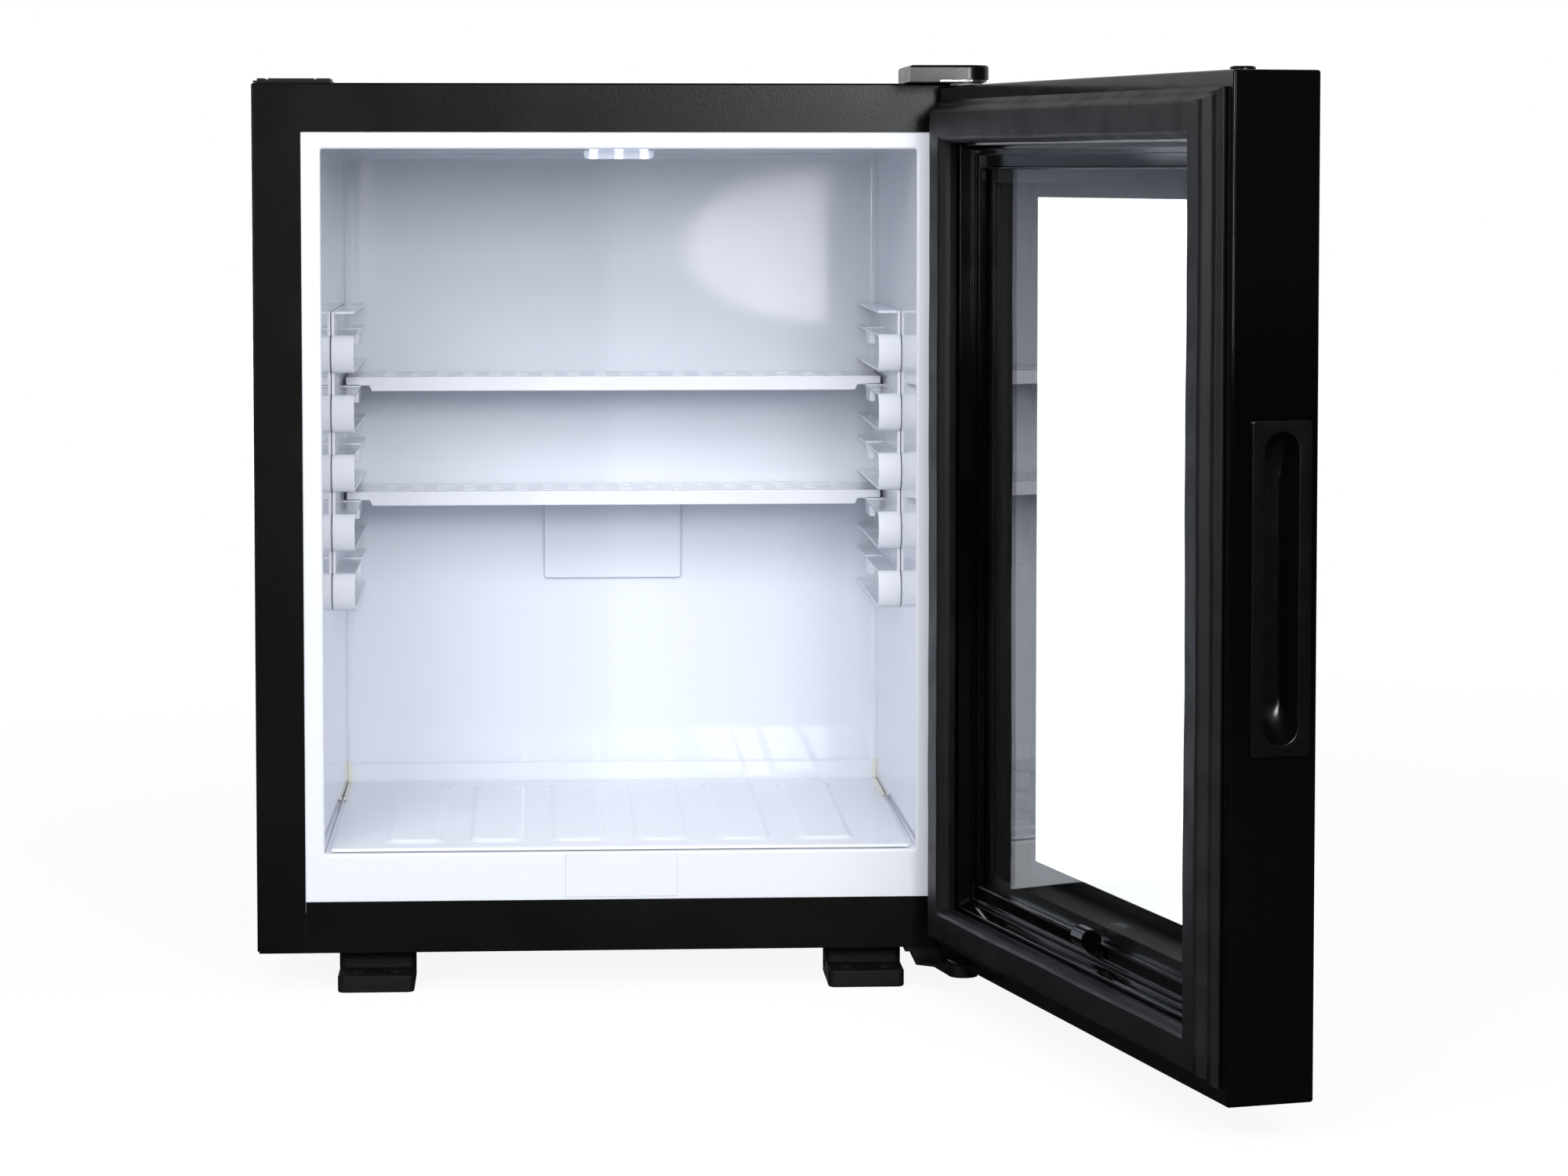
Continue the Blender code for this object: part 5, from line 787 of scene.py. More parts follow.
class Palette:
    """Every finish of the fridge, made once, by the record's slot names; frit and sealant have no slot of theirs."""

    def __init__(self) -> None:
        """Makes all the finishes."""
        finishes = {
            # Polyester powder on steel, sprayed and baked: a fine even grain that breaks up every reflection.
            # Real grain is about 0.4 mm; it is drawn at 1.1 mm so that it shows.
            "black_steel": Finish("powder_coated_steel", "#060607", 0.30, ior=1.5, reliefs=(
                Relief(1.1, 0.05, 2.0),), mottles=(Mottle(60, rougher=0.05),)),
            # ABS from a polished mould: deep black with mirror reflections and a faint long wave.
            "black_gloss": Finish("polished_mould_abs", "#030304", 0.08, ior=1.53, reliefs=(
                Relief(60, 0.03), Relief(5, 0.001)), mottles=(Mottle(25, rougher=0.04),)),
            # ABS from an etched mould: soft sheen, fine even texture.
            "black_satin": Finish("etched_mould_abs", "#060607", 0.22, ior=1.53, reliefs=(
                Relief(1.0, 0.004, 2.0),), mottles=(Mottle(12, rougher=0.05),)),
            # Baked enamel on pressed steel: smooth satin black.
            "black_metal": Finish("baked_enamel_steel", "#101011", 0.4, ior=1.52, reliefs=(
                Relief(3.0, 0.02, 2.0),), mottles=(Mottle(30, rougher=0.1),)),
            # High-impact polystyrene sheet, vacuum-formed: cold white with a glossy skin that wavers.
            "white_plastic": Finish("vacuum_formed_polystyrene", "#E4E8F1", 0.04, ior=1.57, reliefs=(
                Relief(110, 0.05), Relief(7, 0.0035, 2.0), Relief(2.0, 0.0006, 2.0)),
                mottles=(Mottle(80, rougher=0.03),)),
            # Polystyrene from a polished mould: brighter white, crisp edges.
            "rack_plastic": Finish("injection_moulded_polystyrene", "#E7EAF2", 0.12, ior=1.57, reliefs=(
                Relief(30, 0.01), Relief(1.5, 0.0008)), mottles=(Mottle(40, rougher=0.05),)),
            # Acetal, turned: dull grey.
            "grey_plastic": Finish("turned_acetal", "#7F7F83", 0.42, ior=1.48, reliefs=(Relief(0.8, 0.01),)),
            # Flame-proof ABS, textured mould: dull black.
            "dark_plastic": Finish("textured_mould_abs", "#1A1A1C", 0.5, ior=1.53, reliefs=(
                Relief(1.2, 0.05, 3.0),)),
            "clear_plastic": LampLens("moulded_clear_polycarbonate", "#DDE4F2", 0.12, ior=1.58),
            "glass": FloatGlass("clear_float_glass", "#FBFDFC", 0.0, ior=1.5),
            # Extruded aluminium, anodised and dyed black: the matt oxide skin swallows nearly all light.
            "spacer": Finish("black_anodised_aluminium", "#050506", 0.5, ior=1.6, reliefs=(
                Relief(0.9, 0.01),)),
            # Soft PVC, extruded: dark grey skin with a broad soft highlight.
            "gasket": Finish("extruded_soft_pvc", "#0A0A0C", 0.44, ior=1.53, reliefs=(
                Relief(40, 0.05), Relief(2.0, 0.003, 2.0)), mottles=(Mottle(18, rougher=0.1, colour="#0F0F11"),)),
            # Rubber filled with ferrite, rolled: dead brown black.
            "magnet": Finish("rolled_magnetic_rubber", "#1E1C1A", 0.62, reliefs=(Relief(0.8, 0.02, 2.0),)),
            # Moulded rubber: dead black with dust in its grain.
            "rubber": Finish("moulded_rubber", "#0B0B0C", 0.6, ior=1.52, reliefs=(
                Relief(1.2, 0.05, 3.0),), mottles=(Mottle(9, rougher=0.12, colour="#101010"),)),
            # Polyurethane, foamed in place: cells of about 1 mm, pale yellow.
            "foam": Finish("rigid_polyurethane_foam", "#DCCF9B", 0.9, ior=1.4, reliefs=(
                Relief(1.4, 0.4, 4.0),), mottles=(Mottle(20, colour="#CDBE86"),)),
            # Aluminium, cast: soft grey with a grainy skin.
            "aluminium": Finish("cast_aluminium", "#C4C6C9", 0.42, metallic=1.0, reliefs=(
                Relief(1.4, 0.05, 3.0),), mottles=(Mottle(8, rougher=0.15),)),
            # Steel, zinc plated and passivated: cool grey with cloudy patches.
            "steel": Finish("zinc_plated_steel", "#B9BCC2", 0.3, metallic=1.0, reliefs=(
                Relief(1.0, 0.01, 2.0),), mottles=(Mottle(5, rougher=0.18, colour="#A6A8A9"),)),
            # Steel tube, dipped and baked: satin black with a few runs.
            "unit_tube": Finish("dipped_enamel_tube", "#0F0F10", 0.33, ior=1.52, reliefs=(
                Relief(16, 0.1), Relief(1.6, 0.012)), mottles=(Mottle(20, rougher=0.12),)),
            # Thin steel jacket, enamelled.
            "boiler_jacket": Finish("enamelled_jacket", "#111112", 0.42, ior=1.52, reliefs=(
                Relief(24, 0.2), Relief(1.4, 0.015)), mottles=(Mottle(24, rougher=0.1),)),
            # Glass-fibre laminate under solder mask: green with a woven shadow.
            "board_green": Finish("solder_masked_laminate", "#14632E", 0.3, ior=1.55, reliefs=(
                Relief(0.8, 0.01),), mottles=(Mottle(1.6, colour="#0F5527"),)),
            # PVC sleeve, extruded.
            "cable": Finish("extruded_pvc_sleeve", "#141415", 0.45, ior=1.53, reliefs=(Relief(1.0, 0.01),)),
            # Ceramic enamel, fired on to the glass: flat deep black.
            "frit": Finish("fired_ceramic_enamel", "#060608", 0.3, ior=1.5, reliefs=(Relief(1.0, 0.006),)),
            # Acrylic sealant, dried: slightly yellow.
            "sealant": Finish("dried_acrylic_sealant", "#E6E5DA", 0.5, ior=1.47, reliefs=(Relief(3.0, 0.1, 2.0),)),
        }
        self.materials = {key: finish.material() for key, finish in finishes.items()}

    def carry_over(self) -> None:
        """Gives each CAD node the finish of its slot."""
        for entry in frame["record"]["subparts"]:
            for place in frame["nodes"][entry["node"]].material_slots:
                place.material = self.materials[entry["material_slot"]]

    def piece(self, name: str, form: Form, slot: str, *nodes: str, body: Body = Body.CABINET, finish: str = "",
              sharp: float = 38.0) -> None:
        """Turns a form into a finished piece of the visual model.

        Args:
            name: The piece's name.
            form: Its form, in millimetres.
            slot: The record's material slot that it belongs to.
            nodes: CAD nodes that it replaces.
            body: The moving group that it rides on.
            finish: Its finish, where that isn't the slot's own.
            sharp: Angle in degrees from which an edge stays sharp.
        """
        mesh = Form(body.to_world(form.points), form.faces).mesh(name)
        tidy(mesh, 2e-6)
        mesh.shade_smooth()
        mesh.set_sharp_from_angle(angle=math.radians(sharp))
        mesh.materials.append(self.materials[finish or slot])
        piece = add_object(name, mesh)
        piece.modifiers.new("flats", "WEIGHTED_NORMAL").keep_sharp = True
        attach(piece, body.value)
        if nodes:
            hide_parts(*nodes)
        LOG.info("%s: %d faces on %s", name, len(mesh.polygons), body.value)


# Cabinet


@dataclass
class CabinetShell:
    """Steel wrap, with its folded returns mitred at the two upper front corners."""

    half_width: float = 200.0
    height: float = 477.0
    depth: float = 368.0
    bottom: float = 1.1
    sheet: float = 0.8
    stile: float = 26.6
    rear_return: float = 12.0
    bend: float = 1.2
    top_bend: float = 1.6
    rim: float = 0.3
    fold: float = 0.4
    seam: float = 0.22
    seam_depth: float = 0.5

    def wrap(self) -> Form:
        """The sheet's section, rounded at its folds, led up, over and down, with the two mitre seams cut in.

        Returns:
            The wrap.
        """
        depth, sheet = self.depth, self.sheet
        section = filleted([
            (0, 0), (0, depth), (self.rear_return, depth), (self.rear_return, depth - sheet),
            (sheet, depth - sheet), (sheet, sheet), (self.stile, sheet), (self.stile, 0),
        ], [self.bend] * 2 + [self.rim] * 2 + [self.fold] * 2 + [self.rim] * 2)
        track = Track.over(-self.half_width, self.half_width, self.bottom, self.height, self.top_bend)
        wrap = track.form(section)
        seams = [self.mitre(side) for side in Side]
        return combined(wrap, Form.group(seams), Cut.REMOVE)

    def mitre(self, side: Side) -> Form:
        """The thin diagonal groove from an upper front corner to the mouth.

        Args:
            side: Whose corner it is.

        Returns:
            The groove's cutter.
        """
        half = self.seam / math.sqrt(2)
        inner, outer = self.stile + 1, -1.0
        line = np.array([(outer - half, outer + half), (outer + half, outer - half),
                         (inner + half, inner - half), (inner - half, inner + half)])
        x = side.value * (self.half_width - line[:, 0])
        outline = np.column_stack((x, self.height - line[:, 1]))
        return slab(outline, Axis.DEPTH, -1.0, self.seam_depth, 0.0, 1)

    def build(self, palette: Palette) -> None:
        """Builds and dresses the wrap."""
        palette.piece("steel_wrap", self.wrap(), "black_steel", "outer_wrap")


@dataclass
class Lining:
    """White inner box: vacuum-formed liner, switch plate, floor pan, evaporator cover and lamp lens."""

    half_width: float = 162.8
    bottom: float = 54.5
    top: float = 441.1
    flange_front: float = 1.1
    flange_thickness: float = 1.8
    flange_half: float = 179.4
    flange_low: float = 22.3
    flange_high: float = 456.4
    depth: float = 256.0
    draft: float = 1.5
    wall: float = 2.0
    corner: float = 1.2
    fillet: float = 5.0
    lip: float = 1.6
    switch_half: tuple[float, float] = (30.75, 11.7)
    switch_corner: float = 0.6
    switch_height: float = 41.4
    switch_depth: float = 0.7
    evaporator_height: float = 208.0
    cover_half: tuple[float, float] = (41.5, 26.0)
    cover_thickness: float = 2.5
    cover_corner: float = 2.0
    cover_edge: float = 0.9
    lamp_depth: float = 35.0
    lens_half: tuple[float, float] = (19.2, 10.0)
    lens_drop: float = 4.6
    lens_corner: float = 2.6
    neck_inset: float = 3.0
    neck_corner: float = 1.5

    def loop(self, grow: float, depth: float, corner: float) -> np.ndarray:
        """The mouth's outline, grown on all sides, at one depth.

        Args:
            grow: How far it grows on each side.
            depth: Its depth.
            corner: Radius of its corners.

        Returns:
            The loop.
        """
        outline = rounded_rectangle((-self.half_width - grow, self.bottom - grow),
                                    (self.half_width + grow, self.top + grow), corner, 6)
        return lifted(outline, Axis.DEPTH, depth)

    def liner(self) -> Form:
        """The liner's closed shell, row by row.

        From the back wall, a quarter circle of the fillet's radius leads to the walls, which widen with the draft
        to the mouth. A quarter circle of the lip's radius turns out to the flange, and the outside follows it back.

        Returns:
            The liner, with the switch plate's seat and the lamp's slot cut out.
        """
        front, back = self.flange_front, self.depth
        rows = [self.loop(-self.draft - self.fillet * i, back - self.fillet * r,
                          max(self.corner, self.fillet * 0.2 + self.corner * (1 - i))) for i, r in quarter(6)]
        rows += [self.loop(self.lip * r, front + self.lip * i, self.corner + self.lip * r) for i, r in quarter(6)]
        outer = rounded_rectangle((-self.flange_half, self.flange_low), (self.flange_half, self.flange_high),
                                  self.corner, 6)
        flange_back = front + self.flange_thickness
        rows += [lifted(outer, Axis.DEPTH, front), lifted(outer, Axis.DEPTH, flange_back)]
        rows += [self.loop(self.wall, flange_back, self.corner + self.wall),
                 self.loop(self.wall - self.draft, back + self.wall, self.corner + self.wall)]
        shell = lattice(np.stack(rows))
        seat = self.switch_seat(0.07, self.switch_depth + GAP)
        half, length = (size - self.neck_inset + GAP for size in self.lens_half)
        slot = block((-half, self.lamp_depth - length, self.top - 4), (half, self.lamp_depth + length, self.top + 4))
        return combined(shell, Form.group([seat, slot]), Cut.REMOVE)

    def switch_seat(self, margin: float, depth: float) -> Form:
        """A box round the switch plate's place, a margin larger.

        Args:
            margin: How much larger it is on each side.
            depth: How deep it goes into the flange.

        Returns:
            The box.
        """
        half, rise = self.switch_half
        outline = centred((0, self.switch_height), (half + margin, rise + margin), self.switch_corner, 3)
        return slab(outline, Axis.DEPTH, self.flange_front - 1, self.flange_front + depth, 0.0, 1)

    def switch_plate(self) -> Form:
        """The blank plate over the lamp's switch, almost flush with the flange."""
        outline = centred((0, self.switch_height), self.switch_half, self.switch_corner, 3)
        return slab(outline, Axis.DEPTH, self.flange_front + 0.02, self.flange_front + self.switch_depth, 0.15, 2)

    def evaporator_cover(self) -> Form:
        """Thin plate on the back wall with soft edges.

        Returns:
            The plate.
        """
        outline = centred((0, self.evaporator_height), self.cover_half, self.cover_corner, 5)
        back = self.depth - GAP
        return slab(outline, Axis.DEPTH, back - self.cover_thickness, back, self.cover_edge, 4)

    def lens(self) -> Form:
        """The lens below the ceiling: a shallow pillow with a neck through the ceiling's slot.

        At angle a of its rim the outline is drawn in by half the drop times (1 - sin a) and stands as much below.

        Returns:
            The lens.
        """
        ceiling = self.top - self.draft * self.lamp_depth / self.depth
        top = ceiling - GAP - self.draft / 8
        outline = centred((0, self.lamp_depth), self.lens_half, self.lens_corner, 6)
        rim = self.lens_drop / 2
        rows = [lifted(drawn_in(outline, rim * i), Axis.HEIGHT, top - self.lens_drop + rim * r)
                for i, r in quarter(6)]
        neck = centred((0, self.lamp_depth), [size - self.neck_inset for size in self.lens_half],
                       self.neck_corner, 6)
        rows += [lifted(outline, Axis.HEIGHT, top), lifted(neck, Axis.HEIGHT, top),
                 lifted(neck, Axis.HEIGHT, top + self.wall)]
        return lattice(np.stack(rows))

    def build(self, palette: Palette) -> None:
        """Builds and dresses the lining.

        Args:
            palette: The finishes.
        """
        palette.piece("liner_shell", self.liner(), "white_plastic", "inner_liner")
        palette.piece("switch_blank", self.switch_plate(), "white_plastic", "switch_plate")
        palette.piece("evaporator_plate", self.evaporator_cover(), "white_plastic", "evaporator_cover")
        palette.piece("lamp_glow_lens", self.lens(), "clear_plastic", "lamp_lens")
        FloorPan().build(palette)


@dataclass
class FloorPan:
    """Loose pan on the liner's floor, with raised plateaus and an upstand at the back wall."""

    half_width: float = 159.1
    front: float = 6.0
    back: float = 255.3
    lift: float = 0.18
    thickness: float = 1.6
    upstand: float = 12.5
    fillet: float = 2.4
    slope: float = math.atan2(1.5, 256.0)
    base: float = 54.8
    count: int = 6
    pitch: float = 45.8
    width: float = 31.0
    height: float = 1.6
    plateau_front: float = 24.0
    plateau_back: float = 230.0
    plateau_corner: float = 7.0
    plateau_ease: float = 1.6
    step: float = 1.6

    def rise(self, across: np.ndarray, depth: np.ndarray) -> np.ndarray:
        """Height of the plateaus at a point.

        The distance to a rounded rectangle is the length of how far the point is past its straight sides, less
        the corner radius. The height goes from zero at its edge to full inside over 1.6 plateau heights, smoothly.

        Args:
            across: X of the points.
            depth: Depth of the points.

        Returns:
            Height above the plate.
        """
        middle = (np.arange(self.count) - (self.count - 1) / 2) * self.pitch
        nearest = np.abs(across[..., None] - middle).min(axis=-1)
        half_depth = (self.plateau_back - self.plateau_front) / 2
        centre = (self.plateau_back + self.plateau_front) / 2
        past_x = nearest - self.width / 2 + self.plateau_corner
        past_y = np.abs(depth - centre) - half_depth + self.plateau_corner
        outside = np.hypot(np.maximum(past_x, 0), np.maximum(past_y, 0)) - self.plateau_corner
        inside = np.minimum(np.maximum(past_x, past_y), 0)
        share = np.clip(-(outside + inside) / (self.plateau_ease * self.height), 0, 1)
        return self.height * share * share * (3 - 2 * share)

    def form(self) -> Form:
        """The pan's section in depth and height, led across, with the plateaus added to its upper face.

        Returns:
            The pan, tilted as the liner's floor is.
        """
        low, top, tip = self.lift, self.lift + self.thickness, self.lift + self.upstand
        half, inner = self.thickness / 2, self.back - self.thickness
        into, up = quarter(5).T
        nose = np.column_stack((self.front + half * into, top - half * up))[::-1]
        floor = np.arange(self.front + 1.0, inner - self.fillet, self.step)
        plate = np.column_stack((floor, np.full(floor.shape, top)))
        cove = np.column_stack((inner - self.fillet * into, top + self.fillet * up))
        over = np.linspace(math.pi, 0, 9)
        rim = np.column_stack((self.back - half + half * np.cos(over), tip - half + half * np.sin(over)))
        section = np.vstack((nose, plate, cove, rim, [(self.back, low), (self.front, low)]))
        across = np.linspace(-self.half_width, self.half_width, int(2 * self.half_width / self.step) + 1)
        grid_x, grid_y = np.meshgrid(across, section[:, 0], indexing="ij")
        grid_z = np.broadcast_to(section[:, 1], grid_x.shape)
        upper = (grid_z > top - 1e-6) & (grid_y < inner - self.fillet)
        grid_z = grid_z + upper * self.rise(grid_x, grid_y)
        tilt_y = grid_y * math.cos(self.slope) - grid_z * math.sin(self.slope)
        tilt_z = self.base + grid_y * math.sin(self.slope) + grid_z * math.cos(self.slope)
        return lattice(np.stack((grid_x, tilt_y, tilt_z), axis=-1))

    def bead(self, side: Side) -> Form:
        """A short bead of sealant that lies in a back corner.

        Args:
            side: The corner that it lies in.

        Returns:
            The bead.
        """
        x = side.value * (self.half_width + 1.0)
        path = rounded_path([(x, 190, self.base + 2.4), (x, 253.0, self.base + 3.0), (x, 253.2, self.base + 15.0)],
                            3.0, 6)
        return tube(path, 1.1, 12)

    def build(self, palette: Palette) -> None:
        """Builds and dresses the pan and its sealant.

        Args:
            palette: The finishes.
        """
        palette.piece("plateau_pan", self.form(), "white_plastic", "floor_pan")
        beads = Form.group(self.bead(side) for side in Side)
        palette.piece("pan_sealant", beads, "white_plastic", finish="sealant")


@dataclass
class ShelfRack:
    """One wall plate with its five channels; each channel is a top flange, a round nose and a bottom flange."""

    side: Side
    front: float = 95.0
    back: float = 255.4
    plate: float = 1.6
    inner: float = 149.2
    wall_front: float = 161.94
    wall_back: float = 161.0
    first_level: float = 336.2
    pitch: float = 33.9
    levels: int = 5
    top: float = 349.6
    channel_height: float = 21.4
    wall: float = 1.5
    nose: float = 7.0
    ridge_front: float = 185.0
    ridge_width: float = 2.0
    ridge_height: float = 0.8
    hook_length: float = 30.0
    hook_drop: float = 7.8
    hook_width: float = 3.2
    edge: float = 0.35

    def level(self, number: int) -> float:
        """Height of a channel's top flange."""
        return self.first_level - number * self.pitch

    def channel_section(self, top: float) -> np.ndarray:
        """The channel's side view: half ovals of the nose, outside and one wall inside, joined by the flanges.

        Args:
            top: Height of the top flange.

        Returns:
            The outline as (depth, height) points, anticlockwise.
        """
        half = self.channel_height / 2
        angle = np.linspace(math.pi / 2, 3 * math.pi / 2, 25)
        outer = np.column_stack((self.front + self.nose * np.cos(angle), top - half + half * np.sin(angle)))
        inner = np.column_stack((self.front + (self.nose - self.wall) * np.cos(angle),
                                 top - half + (half - self.wall) * np.sin(angle)))[::-1]
        low = top - self.channel_height
        return np.vstack(([(self.back, top)], outer, [(self.back, low), (self.back, low + self.wall)], inner,
                          [(self.back, top - self.wall)]))

    def channel(self, top: float) -> Form:
        """One channel from the free edge to the liner's wall.

        Its outer end leans in by the wall's draft, evenly from the plate's front to its back.

        Args:
            top: Height of the top flange.

        Returns:
            The channel.
        """
        low, high = self.side.span(self.inner, self.wall_front - 0.05)
        form = slab(self.channel_section(top), Axis.ACROSS, low, high, self.edge, 3)
        share = np.clip((form.points[:, 1] - self.front) / (self.back - self.front), 0, 1)
        at_wall = np.abs(form.points[:, 0]) > (self.inner + self.wall_front) / 2
        form.points[:, 0] -= self.side.value * (self.wall_front - self.wall_back) * share * at_wall
        return form

    def form(self) -> Form:
        """Wall plate, channels, top flange, stop ridges and hooks.

        Returns:
            The rack.
        """
        sign = self.side.value
        root, outer = self.wall_back - self.plate, self.wall_back - self.plate / 2
        low = self.level(self.levels - 1) - self.channel_height
        outline = np.array([(sign * (self.wall_front - self.plate), self.front), (sign * self.wall_front, self.front),
                            (sign * self.wall_back, self.back), (sign * root, self.back)])[::sign]
        parts = [slab(outline, Axis.HEIGHT, low + 0.04, self.top - 0.04, self.edge, 2),
                 bar(self.side, (self.inner, outer), (self.front, self.back), (self.top - self.wall, self.top),
                     self.edge)]
        start, ridge = self.inner + 0.06, self.ridge_front
        for number in range(self.levels):
            top = self.level(number)
            under = top - self.wall / 2
            parts += [self.channel(top),
                      bar(self.side, (start, outer), (ridge, ridge + self.ridge_width),
                          (under, top + self.ridge_height), 0.3),
                      bar(self.side, (start, self.inner + self.hook_width), (ridge - self.hook_length, ridge),
                          (top - self.hook_drop, under), 0.4)]
        return Form.group(parts)

    def build(self, palette: Palette) -> None:
        """Builds and dresses the rack."""
        name = self.side.name.lower()
        palette.piece("channel_rack_" + name, self.form(), "rack_plastic", "shelf_rack_" + name)


@dataclass
class Shelf:
    """Shallow shelf with oval slots, front and back lips and a tab at each end."""

    body: Body
    top: float
    half: float = 158.0
    front: float = 184.3
    back: float = 252.6
    plate: float = 2.2
    lip: float = 8.3
    lip_thickness: float = 2.5
    tab: float = 4.6
    tab_width: float = 8.8
    notch_width: float = 6.3
    notch_depth: float = 5.0
    pad_length: float = 5.0
    pad_drop: float = 0.8
    columns: int = 18
    pitch_x: float = 15.6
    pitch_y: float = 14.0
    slot_half: float = 4.0
    slot_radius: float = 1.7
    edge: float = 0.5

    def lip_outline(self) -> np.ndarray:
        """Front view of a lip: deep between the notches, less deep under them and level with the tabs outside.

        Returns:
            The outline as (x, height) points.
        """
        tab_inner = self.half - self.tab_width
        lip_half = tab_inner - self.notch_width
        low, mid = self.top - self.lip, self.top - self.notch_depth
        side, top = self.half - 0.05, self.top - 0.05
        right = [(lip_half, low), (lip_half + 1.4, mid), (tab_inner, mid), (tab_inner + 0.8, self.top - self.tab),
                 (side, self.top - self.tab), (side, top)]
        left = [(-x, z) for x, z in reversed(right)]
        return filleted(right + left, [1.2, 0.8, 0.4, 0.4, 0.9, 0.9] + [0.9, 0.9, 0.4, 0.4, 0.8, 1.2], 3)

    def slots(self) -> Form:
        """Every slot's cutter: columns of four, with every third column a staggered three.

        Returns:
            All cutters in one form.
        """
        column = np.repeat(np.arange(self.columns), 4)
        row = np.tile(np.arange(4), self.columns)
        count = np.where(column % 3 == 1, 3, 4)
        keep = row < count
        x = ((column - (self.columns - 1) / 2) * self.pitch_x)[keep]
        y = ((self.front + self.back) / 2 + (row - (count - 1) / 2) * self.pitch_y)[keep]
        outline = centred((0, 0), (self.slot_half, self.slot_radius), self.slot_radius * 0.98, 4)
        one = slab(outline, Axis.HEIGHT, self.top - 2 * self.plate, self.top + 2, 0.0, 1)
        return Form.group(Form(one.points + np.array([a, b, 0.0]), one.faces) for a, b in zip(x, y))

    def form(self) -> Form:
        """Plate with its slots, lips, side ribs, tabs and rear pads.

        Returns:
            The shelf.
        """
        outline = rounded_rectangle((-self.half, self.front), (self.half, self.back), 1.0, 4)
        plate = slab(outline, Axis.HEIGHT, self.top - self.plate, self.top, self.edge, 3)
        plate = combined(plate, self.slots(), Cut.REMOVE)
        lip = self.lip_outline()
        parts = [plate,
                 slab(lip, Axis.DEPTH, self.front + 0.05, self.front + self.lip_thickness, self.edge, 3),
                 slab(lip, Axis.DEPTH, self.back - self.lip_thickness, self.back - 0.05, self.edge, 3)]
        tab_inner = self.half - self.tab_width
        rib = tab_inner - self.notch_width
        tab_low = self.top - self.tab
        for side in Side:
            parts += [bar(side, (tab_inner, self.half - 0.1), (self.front + 0.5, self.back - 0.5),
                          (tab_low + 0.04, self.top - self.edge), self.edge),
                      bar(side, (tab_inner, self.half - 0.1), (self.back - self.pad_length, self.back - 0.3),
                          (tab_low - self.pad_drop, tab_low + 1), 0.4),
                      bar(side, (rib - self.plate, rib), (self.front + 1, self.back - 1),
                          (self.top - self.lip + 0.3, self.top - self.edge), self.edge)]
        return Form.group(parts)

    def build(self, palette: Palette) -> None:
        """Builds and dresses the shelf."""
        name = self.body.value
        palette.piece(name + "_tray", self.form(), "rack_plastic", name, body=self.body)


@dataclass
class Foot:
    """Stepped rubber foot: a low tread with two screw holes and the block that carries the cabinet."""

    name: str
    x: float
    front: float
    half: float = 21.0
    length: float = 52.0
    tread: float = 25.0
    height: float = 21.0
    lip: float = 9.5
    corner: float = 4.0
    edge: float = 1.1
    hole_radius: float = 4.8
    hole_spread: float = 10.7
    hole_depth: float = 12.0

    def form(self) -> Form:
        """Tread with its holes, and the block behind it.

        Returns:
            The foot.
        """
        left, right, back = self.x - self.half, self.x + self.half, self.front + self.length
        top, radius = -self.height + self.lip, self.hole_radius
        base = rounded_rectangle((left, self.front), (right, back), self.corner, 6)
        rim = np.array([(radius, -self.height - 2), (radius, top - 0.7), (radius + 0.8, top + 0.1),
                        (radius + 0.8, top + 2)])
        holes = Form.group(turned(rim, (self.x + side.value * self.hole_spread, self.front + self.hole_depth, 0),
                                  Axis.HEIGHT, 32) for side in Side)
        tread = combined(slab(base, Axis.HEIGHT, -self.height, top, self.edge, 4), holes, Cut.REMOVE)
        upper = rounded_rectangle((left, self.front + self.tread), (right, back), self.corner, 6)
        return Form.group([tread, slab(upper, Axis.HEIGHT, -self.height + self.lip / 2, -GAP, self.edge * 0.8, 3)])

    def build(self, palette: Palette) -> None:
        """Builds and dresses the foot."""
        palette.piece("rubber_" + self.name, self.form(), "rubber", self.name)


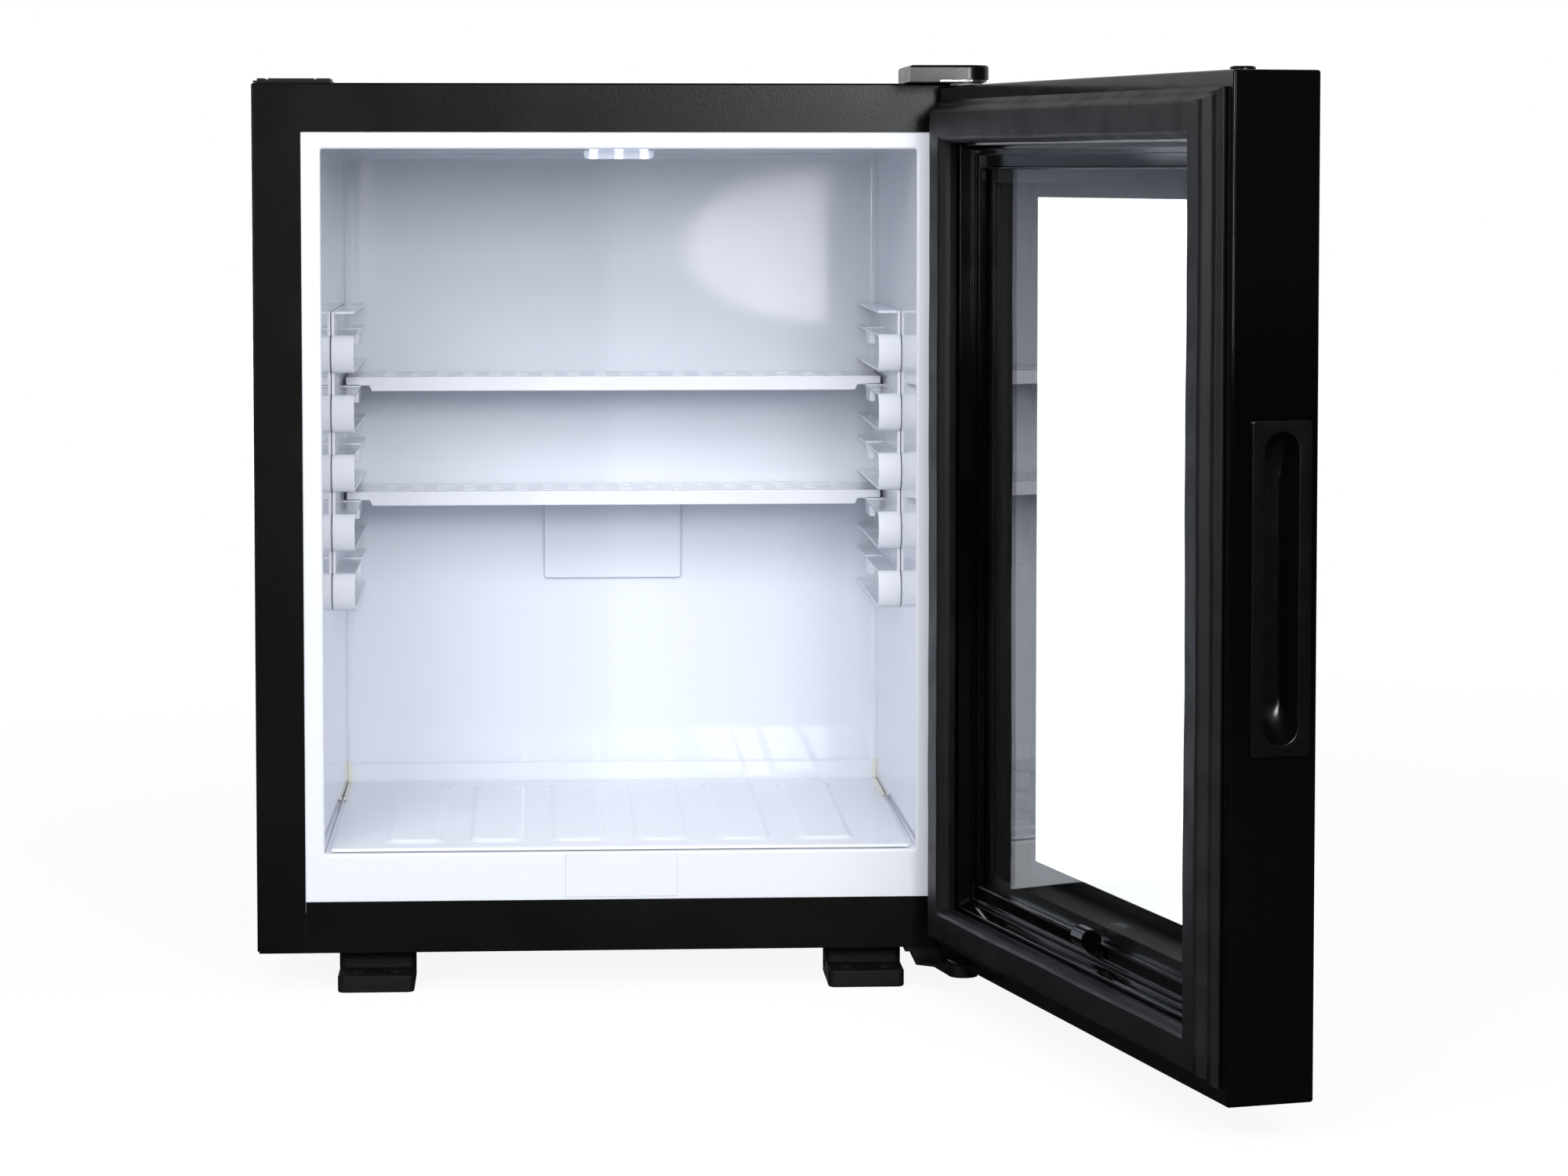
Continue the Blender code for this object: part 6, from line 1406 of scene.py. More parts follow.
@dataclass
class Hinges:
    """The top hinge's cover and the door's two bushes."""

    cover_left: float = 156.0
    cover_back: float = 42.0
    cover_low: float = 477.3
    cover_height: float = 9.0
    cover_wall: float = 1.5
    cover_round: float = 1.6
    nose: float = 12.6
    notch_left: float = 172.0
    notch_right: float = 230.0
    notch_reach: float = 26.0
    notch_height: float = 1.2
    pivot_depth: float = -21.5
    door_gap: float = 11.5
    bush_radius: float = 5.0
    flange_radius: float = 8.5
    flange: float = 1.1
    bore: float = 3.1
    bush_length: float = 20.0
    door_top: float = 475.2
    door_bottom: float = -2.5

    def plan(self, inset: float) -> np.ndarray:
        """Plan of the top hinge: straight back, left and front, with a quarter circle round the pivot.

        Args:
            inset: How far its sides move in.

        Returns:
            The outline as (x, depth) points.
        """
        angle = np.linspace(-math.pi / 2, 0, 13)
        radius = self.nose - inset
        arc = np.column_stack((PIVOT_X + radius * np.cos(angle), self.pivot_depth + radius * np.sin(angle)))
        left, back = self.cover_left + inset, self.cover_back - inset
        return np.vstack(([(left, back), (left, self.pivot_depth - radius)], arc, [(PIVOT_X + radius, back)]))

    def cover(self) -> Form:
        """Hollow cap: inside up, round the lower rim, and a quarter circle over the upper edge.

        Returns:
            The cover with the door's notch cut out.
        """
        top, low = self.cover_low + self.cover_height, self.cover_low
        inside = self.plan(self.cover_wall)
        rows = [lifted(inside, Axis.HEIGHT, top - self.cover_wall), lifted(inside, Axis.HEIGHT, low),
                lifted(self.plan(0), Axis.HEIGHT, low)]
        rows += [lifted(self.plan(self.cover_round * r), Axis.HEIGHT, top - self.cover_round * i)
                 for i, r in quarter(5)]
        notch = block((self.notch_left, self.pivot_depth - self.notch_reach, low - 1),
                      (self.notch_right, -self.door_gap, low + self.notch_height), 0.3)
        return combined(lattice(np.stack(rows)), notch, Cut.REMOVE)

    def bush(self, face: float, inward: int) -> Form:
        """A flanged bush turned about the hinge axis, with its blind bore.

        Args:
            face: Height of the door's face that it sits in.
            inward: Direction into the door along Z.

        Returns:
            The bush.
        """
        outside = face - inward * (GAP + self.flange)
        profile = [
            (self.bore, face + inward * (self.bush_length - 2)), (self.bore, outside),
            (self.flange_radius - 0.3, outside), (self.flange_radius, outside + inward * 0.3),
            (self.flange_radius, face - inward * GAP), (self.bush_radius, face - inward * GAP),
            (self.bush_radius, face + inward * self.bush_length),
        ]
        return turned(np.array(profile), (0, PIVOT_DEPTH, 0), Axis.HEIGHT, 48)

    def build(self, palette: Palette) -> None:
        """Builds and dresses the hinge pieces.

        Args:
            palette: The finishes.
        """
        palette.piece("hinge_cap", self.cover(), "black_satin", "top_hinge_cover")
        for name, face, inward, node in (("upper_bush", self.door_top, -1, "top_hinge_bush"),
                                         ("lower_bush", self.door_bottom, 1, "bottom_hinge_bush")):
            palette.piece(name, self.bush(face, inward), "grey_plastic", node, body=Body.DOOR)


# Door


@dataclass
class DoorLeaf:
    """The door: gloss frame, glazing bead, spacer, gasket, grip, frit and small parts; its glass stays the CAD
    model's.
    """

    left: float = -387.0
    right: float = 13.0
    low: float = -2.5
    high: float = 475.2
    thickness: float = 43.5
    corner: float = 1.2
    wall: float = 2.5
    border: float = 8.0
    rebate: float = 37.0
    rebate_width: float = 20.0
    rebate_thickness: float = 1.4
    groove_start: float = 18.0
    groove_width: float = 4.0
    grip_depth: float = 24.8
    grip_height: float = 237.35
    grip_half: tuple[float, float] = (8.4, 72.15)
    grip_margin: float = 1.3
    grip_floor: float = 14.5
    grip_plate: tuple[float, float] = (15.0, 77.6)
    grip_plate_thickness: float = 1.2
    holder_x: float = -205.0
    holder_height: float = 45.0
    spacer_inset: float = 40.0
    spacer_width: float = 12.3
    spacer_low: float = 14.9
    spacer_high: float = 37.0
    frit_start: float = 8.6
    frit_inset: float = 60.0
    frit_low: float = 37.08
    frit_high: float = 37.26
    pin_pitch: float = 8.5
    pin_radius: float = 0.55
    pin_depths: tuple[float, float] = (22.0, 30.0)
    spare_hole: float = 13.0
    bush_hole: float = 5.3
    wave: tuple[float, float] = (0.16, 0.08)
    sway: float = 0.14

    def track(self, radius: float = 0.0) -> Track:
        """The way round the door's outer edge."""
        return Track.round(self.left, self.right, self.low, self.high, radius)

    def grip_loop(self, half: Sequence[float], corner: float, into: float) -> np.ndarray:
        """A rounded rectangle about the grip's centre at one distance in from the free edge."""
        outline = centred((self.grip_depth, self.grip_height), half, corner, 10)
        return lifted(outline, Axis.ACROSS, self.left + into)

    def frame_form(self) -> Form:
        """The frame's section carried round, with the grip's and the bushes' holes cut out.

        Returns:
            The frame.
        """
        rebate, inner = self.rebate, self.rebate - self.rebate_thickness
        section = filleted([
            (0, 0), (0, self.thickness), (self.border, self.thickness), (self.border, rebate),
            (self.border + self.rebate_width, rebate), (self.border + self.rebate_width, inner),
            (self.wall, inner), (self.wall, self.wall), (self.groove_start, self.wall), (self.groove_start, 0),
        ], [1.3, 1.6, 0.8, 0.2, 0.2, 0.2, 0.3, 0.3, 0.2, 0.4])
        ring = self.track(self.corner).form(section)
        half = np.array(self.grip_half) + self.grip_margin
        hole = lattice(np.stack([self.grip_loop(half, half[0] - 0.01, into) for into in (-3, 6)]))
        bore = np.array([(self.bush_hole, -5.0), (self.bush_hole, 5.0)])
        places = [(0.0, self.high), (0.0, self.low), (self.left + self.spare_hole, self.high)]
        bores = [turned(bore, (x, PIVOT_DEPTH, z), Axis.HEIGHT, 32) for x, z in places]
        return combined(ring, Form.group([hole, *bores]), Cut.REMOVE)

    def bead_form(self) -> Form:
        """The glazing bead: from the gasket's groove down two steps to the inner glass, with a fine raised line.

        Returns:
            The bead.
        """
        start = self.groove_start + self.groove_width
        section = filleted([
            (start, 0), (32.6, 0), (34.6, 6.0), (37.3, 6.0), (37.5, 7.6), (43.6, 7.6), (44.0, 6.8), (44.8, 6.8),
            (45.2, 7.6), (45.2, 10.3), (32.6, 10.3), (30.6, self.wall), (start + self.wall, self.wall),
            (start + self.wall, 35.3), (start, 35.3),
        ], [0.4, 0.7, 0.5, 0.4, 0.3, 0.15, 0.15, 0.2, 0.2, 0.2, 0.3, 0.3, 0.3, 0.2, 0.2])
        return self.track().form(section)

    def gasket_form(self) -> Form:
        """The soft profile carried round, as four lengths that meet in mitred welds.

        Between the welds the profile wavers: its depth and its inset shift by a few tenths of a millimetre along
        sines that vanish at each weld and on the rigid dart in the groove.

        Returns:
            The gasket.
        """
        crest, outer, inner, top, end = -11.2, 7.4, 31.2, 14.5, 27.8
        skirt, slope = top - outer, inner - end
        groove = self.groove_start + self.groove_width / 2
        section = filleted([
            (outer + 0.08 * skirt, -GAP), (outer, 0.15 * crest), (outer + 0.28 * skirt, 0.41 * crest),
            (outer + 0.56 * skirt, 0.51 * crest), (outer + 0.8 * skirt, 0.91 * crest), (top, crest), (end, crest),
            (end + 0.4 * slope, 0.9 * crest), (end + 0.8 * slope, 0.68 * crest), (inner, 0.45 * crest),
            (end + 0.8 * slope, 0.12 * crest), (end + 0.3 * slope, -GAP),
            (groove + 1.2, -GAP), (groove + 1.2, 5.5), (groove + 1.7, 6.2), (groove, 7.2), (groove - 1.7, 6.2),
            (groove - 1.2, 5.5), (groove - 1.2, -GAP),
        ], [0.3, 0.7, 2.0, 1.4, 1.5, 1.6, 1.0, 1.0, 2.0, 2.0, 0.6, 0.3] + [0.1] * 7, 4)
        pieces = 48
        grid = self.track().carry(section, pieces)
        side = np.arange(4)[:, None] + np.arange(pieces) / pieces
        share = (side % 1).ravel()[:, None]
        number = np.floor(side).ravel()[:, None]
        soft = np.clip((-section[:, 1] - 1.5) / 5.0, 0, 1)[None, :]
        fade = np.clip(np.sin(math.pi * share) * 3, 0, 1) * soft
        slow, fast = self.wave
        wave = slow * np.sin(2 * math.pi * (2.3 * share + 0.31 * number)) + fast * np.sin(
            2 * math.pi * (7.7 * share + 0.17 * number))
        grid[..., 1] += fade * wave
        sway = self.sway * fade * np.sin(2 * math.pi * (2.3 * share + 0.43 * number))
        upright = number % 2 == 1
        grid[..., 0] += np.where(upright, sway, 0)
        grid[..., 2] += np.where(upright, 0, sway)
        return lattice(grid, ring=True)

    def grip_form(self) -> Form:
        """The grip insert: back of the cup, plate, round lip and the scooped cup, row by row.

        With w as half the cup's width, at a share s of its depth the outline has closed in by
        0.5 w (1 - root(1 - s^2)) at the sides and by 2.6 w (1 - root(1 - s^2)) at the ends, so the ends run out in
        a long curve.

        Returns:
            The grip.
        """
        half, plate = np.array(self.grip_half), np.array(self.grip_plate)
        wide, tall = self.grip_half
        face = -GAP - self.grip_plate_thickness
        rows = [
            ((wide - 1, tall + 1 - 1.6 * wide), wide - 1.05, self.grip_floor + 1),
            ((wide + 1, tall + 1 - 0.4 * wide), wide + 0.95, self.grip_floor * 0.6),
            (half + 1, wide + 0.95, 1.0), (half + 1, wide + 0.95, -GAP),
            (plate, 1.6, -GAP), (plate, 1.6, face + 0.5), (plate - 0.15, 1.5, face + 0.15), (plate - 0.5, 1.3, face),
            (half + 0.7, wide + 0.65, face), (half + 0.2, wide + 0.15, face + 0.2), (half, wide - 0.05, face + 0.8),
        ]
        for share in np.linspace(0.06, 0.98, 12):
            bow = 1 - math.sqrt(1 - share ** 2)
            narrow = wide - 0.5 * wide * bow
            rows.append(((narrow, tall - 2.6 * wide * bow), narrow * 0.99,
                         face + 0.8 + (self.grip_floor + GAP) * share))
        return lattice(np.stack([self.grip_loop(*row) for row in rows]))

    def holder_form(self) -> Form:
        """The switch magnet's round holder with its foot on the bead.

        Returns:
            The holder.
        """
        depth = 1.5
        barrel = np.array([(3.1, -6.5), (3.1, 8), (4.9, 8), (5.5, 7.4), (5.5, -7.4), (4.9, -8), (0.4, -8),
                           (0.4, -6.5)])
        round_part = turned(barrel, (self.holder_x, depth, self.holder_height), Axis.ACROSS, 40, ring=True)
        neck = block((self.holder_x - 7.2, 4.6, 35.9), (self.holder_x + 7.2, 7.0, 43.4), 0.5)
        foot = block((self.holder_x - 10.8, 5.7, 35.6), (self.holder_x + 10.8, 7.3, 40.5), 0.5)
        return Form.group([round_part, neck, foot])

    def plug_form(self) -> Form:
        """The plug of the unused hinge hole: a stem with a low domed brim.

        Returns:
            The plug.
        """
        top = self.high
        profile = [(5.0, top - 5), (5.0, top + 0.3), (6.0, top + 0.3), (6.0, top + 0.9), (5.6, top + 1.5),
                   (4.6, top + 1.8)]
        return turned(np.array(profile), (self.left + self.spare_hole, PIVOT_DEPTH, 0), Axis.HEIGHT, 40)

    def pinholes(self) -> Form:
        """The spacer's two rows of vent holes: small sunk discs at an even pitch along all four sides.

        Returns:
            All the discs in one form.
        """
        inset = self.spacer_inset + self.spacer_width + 0.03
        angle = np.linspace(0, 2 * math.pi, 10, endpoint=False)
        width, height = (self.left, self.right), (self.low, self.high)
        forms = []
        for depth in self.pin_depths:
            for column, ends, runs in ((0, width, height), (2, height, width)):
                for fixed, inward in ((ends[0] + inset, 0.04), (ends[1] - inset, -0.04)):
                    for level in np.arange(runs[0] + inset + 6, runs[1] - inset - 4, self.pin_pitch):
                        disc = np.empty((2, len(angle), 3))
                        disc[..., column] = [[fixed], [fixed + inward]]
                        disc[..., 1] = depth + self.pin_radius * np.cos(angle)
                        disc[..., 2 - column] = level + self.pin_radius * np.sin(angle)
                        forms.append(lattice(disc))
        return Form.group(forms)

    def build(self, palette: Palette) -> None:
        """Builds and dresses the door's own pieces; its glass is the CAD model's and its bushes come with the hinges.

        Args:
            palette: The finishes.
        """
        near, far = self.spacer_inset, self.spacer_inset + self.spacer_width
        spacer = filleted([(near, self.spacer_low), (near, self.spacer_high), (far, self.spacer_high),
                           (far, self.spacer_low)], 0.4, 3)
        for name, form, slot, node, sharp in (
            ("door_moulding", self.frame_form(), "black_gloss", "door_frame", 38),
            ("glazing_bead", self.bead_form(), "black_gloss", "door_inner_frame", 30),
            ("door_seal", self.gasket_form(), "gasket", "door_gasket", 50),
            ("grip_cup", self.grip_form(), "black_satin", "handle_insert", 38),
            ("magnet_barrel", self.holder_form(), "black_gloss", "switch_magnet_holder", 38),
            ("hinge_hole_plug", self.plug_form(), "black_satin", "door_top_plug", 38),
            ("spacer_bar", self.track().form(spacer), "spacer", "glass_spacer", 38),
        ):
            palette.piece(name, form, slot, node, body=Body.DOOR, sharp=sharp)
        palette.piece("spacer_vents", self.pinholes(), "spacer", body=Body.DOOR, finish="magnet")
        frit = np.array([(self.frit_start, self.frit_low), (self.frit_start, self.frit_high),
                         (self.frit_inset, self.frit_high), (self.frit_inset, self.frit_low)])
        palette.piece("frit_border", self.track().form(frit), "black_gloss", body=Body.DOOR, finish="frit")


# Cooling unit


@dataclass
class CoolingUnit:
    """Absorption unit on the back: vessel, coil, lines, condenser and boiler."""

    depth: float = 334.0
    tube_radius: float = 6.0
    vessel_radius: float = 22.0
    vessel_half: float = 105.0
    vessel_height: float = 45.0
    coil: tuple[float, float] = (-110.0, 75.0)
    coil_first: float = 98.0
    coil_pitch: float = 30.0
    coil_runs: int = 4
    coil_bend: float = 14.0
    condenser_height: float = 425.0
    condenser_half: float = 115.0
    condenser_fall: float = 4.0
    fins: int = 13
    fin_pitch: float = 15.0
    fin_half: float = 26.0
    fin_thickness: float = 0.8
    fin_corner: float = 2.0
    boiler_x: float = 150.0
    boiler_radius: float = 25.0
    boiler: tuple[float, float] = (62.0, 292.0)
    block_back: float = 272.6
    ports: float = 216.8

    def vessel(self) -> Form:
        """Lying cylinder with domed ends: a quarter ellipse 0.45 radius long at each end.

        Returns:
            The vessel.
        """
        turn = np.linspace(0.12, math.pi / 2, 9)
        dome = 0.45 * self.vessel_radius
        left = np.column_stack((self.vessel_radius * np.sin(turn), -self.vessel_half + dome * (1 - np.cos(turn))))
        right = left[::-1] * np.array([1, -1])
        middle = sum(self.coil) / 2
        return turned(np.vstack((left, right)), (middle, self.depth, self.vessel_height), Axis.ACROSS, 64)

    def coil_form(self) -> Form:
        """One tube up from the vessel and to and fro through its runs.

        Returns:
            The coil.
        """
        left, right = self.coil
        start = left + 3 * self.tube_radius
        corners = [(start, self.depth, self.vessel_height + self.vessel_radius + GAP),
                   (start, self.depth, self.coil_first)]
        for run in range(self.coil_runs):
            height = self.coil_first + run * self.coil_pitch
            far = right if run % 2 == 0 else left
            corners.append((far, self.depth, height))
            if run < self.coil_runs - 1:
                corners.append((far, self.depth, height + self.coil_pitch))
        return tube(rounded_path(corners, self.coil_bend), self.tube_radius, 24)

    def coil_top(self) -> float:
        """Height of the coil's last run."""
        return self.coil_first + (self.coil_runs - 1) * self.coil_pitch

    def vapour_line(self) -> Form:
        """From the boiler's top to the condenser's high end.

        Returns:
            The line.
        """
        corners = [(self.boiler_x, self.depth, self.boiler[1] + GAP),
                   (self.boiler_x, self.depth, self.condenser_height),
                   (self.condenser_half + GAP, self.depth, self.condenser_height)]
        return tube(rounded_path(corners, 2.2 * self.tube_radius), self.tube_radius, 24)

    def liquid_line(self) -> Form:
        """From the condenser's low end down and across to the evaporator.

        Returns:
            The line.
        """
        drop = -self.condenser_half - 3 * self.tube_radius
        across = self.coil_top() + 2 * self.coil_pitch
        low_end = self.condenser_height - self.condenser_fall
        inner = self.depth - 3 * self.tube_radius
        corners = [(-self.condenser_half - GAP, self.depth, low_end), (drop, self.depth, low_end),
                   (drop, self.depth, across), (19, self.depth, across), (19, inner, self.ports),
                   (19, self.block_back, self.ports)]
        return tube(rounded_path(corners, 2.2 * self.tube_radius), 0.75 * self.tube_radius, 20)

    def gas_line(self) -> Form:
        """From the evaporator back down to the coil's upper end.

        Returns:
            The line.
        """
        end = self.coil[0] - GAP
        turn = end - 3 * self.tube_radius
        inner = self.depth - 3 * self.tube_radius
        corners = [(-19, self.block_back, self.ports), (-19, inner, self.ports), (turn, inner, self.ports),
                   (turn, self.depth, self.coil_top() + self.coil_pitch / 2), (turn, self.depth, self.coil_top()),
                   (end, self.depth, self.coil_top())]
        return tube(rounded_path(corners, 2.2 * self.tube_radius), self.tube_radius, 24)

    def condenser(self) -> Form:
        """Sloping tube with square fins, each a thin slab with a pressed collar round the tube.

        Returns:
            The tube with its fins.
        """
        half, fall = self.condenser_half, self.condenser_fall
        path = np.array([(-half, self.depth, self.condenser_height - fall), (half, self.depth, self.condenser_height)])
        steps = np.linspace(0, 1, 9)[:, None]
        parts = [tube(path[0] + (path[1] - path[0]) * steps, self.tube_radius, 24)]
        place = (np.arange(self.fins) - (self.fins - 1) / 2) * self.fin_pitch
        outline = centred((self.depth, self.condenser_height), (self.fin_half, self.fin_half), self.fin_corner, 3)
        collar = np.array([(6.2, -0.4), (7.4, -0.4), (7.0, 2.2), (6.2, 2.2)])
        for x in place:
            parts.append(slab(outline, Axis.ACROSS, x - self.fin_thickness / 2, x + self.fin_thickness / 2, 0.2, 1))
            height = self.condenser_height - fall / 2 + fall * x / (2 * half)
            parts.append(turned(collar, (x, self.depth, height), Axis.ACROSS, 24, ring=True))
        return Form.group(parts)

    def boiler_form(self) -> Form:
        """Upright jacket with crimped seams near both ends and the heater's pocket below.

        Returns:
            The boiler case.
        """
        low, high = self.boiler
        radius = self.boiler_radius
        profile = filleted([
            (5.3, low + 80), (5.3, low), (radius - 1.0, low), (radius - 1.0, low + 5), (radius, low + 6.5),
            (radius, low + 9), (radius - 0.7, low + 10.5), (radius - 0.7, high - 10.5), (radius, high - 9),
            (radius, high - 6.5), (radius - 1.0, high - 5), (radius - 1.0, high), (7.5, high), (7.5, high - 1.0),
        ], 0.8, 3)
        return turned(profile, (self.boiler_x, self.depth, 0), Axis.HEIGHT, 64)

    def build(self, palette: Palette) -> None:
        """Builds and dresses the unit.

        Args:
            palette: The finishes.
        """
        for name, form, node in (
            ("domed_vessel", self.vessel(), "absorber_vessel"), ("bent_coil", self.coil_form(), "absorber_coil"),
            ("vapour_tube", self.vapour_line(), "vapour_line"), ("liquid_tube", self.liquid_line(), "liquid_line"),
            ("gas_tube", self.gas_line(), "gas_return_line"), ("finned_condenser", self.condenser(), "condenser"),
        ):
            palette.piece(name, form, "unit_tube", node)
        palette.piece("crimped_boiler", self.boiler_form(), "boiler_jacket", "boiler_case")


# Studio


@dataclass(frozen=True)
class Lamp:
    """A soft rectangular lamp that the camera itself never sees; lengths are in metres.

    Attributes:
        name: The lamp's name.
        place: Where it hangs.
        aim: The point that it faces.
        size: Width and height.
        power: Power in watts.
        glossy: Whether gloss shows it.
        through: Whether it shines through the panes.
    """

    name: str
    place: tuple[float, float, float]
    aim: tuple[float, float, float]
    size: tuple[float, float]
    power: float
    glossy: bool = False
    through: bool = True

    def build(self) -> None:
        """Hangs the lamp in the scene."""
        data = bpy.data.lights.new(self.name, "AREA")
        data.shape, data.size, data.size_y = "RECTANGLE", *self.size
        data.energy = self.power
        lamp = add_object(self.name, data)
        lamp.location = self.place
        lamp.rotation_euler = (Vector(self.aim) - Vector(self.place)).to_track_quat("-Z", "Y").to_euler()
        lamp.visible_camera = False
        lamp.visible_glossy = self.glossy
        lamp.visible_transmission = self.through


LAMPS = (
    Lamp("key", (-0.8, -1.85, 1.4), (0.05, 0, 0.2), (0.8, 0.7), 17.5),
    Lamp("second", (0.4, -1.95, 1.35), (-0.05, 0, 0.2), (0.8, 0.7), 11.5),
    Lamp("fill", (-0.15, -1.95, 0.72), (0, 0, 0.25), (1.4, 0.6), 11),
    # A narrow strip and a small one that the gloss black shows.
    Lamp("rim", (-1.25, -1.9, 0.5), (0.3, -0.6, 0.4), (0.07, 0.45), 4, glossy=True),
    Lamp("accent", (0.56, -1.95, 0.70), (0, 0, 0.4), (0.4, 0.35), 9, glossy=True),
    Lamp("top", (0.0, -0.5, 2.2), (0, 0, 0.4), (1.6, 1.2), 14),
    # Low behind the cabinet, so that the gasket's top doesn't mirror it.
    Lamp("rear", (-0.7, 2.0, 0.24), (0, 0.2, 0.24), (1.5, 0.42), 34, glossy=True, through=False),
)


@dataclass
class Studio:
    """Pale floor, white surroundings, soft lamps, two glowing panes and the camera; lengths are in metres.

    Attributes:
        floor_level: Height of the floor, where the feet stand.
        floor_half: Half the floor's width and depth.
        floor_paint: The floor in all light but the camera's own.
        floor_mirrored: The floor as gloss shows it, in front of the object.
        floor_back: From where to where, front to back, the mirrored floor turns from dark to its own paint.
        floor_fade: Distances from the object between which the floor turns wholly white.
        floor_white: Share of that white at the object.
        camera_place: The camera's place.
        camera_pitch: Its angle downwards in degrees.
        camera_yaw: Its angle to the right in degrees.
        camera_shift: Its upright shift.
        focal: Its focal length in millimetres.
        ambient: Light of the surroundings on matt faces.
        front_gloss: Brightness of the surroundings in reflections, in front.
        rear_gloss: The same behind the object.
        gloss_split: Between which directions, front to back, one turns into the other.
        through_glass: Brightness of the surroundings through glass, as each face takes some of it away.
        pane_depth: Where the glowing panes stand in front of the object.
        window_centre: Centre of the half-round pane's straight side.
        window_radii: Its radii across and up.
        window_glow: Its strength.
        strip_low: Lower left corner of the strip.
        strip_high: Upper right corner of the strip.
        strip_glow: Its strength.
    """

    floor_level: float = -0.0212
    floor_half: float = 9.0
    floor_paint: str = "#8C8C8E"
    floor_mirrored: str = "#2E2E2F"
    floor_back: tuple[float, float] = (0.4, 1.4)
    floor_fade: tuple[float, float] = (0.45, 1.5)
    floor_white: float = 0.91
    camera_place: tuple[float, float, float] = (-0.0456, -2.4824, 0.4280)
    camera_pitch: float = 3.515
    camera_yaw: float = 3.369
    camera_shift: float = -0.10
    focal: float = 96.46
    ambient: float = 0.2
    front_gloss: float = 0.04
    rear_gloss: float = 0.55
    gloss_split: tuple[float, float] = (0.1, 0.6)
    through_glass: float = 2.1
    pane_depth: float = -2.6
    window_centre: tuple[float, float] = (0.315, 0.335)
    window_radii: tuple[float, float] = (0.178, 0.092)
    window_glow: float = 4.6
    strip_low: tuple[float, float] = (-0.275, 0.27)
    strip_high: tuple[float, float] = (-0.246, 0.45)
    strip_glow: float = 1.0

    def seen(self, tree: Tree) -> tuple[Socket, Socket, Socket]:
        """How bright the white surroundings are for the camera: one directly, more where glass takes light away.

        Args:
            tree: The node tree that asks.

        Returns:
            A factor that is one for rays that a polished face mirrors, a factor that is one for the camera's own
            rays, and the brightness that those see.
        """
        rays = add_node(tree, "LightPath").outputs
        undimmed = calculated(tree, "LESS_THAN", rays["Diffuse Depth"], 0.5)
        glossy = calculated(tree, "GREATER_THAN", rays["Glossy Depth"], 0.5)
        mirrored = calculated(tree, "MULTIPLY", undimmed, glossy)
        straight = calculated(tree, "SUBTRACT", undimmed, mirrored)
        through = calculated(tree, "MULTIPLY", rays["Is Transmission Ray"], straight)
        factor = calculated(tree, "MAXIMUM", rays["Is Camera Ray"], through)
        return mirrored, factor, blended(tree, through, 1.0, self.through_glass)

    def stand(self, name: str, form: Form, material: bpy.types.Material) -> bpy.types.Object:
        """Sets up something of the studio that isn't part of the object.

        Args:
            name: Its name.
            form: Its form, in metres.
            material: Its finish.

        Returns:
            The object.
        """
        mesh = form.mesh(name)
        mesh.materials.append(material)
        piece = add_object("studio_" + name, mesh)
        return piece

    def floor(self) -> None:
        """A wide pale floor: white to the camera with the object's shadow, grey and dim to all other light."""
        steps = np.linspace(-self.floor_half, self.floor_half, 9)
        x, y = np.meshgrid(steps, steps, indexing="ij")
        sheet = lattice(np.stack((x, y, np.full(x.shape, self.floor_level)), axis=-1), closed=False, capped=False)
        material = bpy.data.materials.new("painted_studio_floor")
        tree = cleared(material)
        mirrored, factor, level = self.seen(tree)
        place = add_node(tree, "TexCoord").outputs["Object"]
        away = add_node(tree, "VectorMath", {"operation": "LENGTH"}, {0: place}).outputs["Value"]
        share = calculated(tree, "MULTIPLY", factor, ramp(tree, away, *self.floor_fade, self.floor_white))
        depth = add_node(tree, "SeparateXYZ", {}, {0: place}).outputs[1]
        front = ramp(tree, depth, *reversed(self.floor_back), smooth=False)
        dark = calculated(tree, "MULTIPLY", mirrored, front)
        dim = blended(tree, dark, linear(self.floor_paint), linear(self.floor_mirrored))
        paint = add_node(tree, "BsdfDiffuse", {}, {"Color": blended(tree, factor, dim, linear("#FFFFFF"))})
        white = add_node(tree, "Emission", {}, {"Color": (1, 1, 1, 1), "Strength": level})
        mix = add_node(tree, "MixShader", {}, {0: share, 1: paint.outputs[0], 2: white.outputs[0]})
        add_node(tree, "OutputMaterial", {}, {"Surface": mix.outputs[0]})
        self.stand("floor", Form(sheet.points, [face[::-1] for face in sheet.faces]), material)

    def surroundings(self) -> None:
        """White to the camera, through glass and behind the object in reflections; dim in front of it."""
        world = bpy.data.worlds.new("studio_white")
        tree = cleared(world)
        mirrored, factor, level = self.seen(tree)
        place = add_node(tree, "TexCoord").outputs["Generated"]
        depth = add_node(tree, "SeparateXYZ", {}, {0: place}).outputs[1]
        gloss = ramp(tree, depth, *self.gloss_split, self.front_gloss, self.rear_gloss)
        strength = blended(tree, factor, blended(tree, mirrored, self.ambient, gloss), level)
        back = add_node(tree, "Background", {}, {"Color": (1, 1, 1, 1), "Strength": strength})
        add_node(tree, "OutputWorld", {}, {"Surface": back.outputs[0]})
        bpy.context.scene.world = world

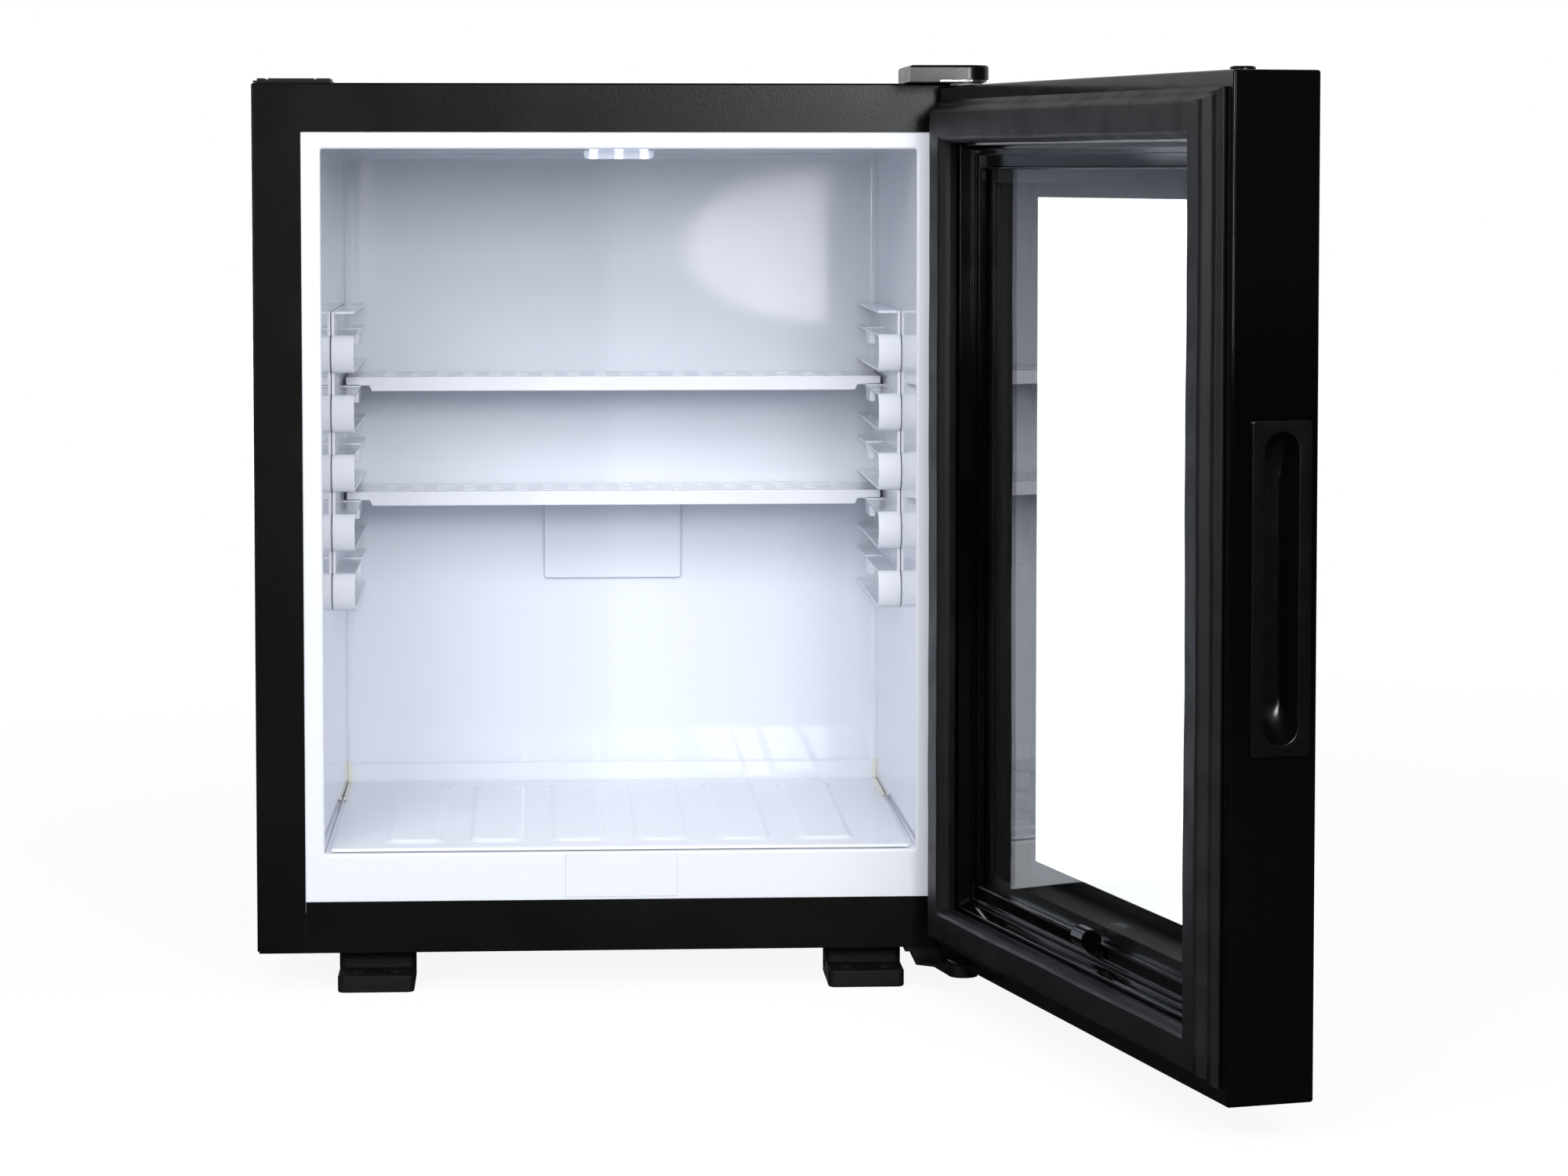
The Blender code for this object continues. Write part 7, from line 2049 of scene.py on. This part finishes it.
    def window(self) -> None:
        """A weak half-round window beside the camera that the liner's back wall mirrors, and a strip."""
        angle = np.linspace(math.pi / 2, 3 * math.pi / 2, 41)
        half_round = self.window_centre + self.window_radii * np.column_stack((np.cos(angle), np.sin(angle)))
        (left, low), (right, high) = self.strip_low, self.strip_high
        strip = np.array([(left, high), (right, high), (right, low), (left, low)])
        for name, outline, strength in (("window", half_round, self.window_glow), ("strip", strip, self.strip_glow)):
            material = bpy.data.materials.new("glowing_" + name)
            tree = cleared(material)
            glow = add_node(tree, "Emission", {}, {"Strength": strength})
            add_node(tree, "OutputMaterial", {}, {"Surface": glow.outputs[0]})
            pane = Form(lifted(outline, Axis.DEPTH, self.pane_depth), [list(range(len(outline)))])
            self.stand(name, pane, material).visible_camera = False

    def camera(self) -> None:
        """The photograph's viewpoint."""
        data = bpy.data.cameras.new("camera")
        data.lens, data.sensor_width, data.shift_y = self.focal, 36.0, self.camera_shift
        data.clip_start, data.clip_end = 0.05, 60.0
        camera = add_object("camera", data)
        camera.location = self.camera_place
        camera.rotation_euler = (math.radians(90 - self.camera_pitch), 0, math.radians(-self.camera_yaw))
        bpy.context.scene.camera = camera

    def build(self) -> None:
        """Sets up the whole studio."""
        bpy.context.scene.view_settings.view_transform = "Standard"
        self.floor()
        self.surroundings()
        for lamp in LAMPS:
            lamp.build()
        self.window()
        self.camera()


def main() -> None:
    """Builds every piece around the frame, then the studio."""
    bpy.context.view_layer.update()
    palette = Palette()
    palette.carry_over()
    CabinetShell().build(palette)
    Lining().build(palette)
    for side in Side:
        ShelfRack(side).build(palette)
    Shelf(Body.UPPER_SHELF, 308.0).build(palette)
    Shelf(Body.LOWER_SHELF, 240.2).build(palette)
    for name, x, front in (("foot_front_left", -135, -7), ("foot_front_right", 135, -7),
                           ("foot_rear_left", -135, 310), ("foot_rear_right", 135, 310)):
        Foot(name, x, front).build(palette)
    Hinges().build(palette)
    DoorLeaf().build(palette)
    CoolingUnit().build(palette)
    Studio().build()


if __name__ == "__main__":
    logging.basicConfig(level=logging.INFO, format="%(message)s")
    main()
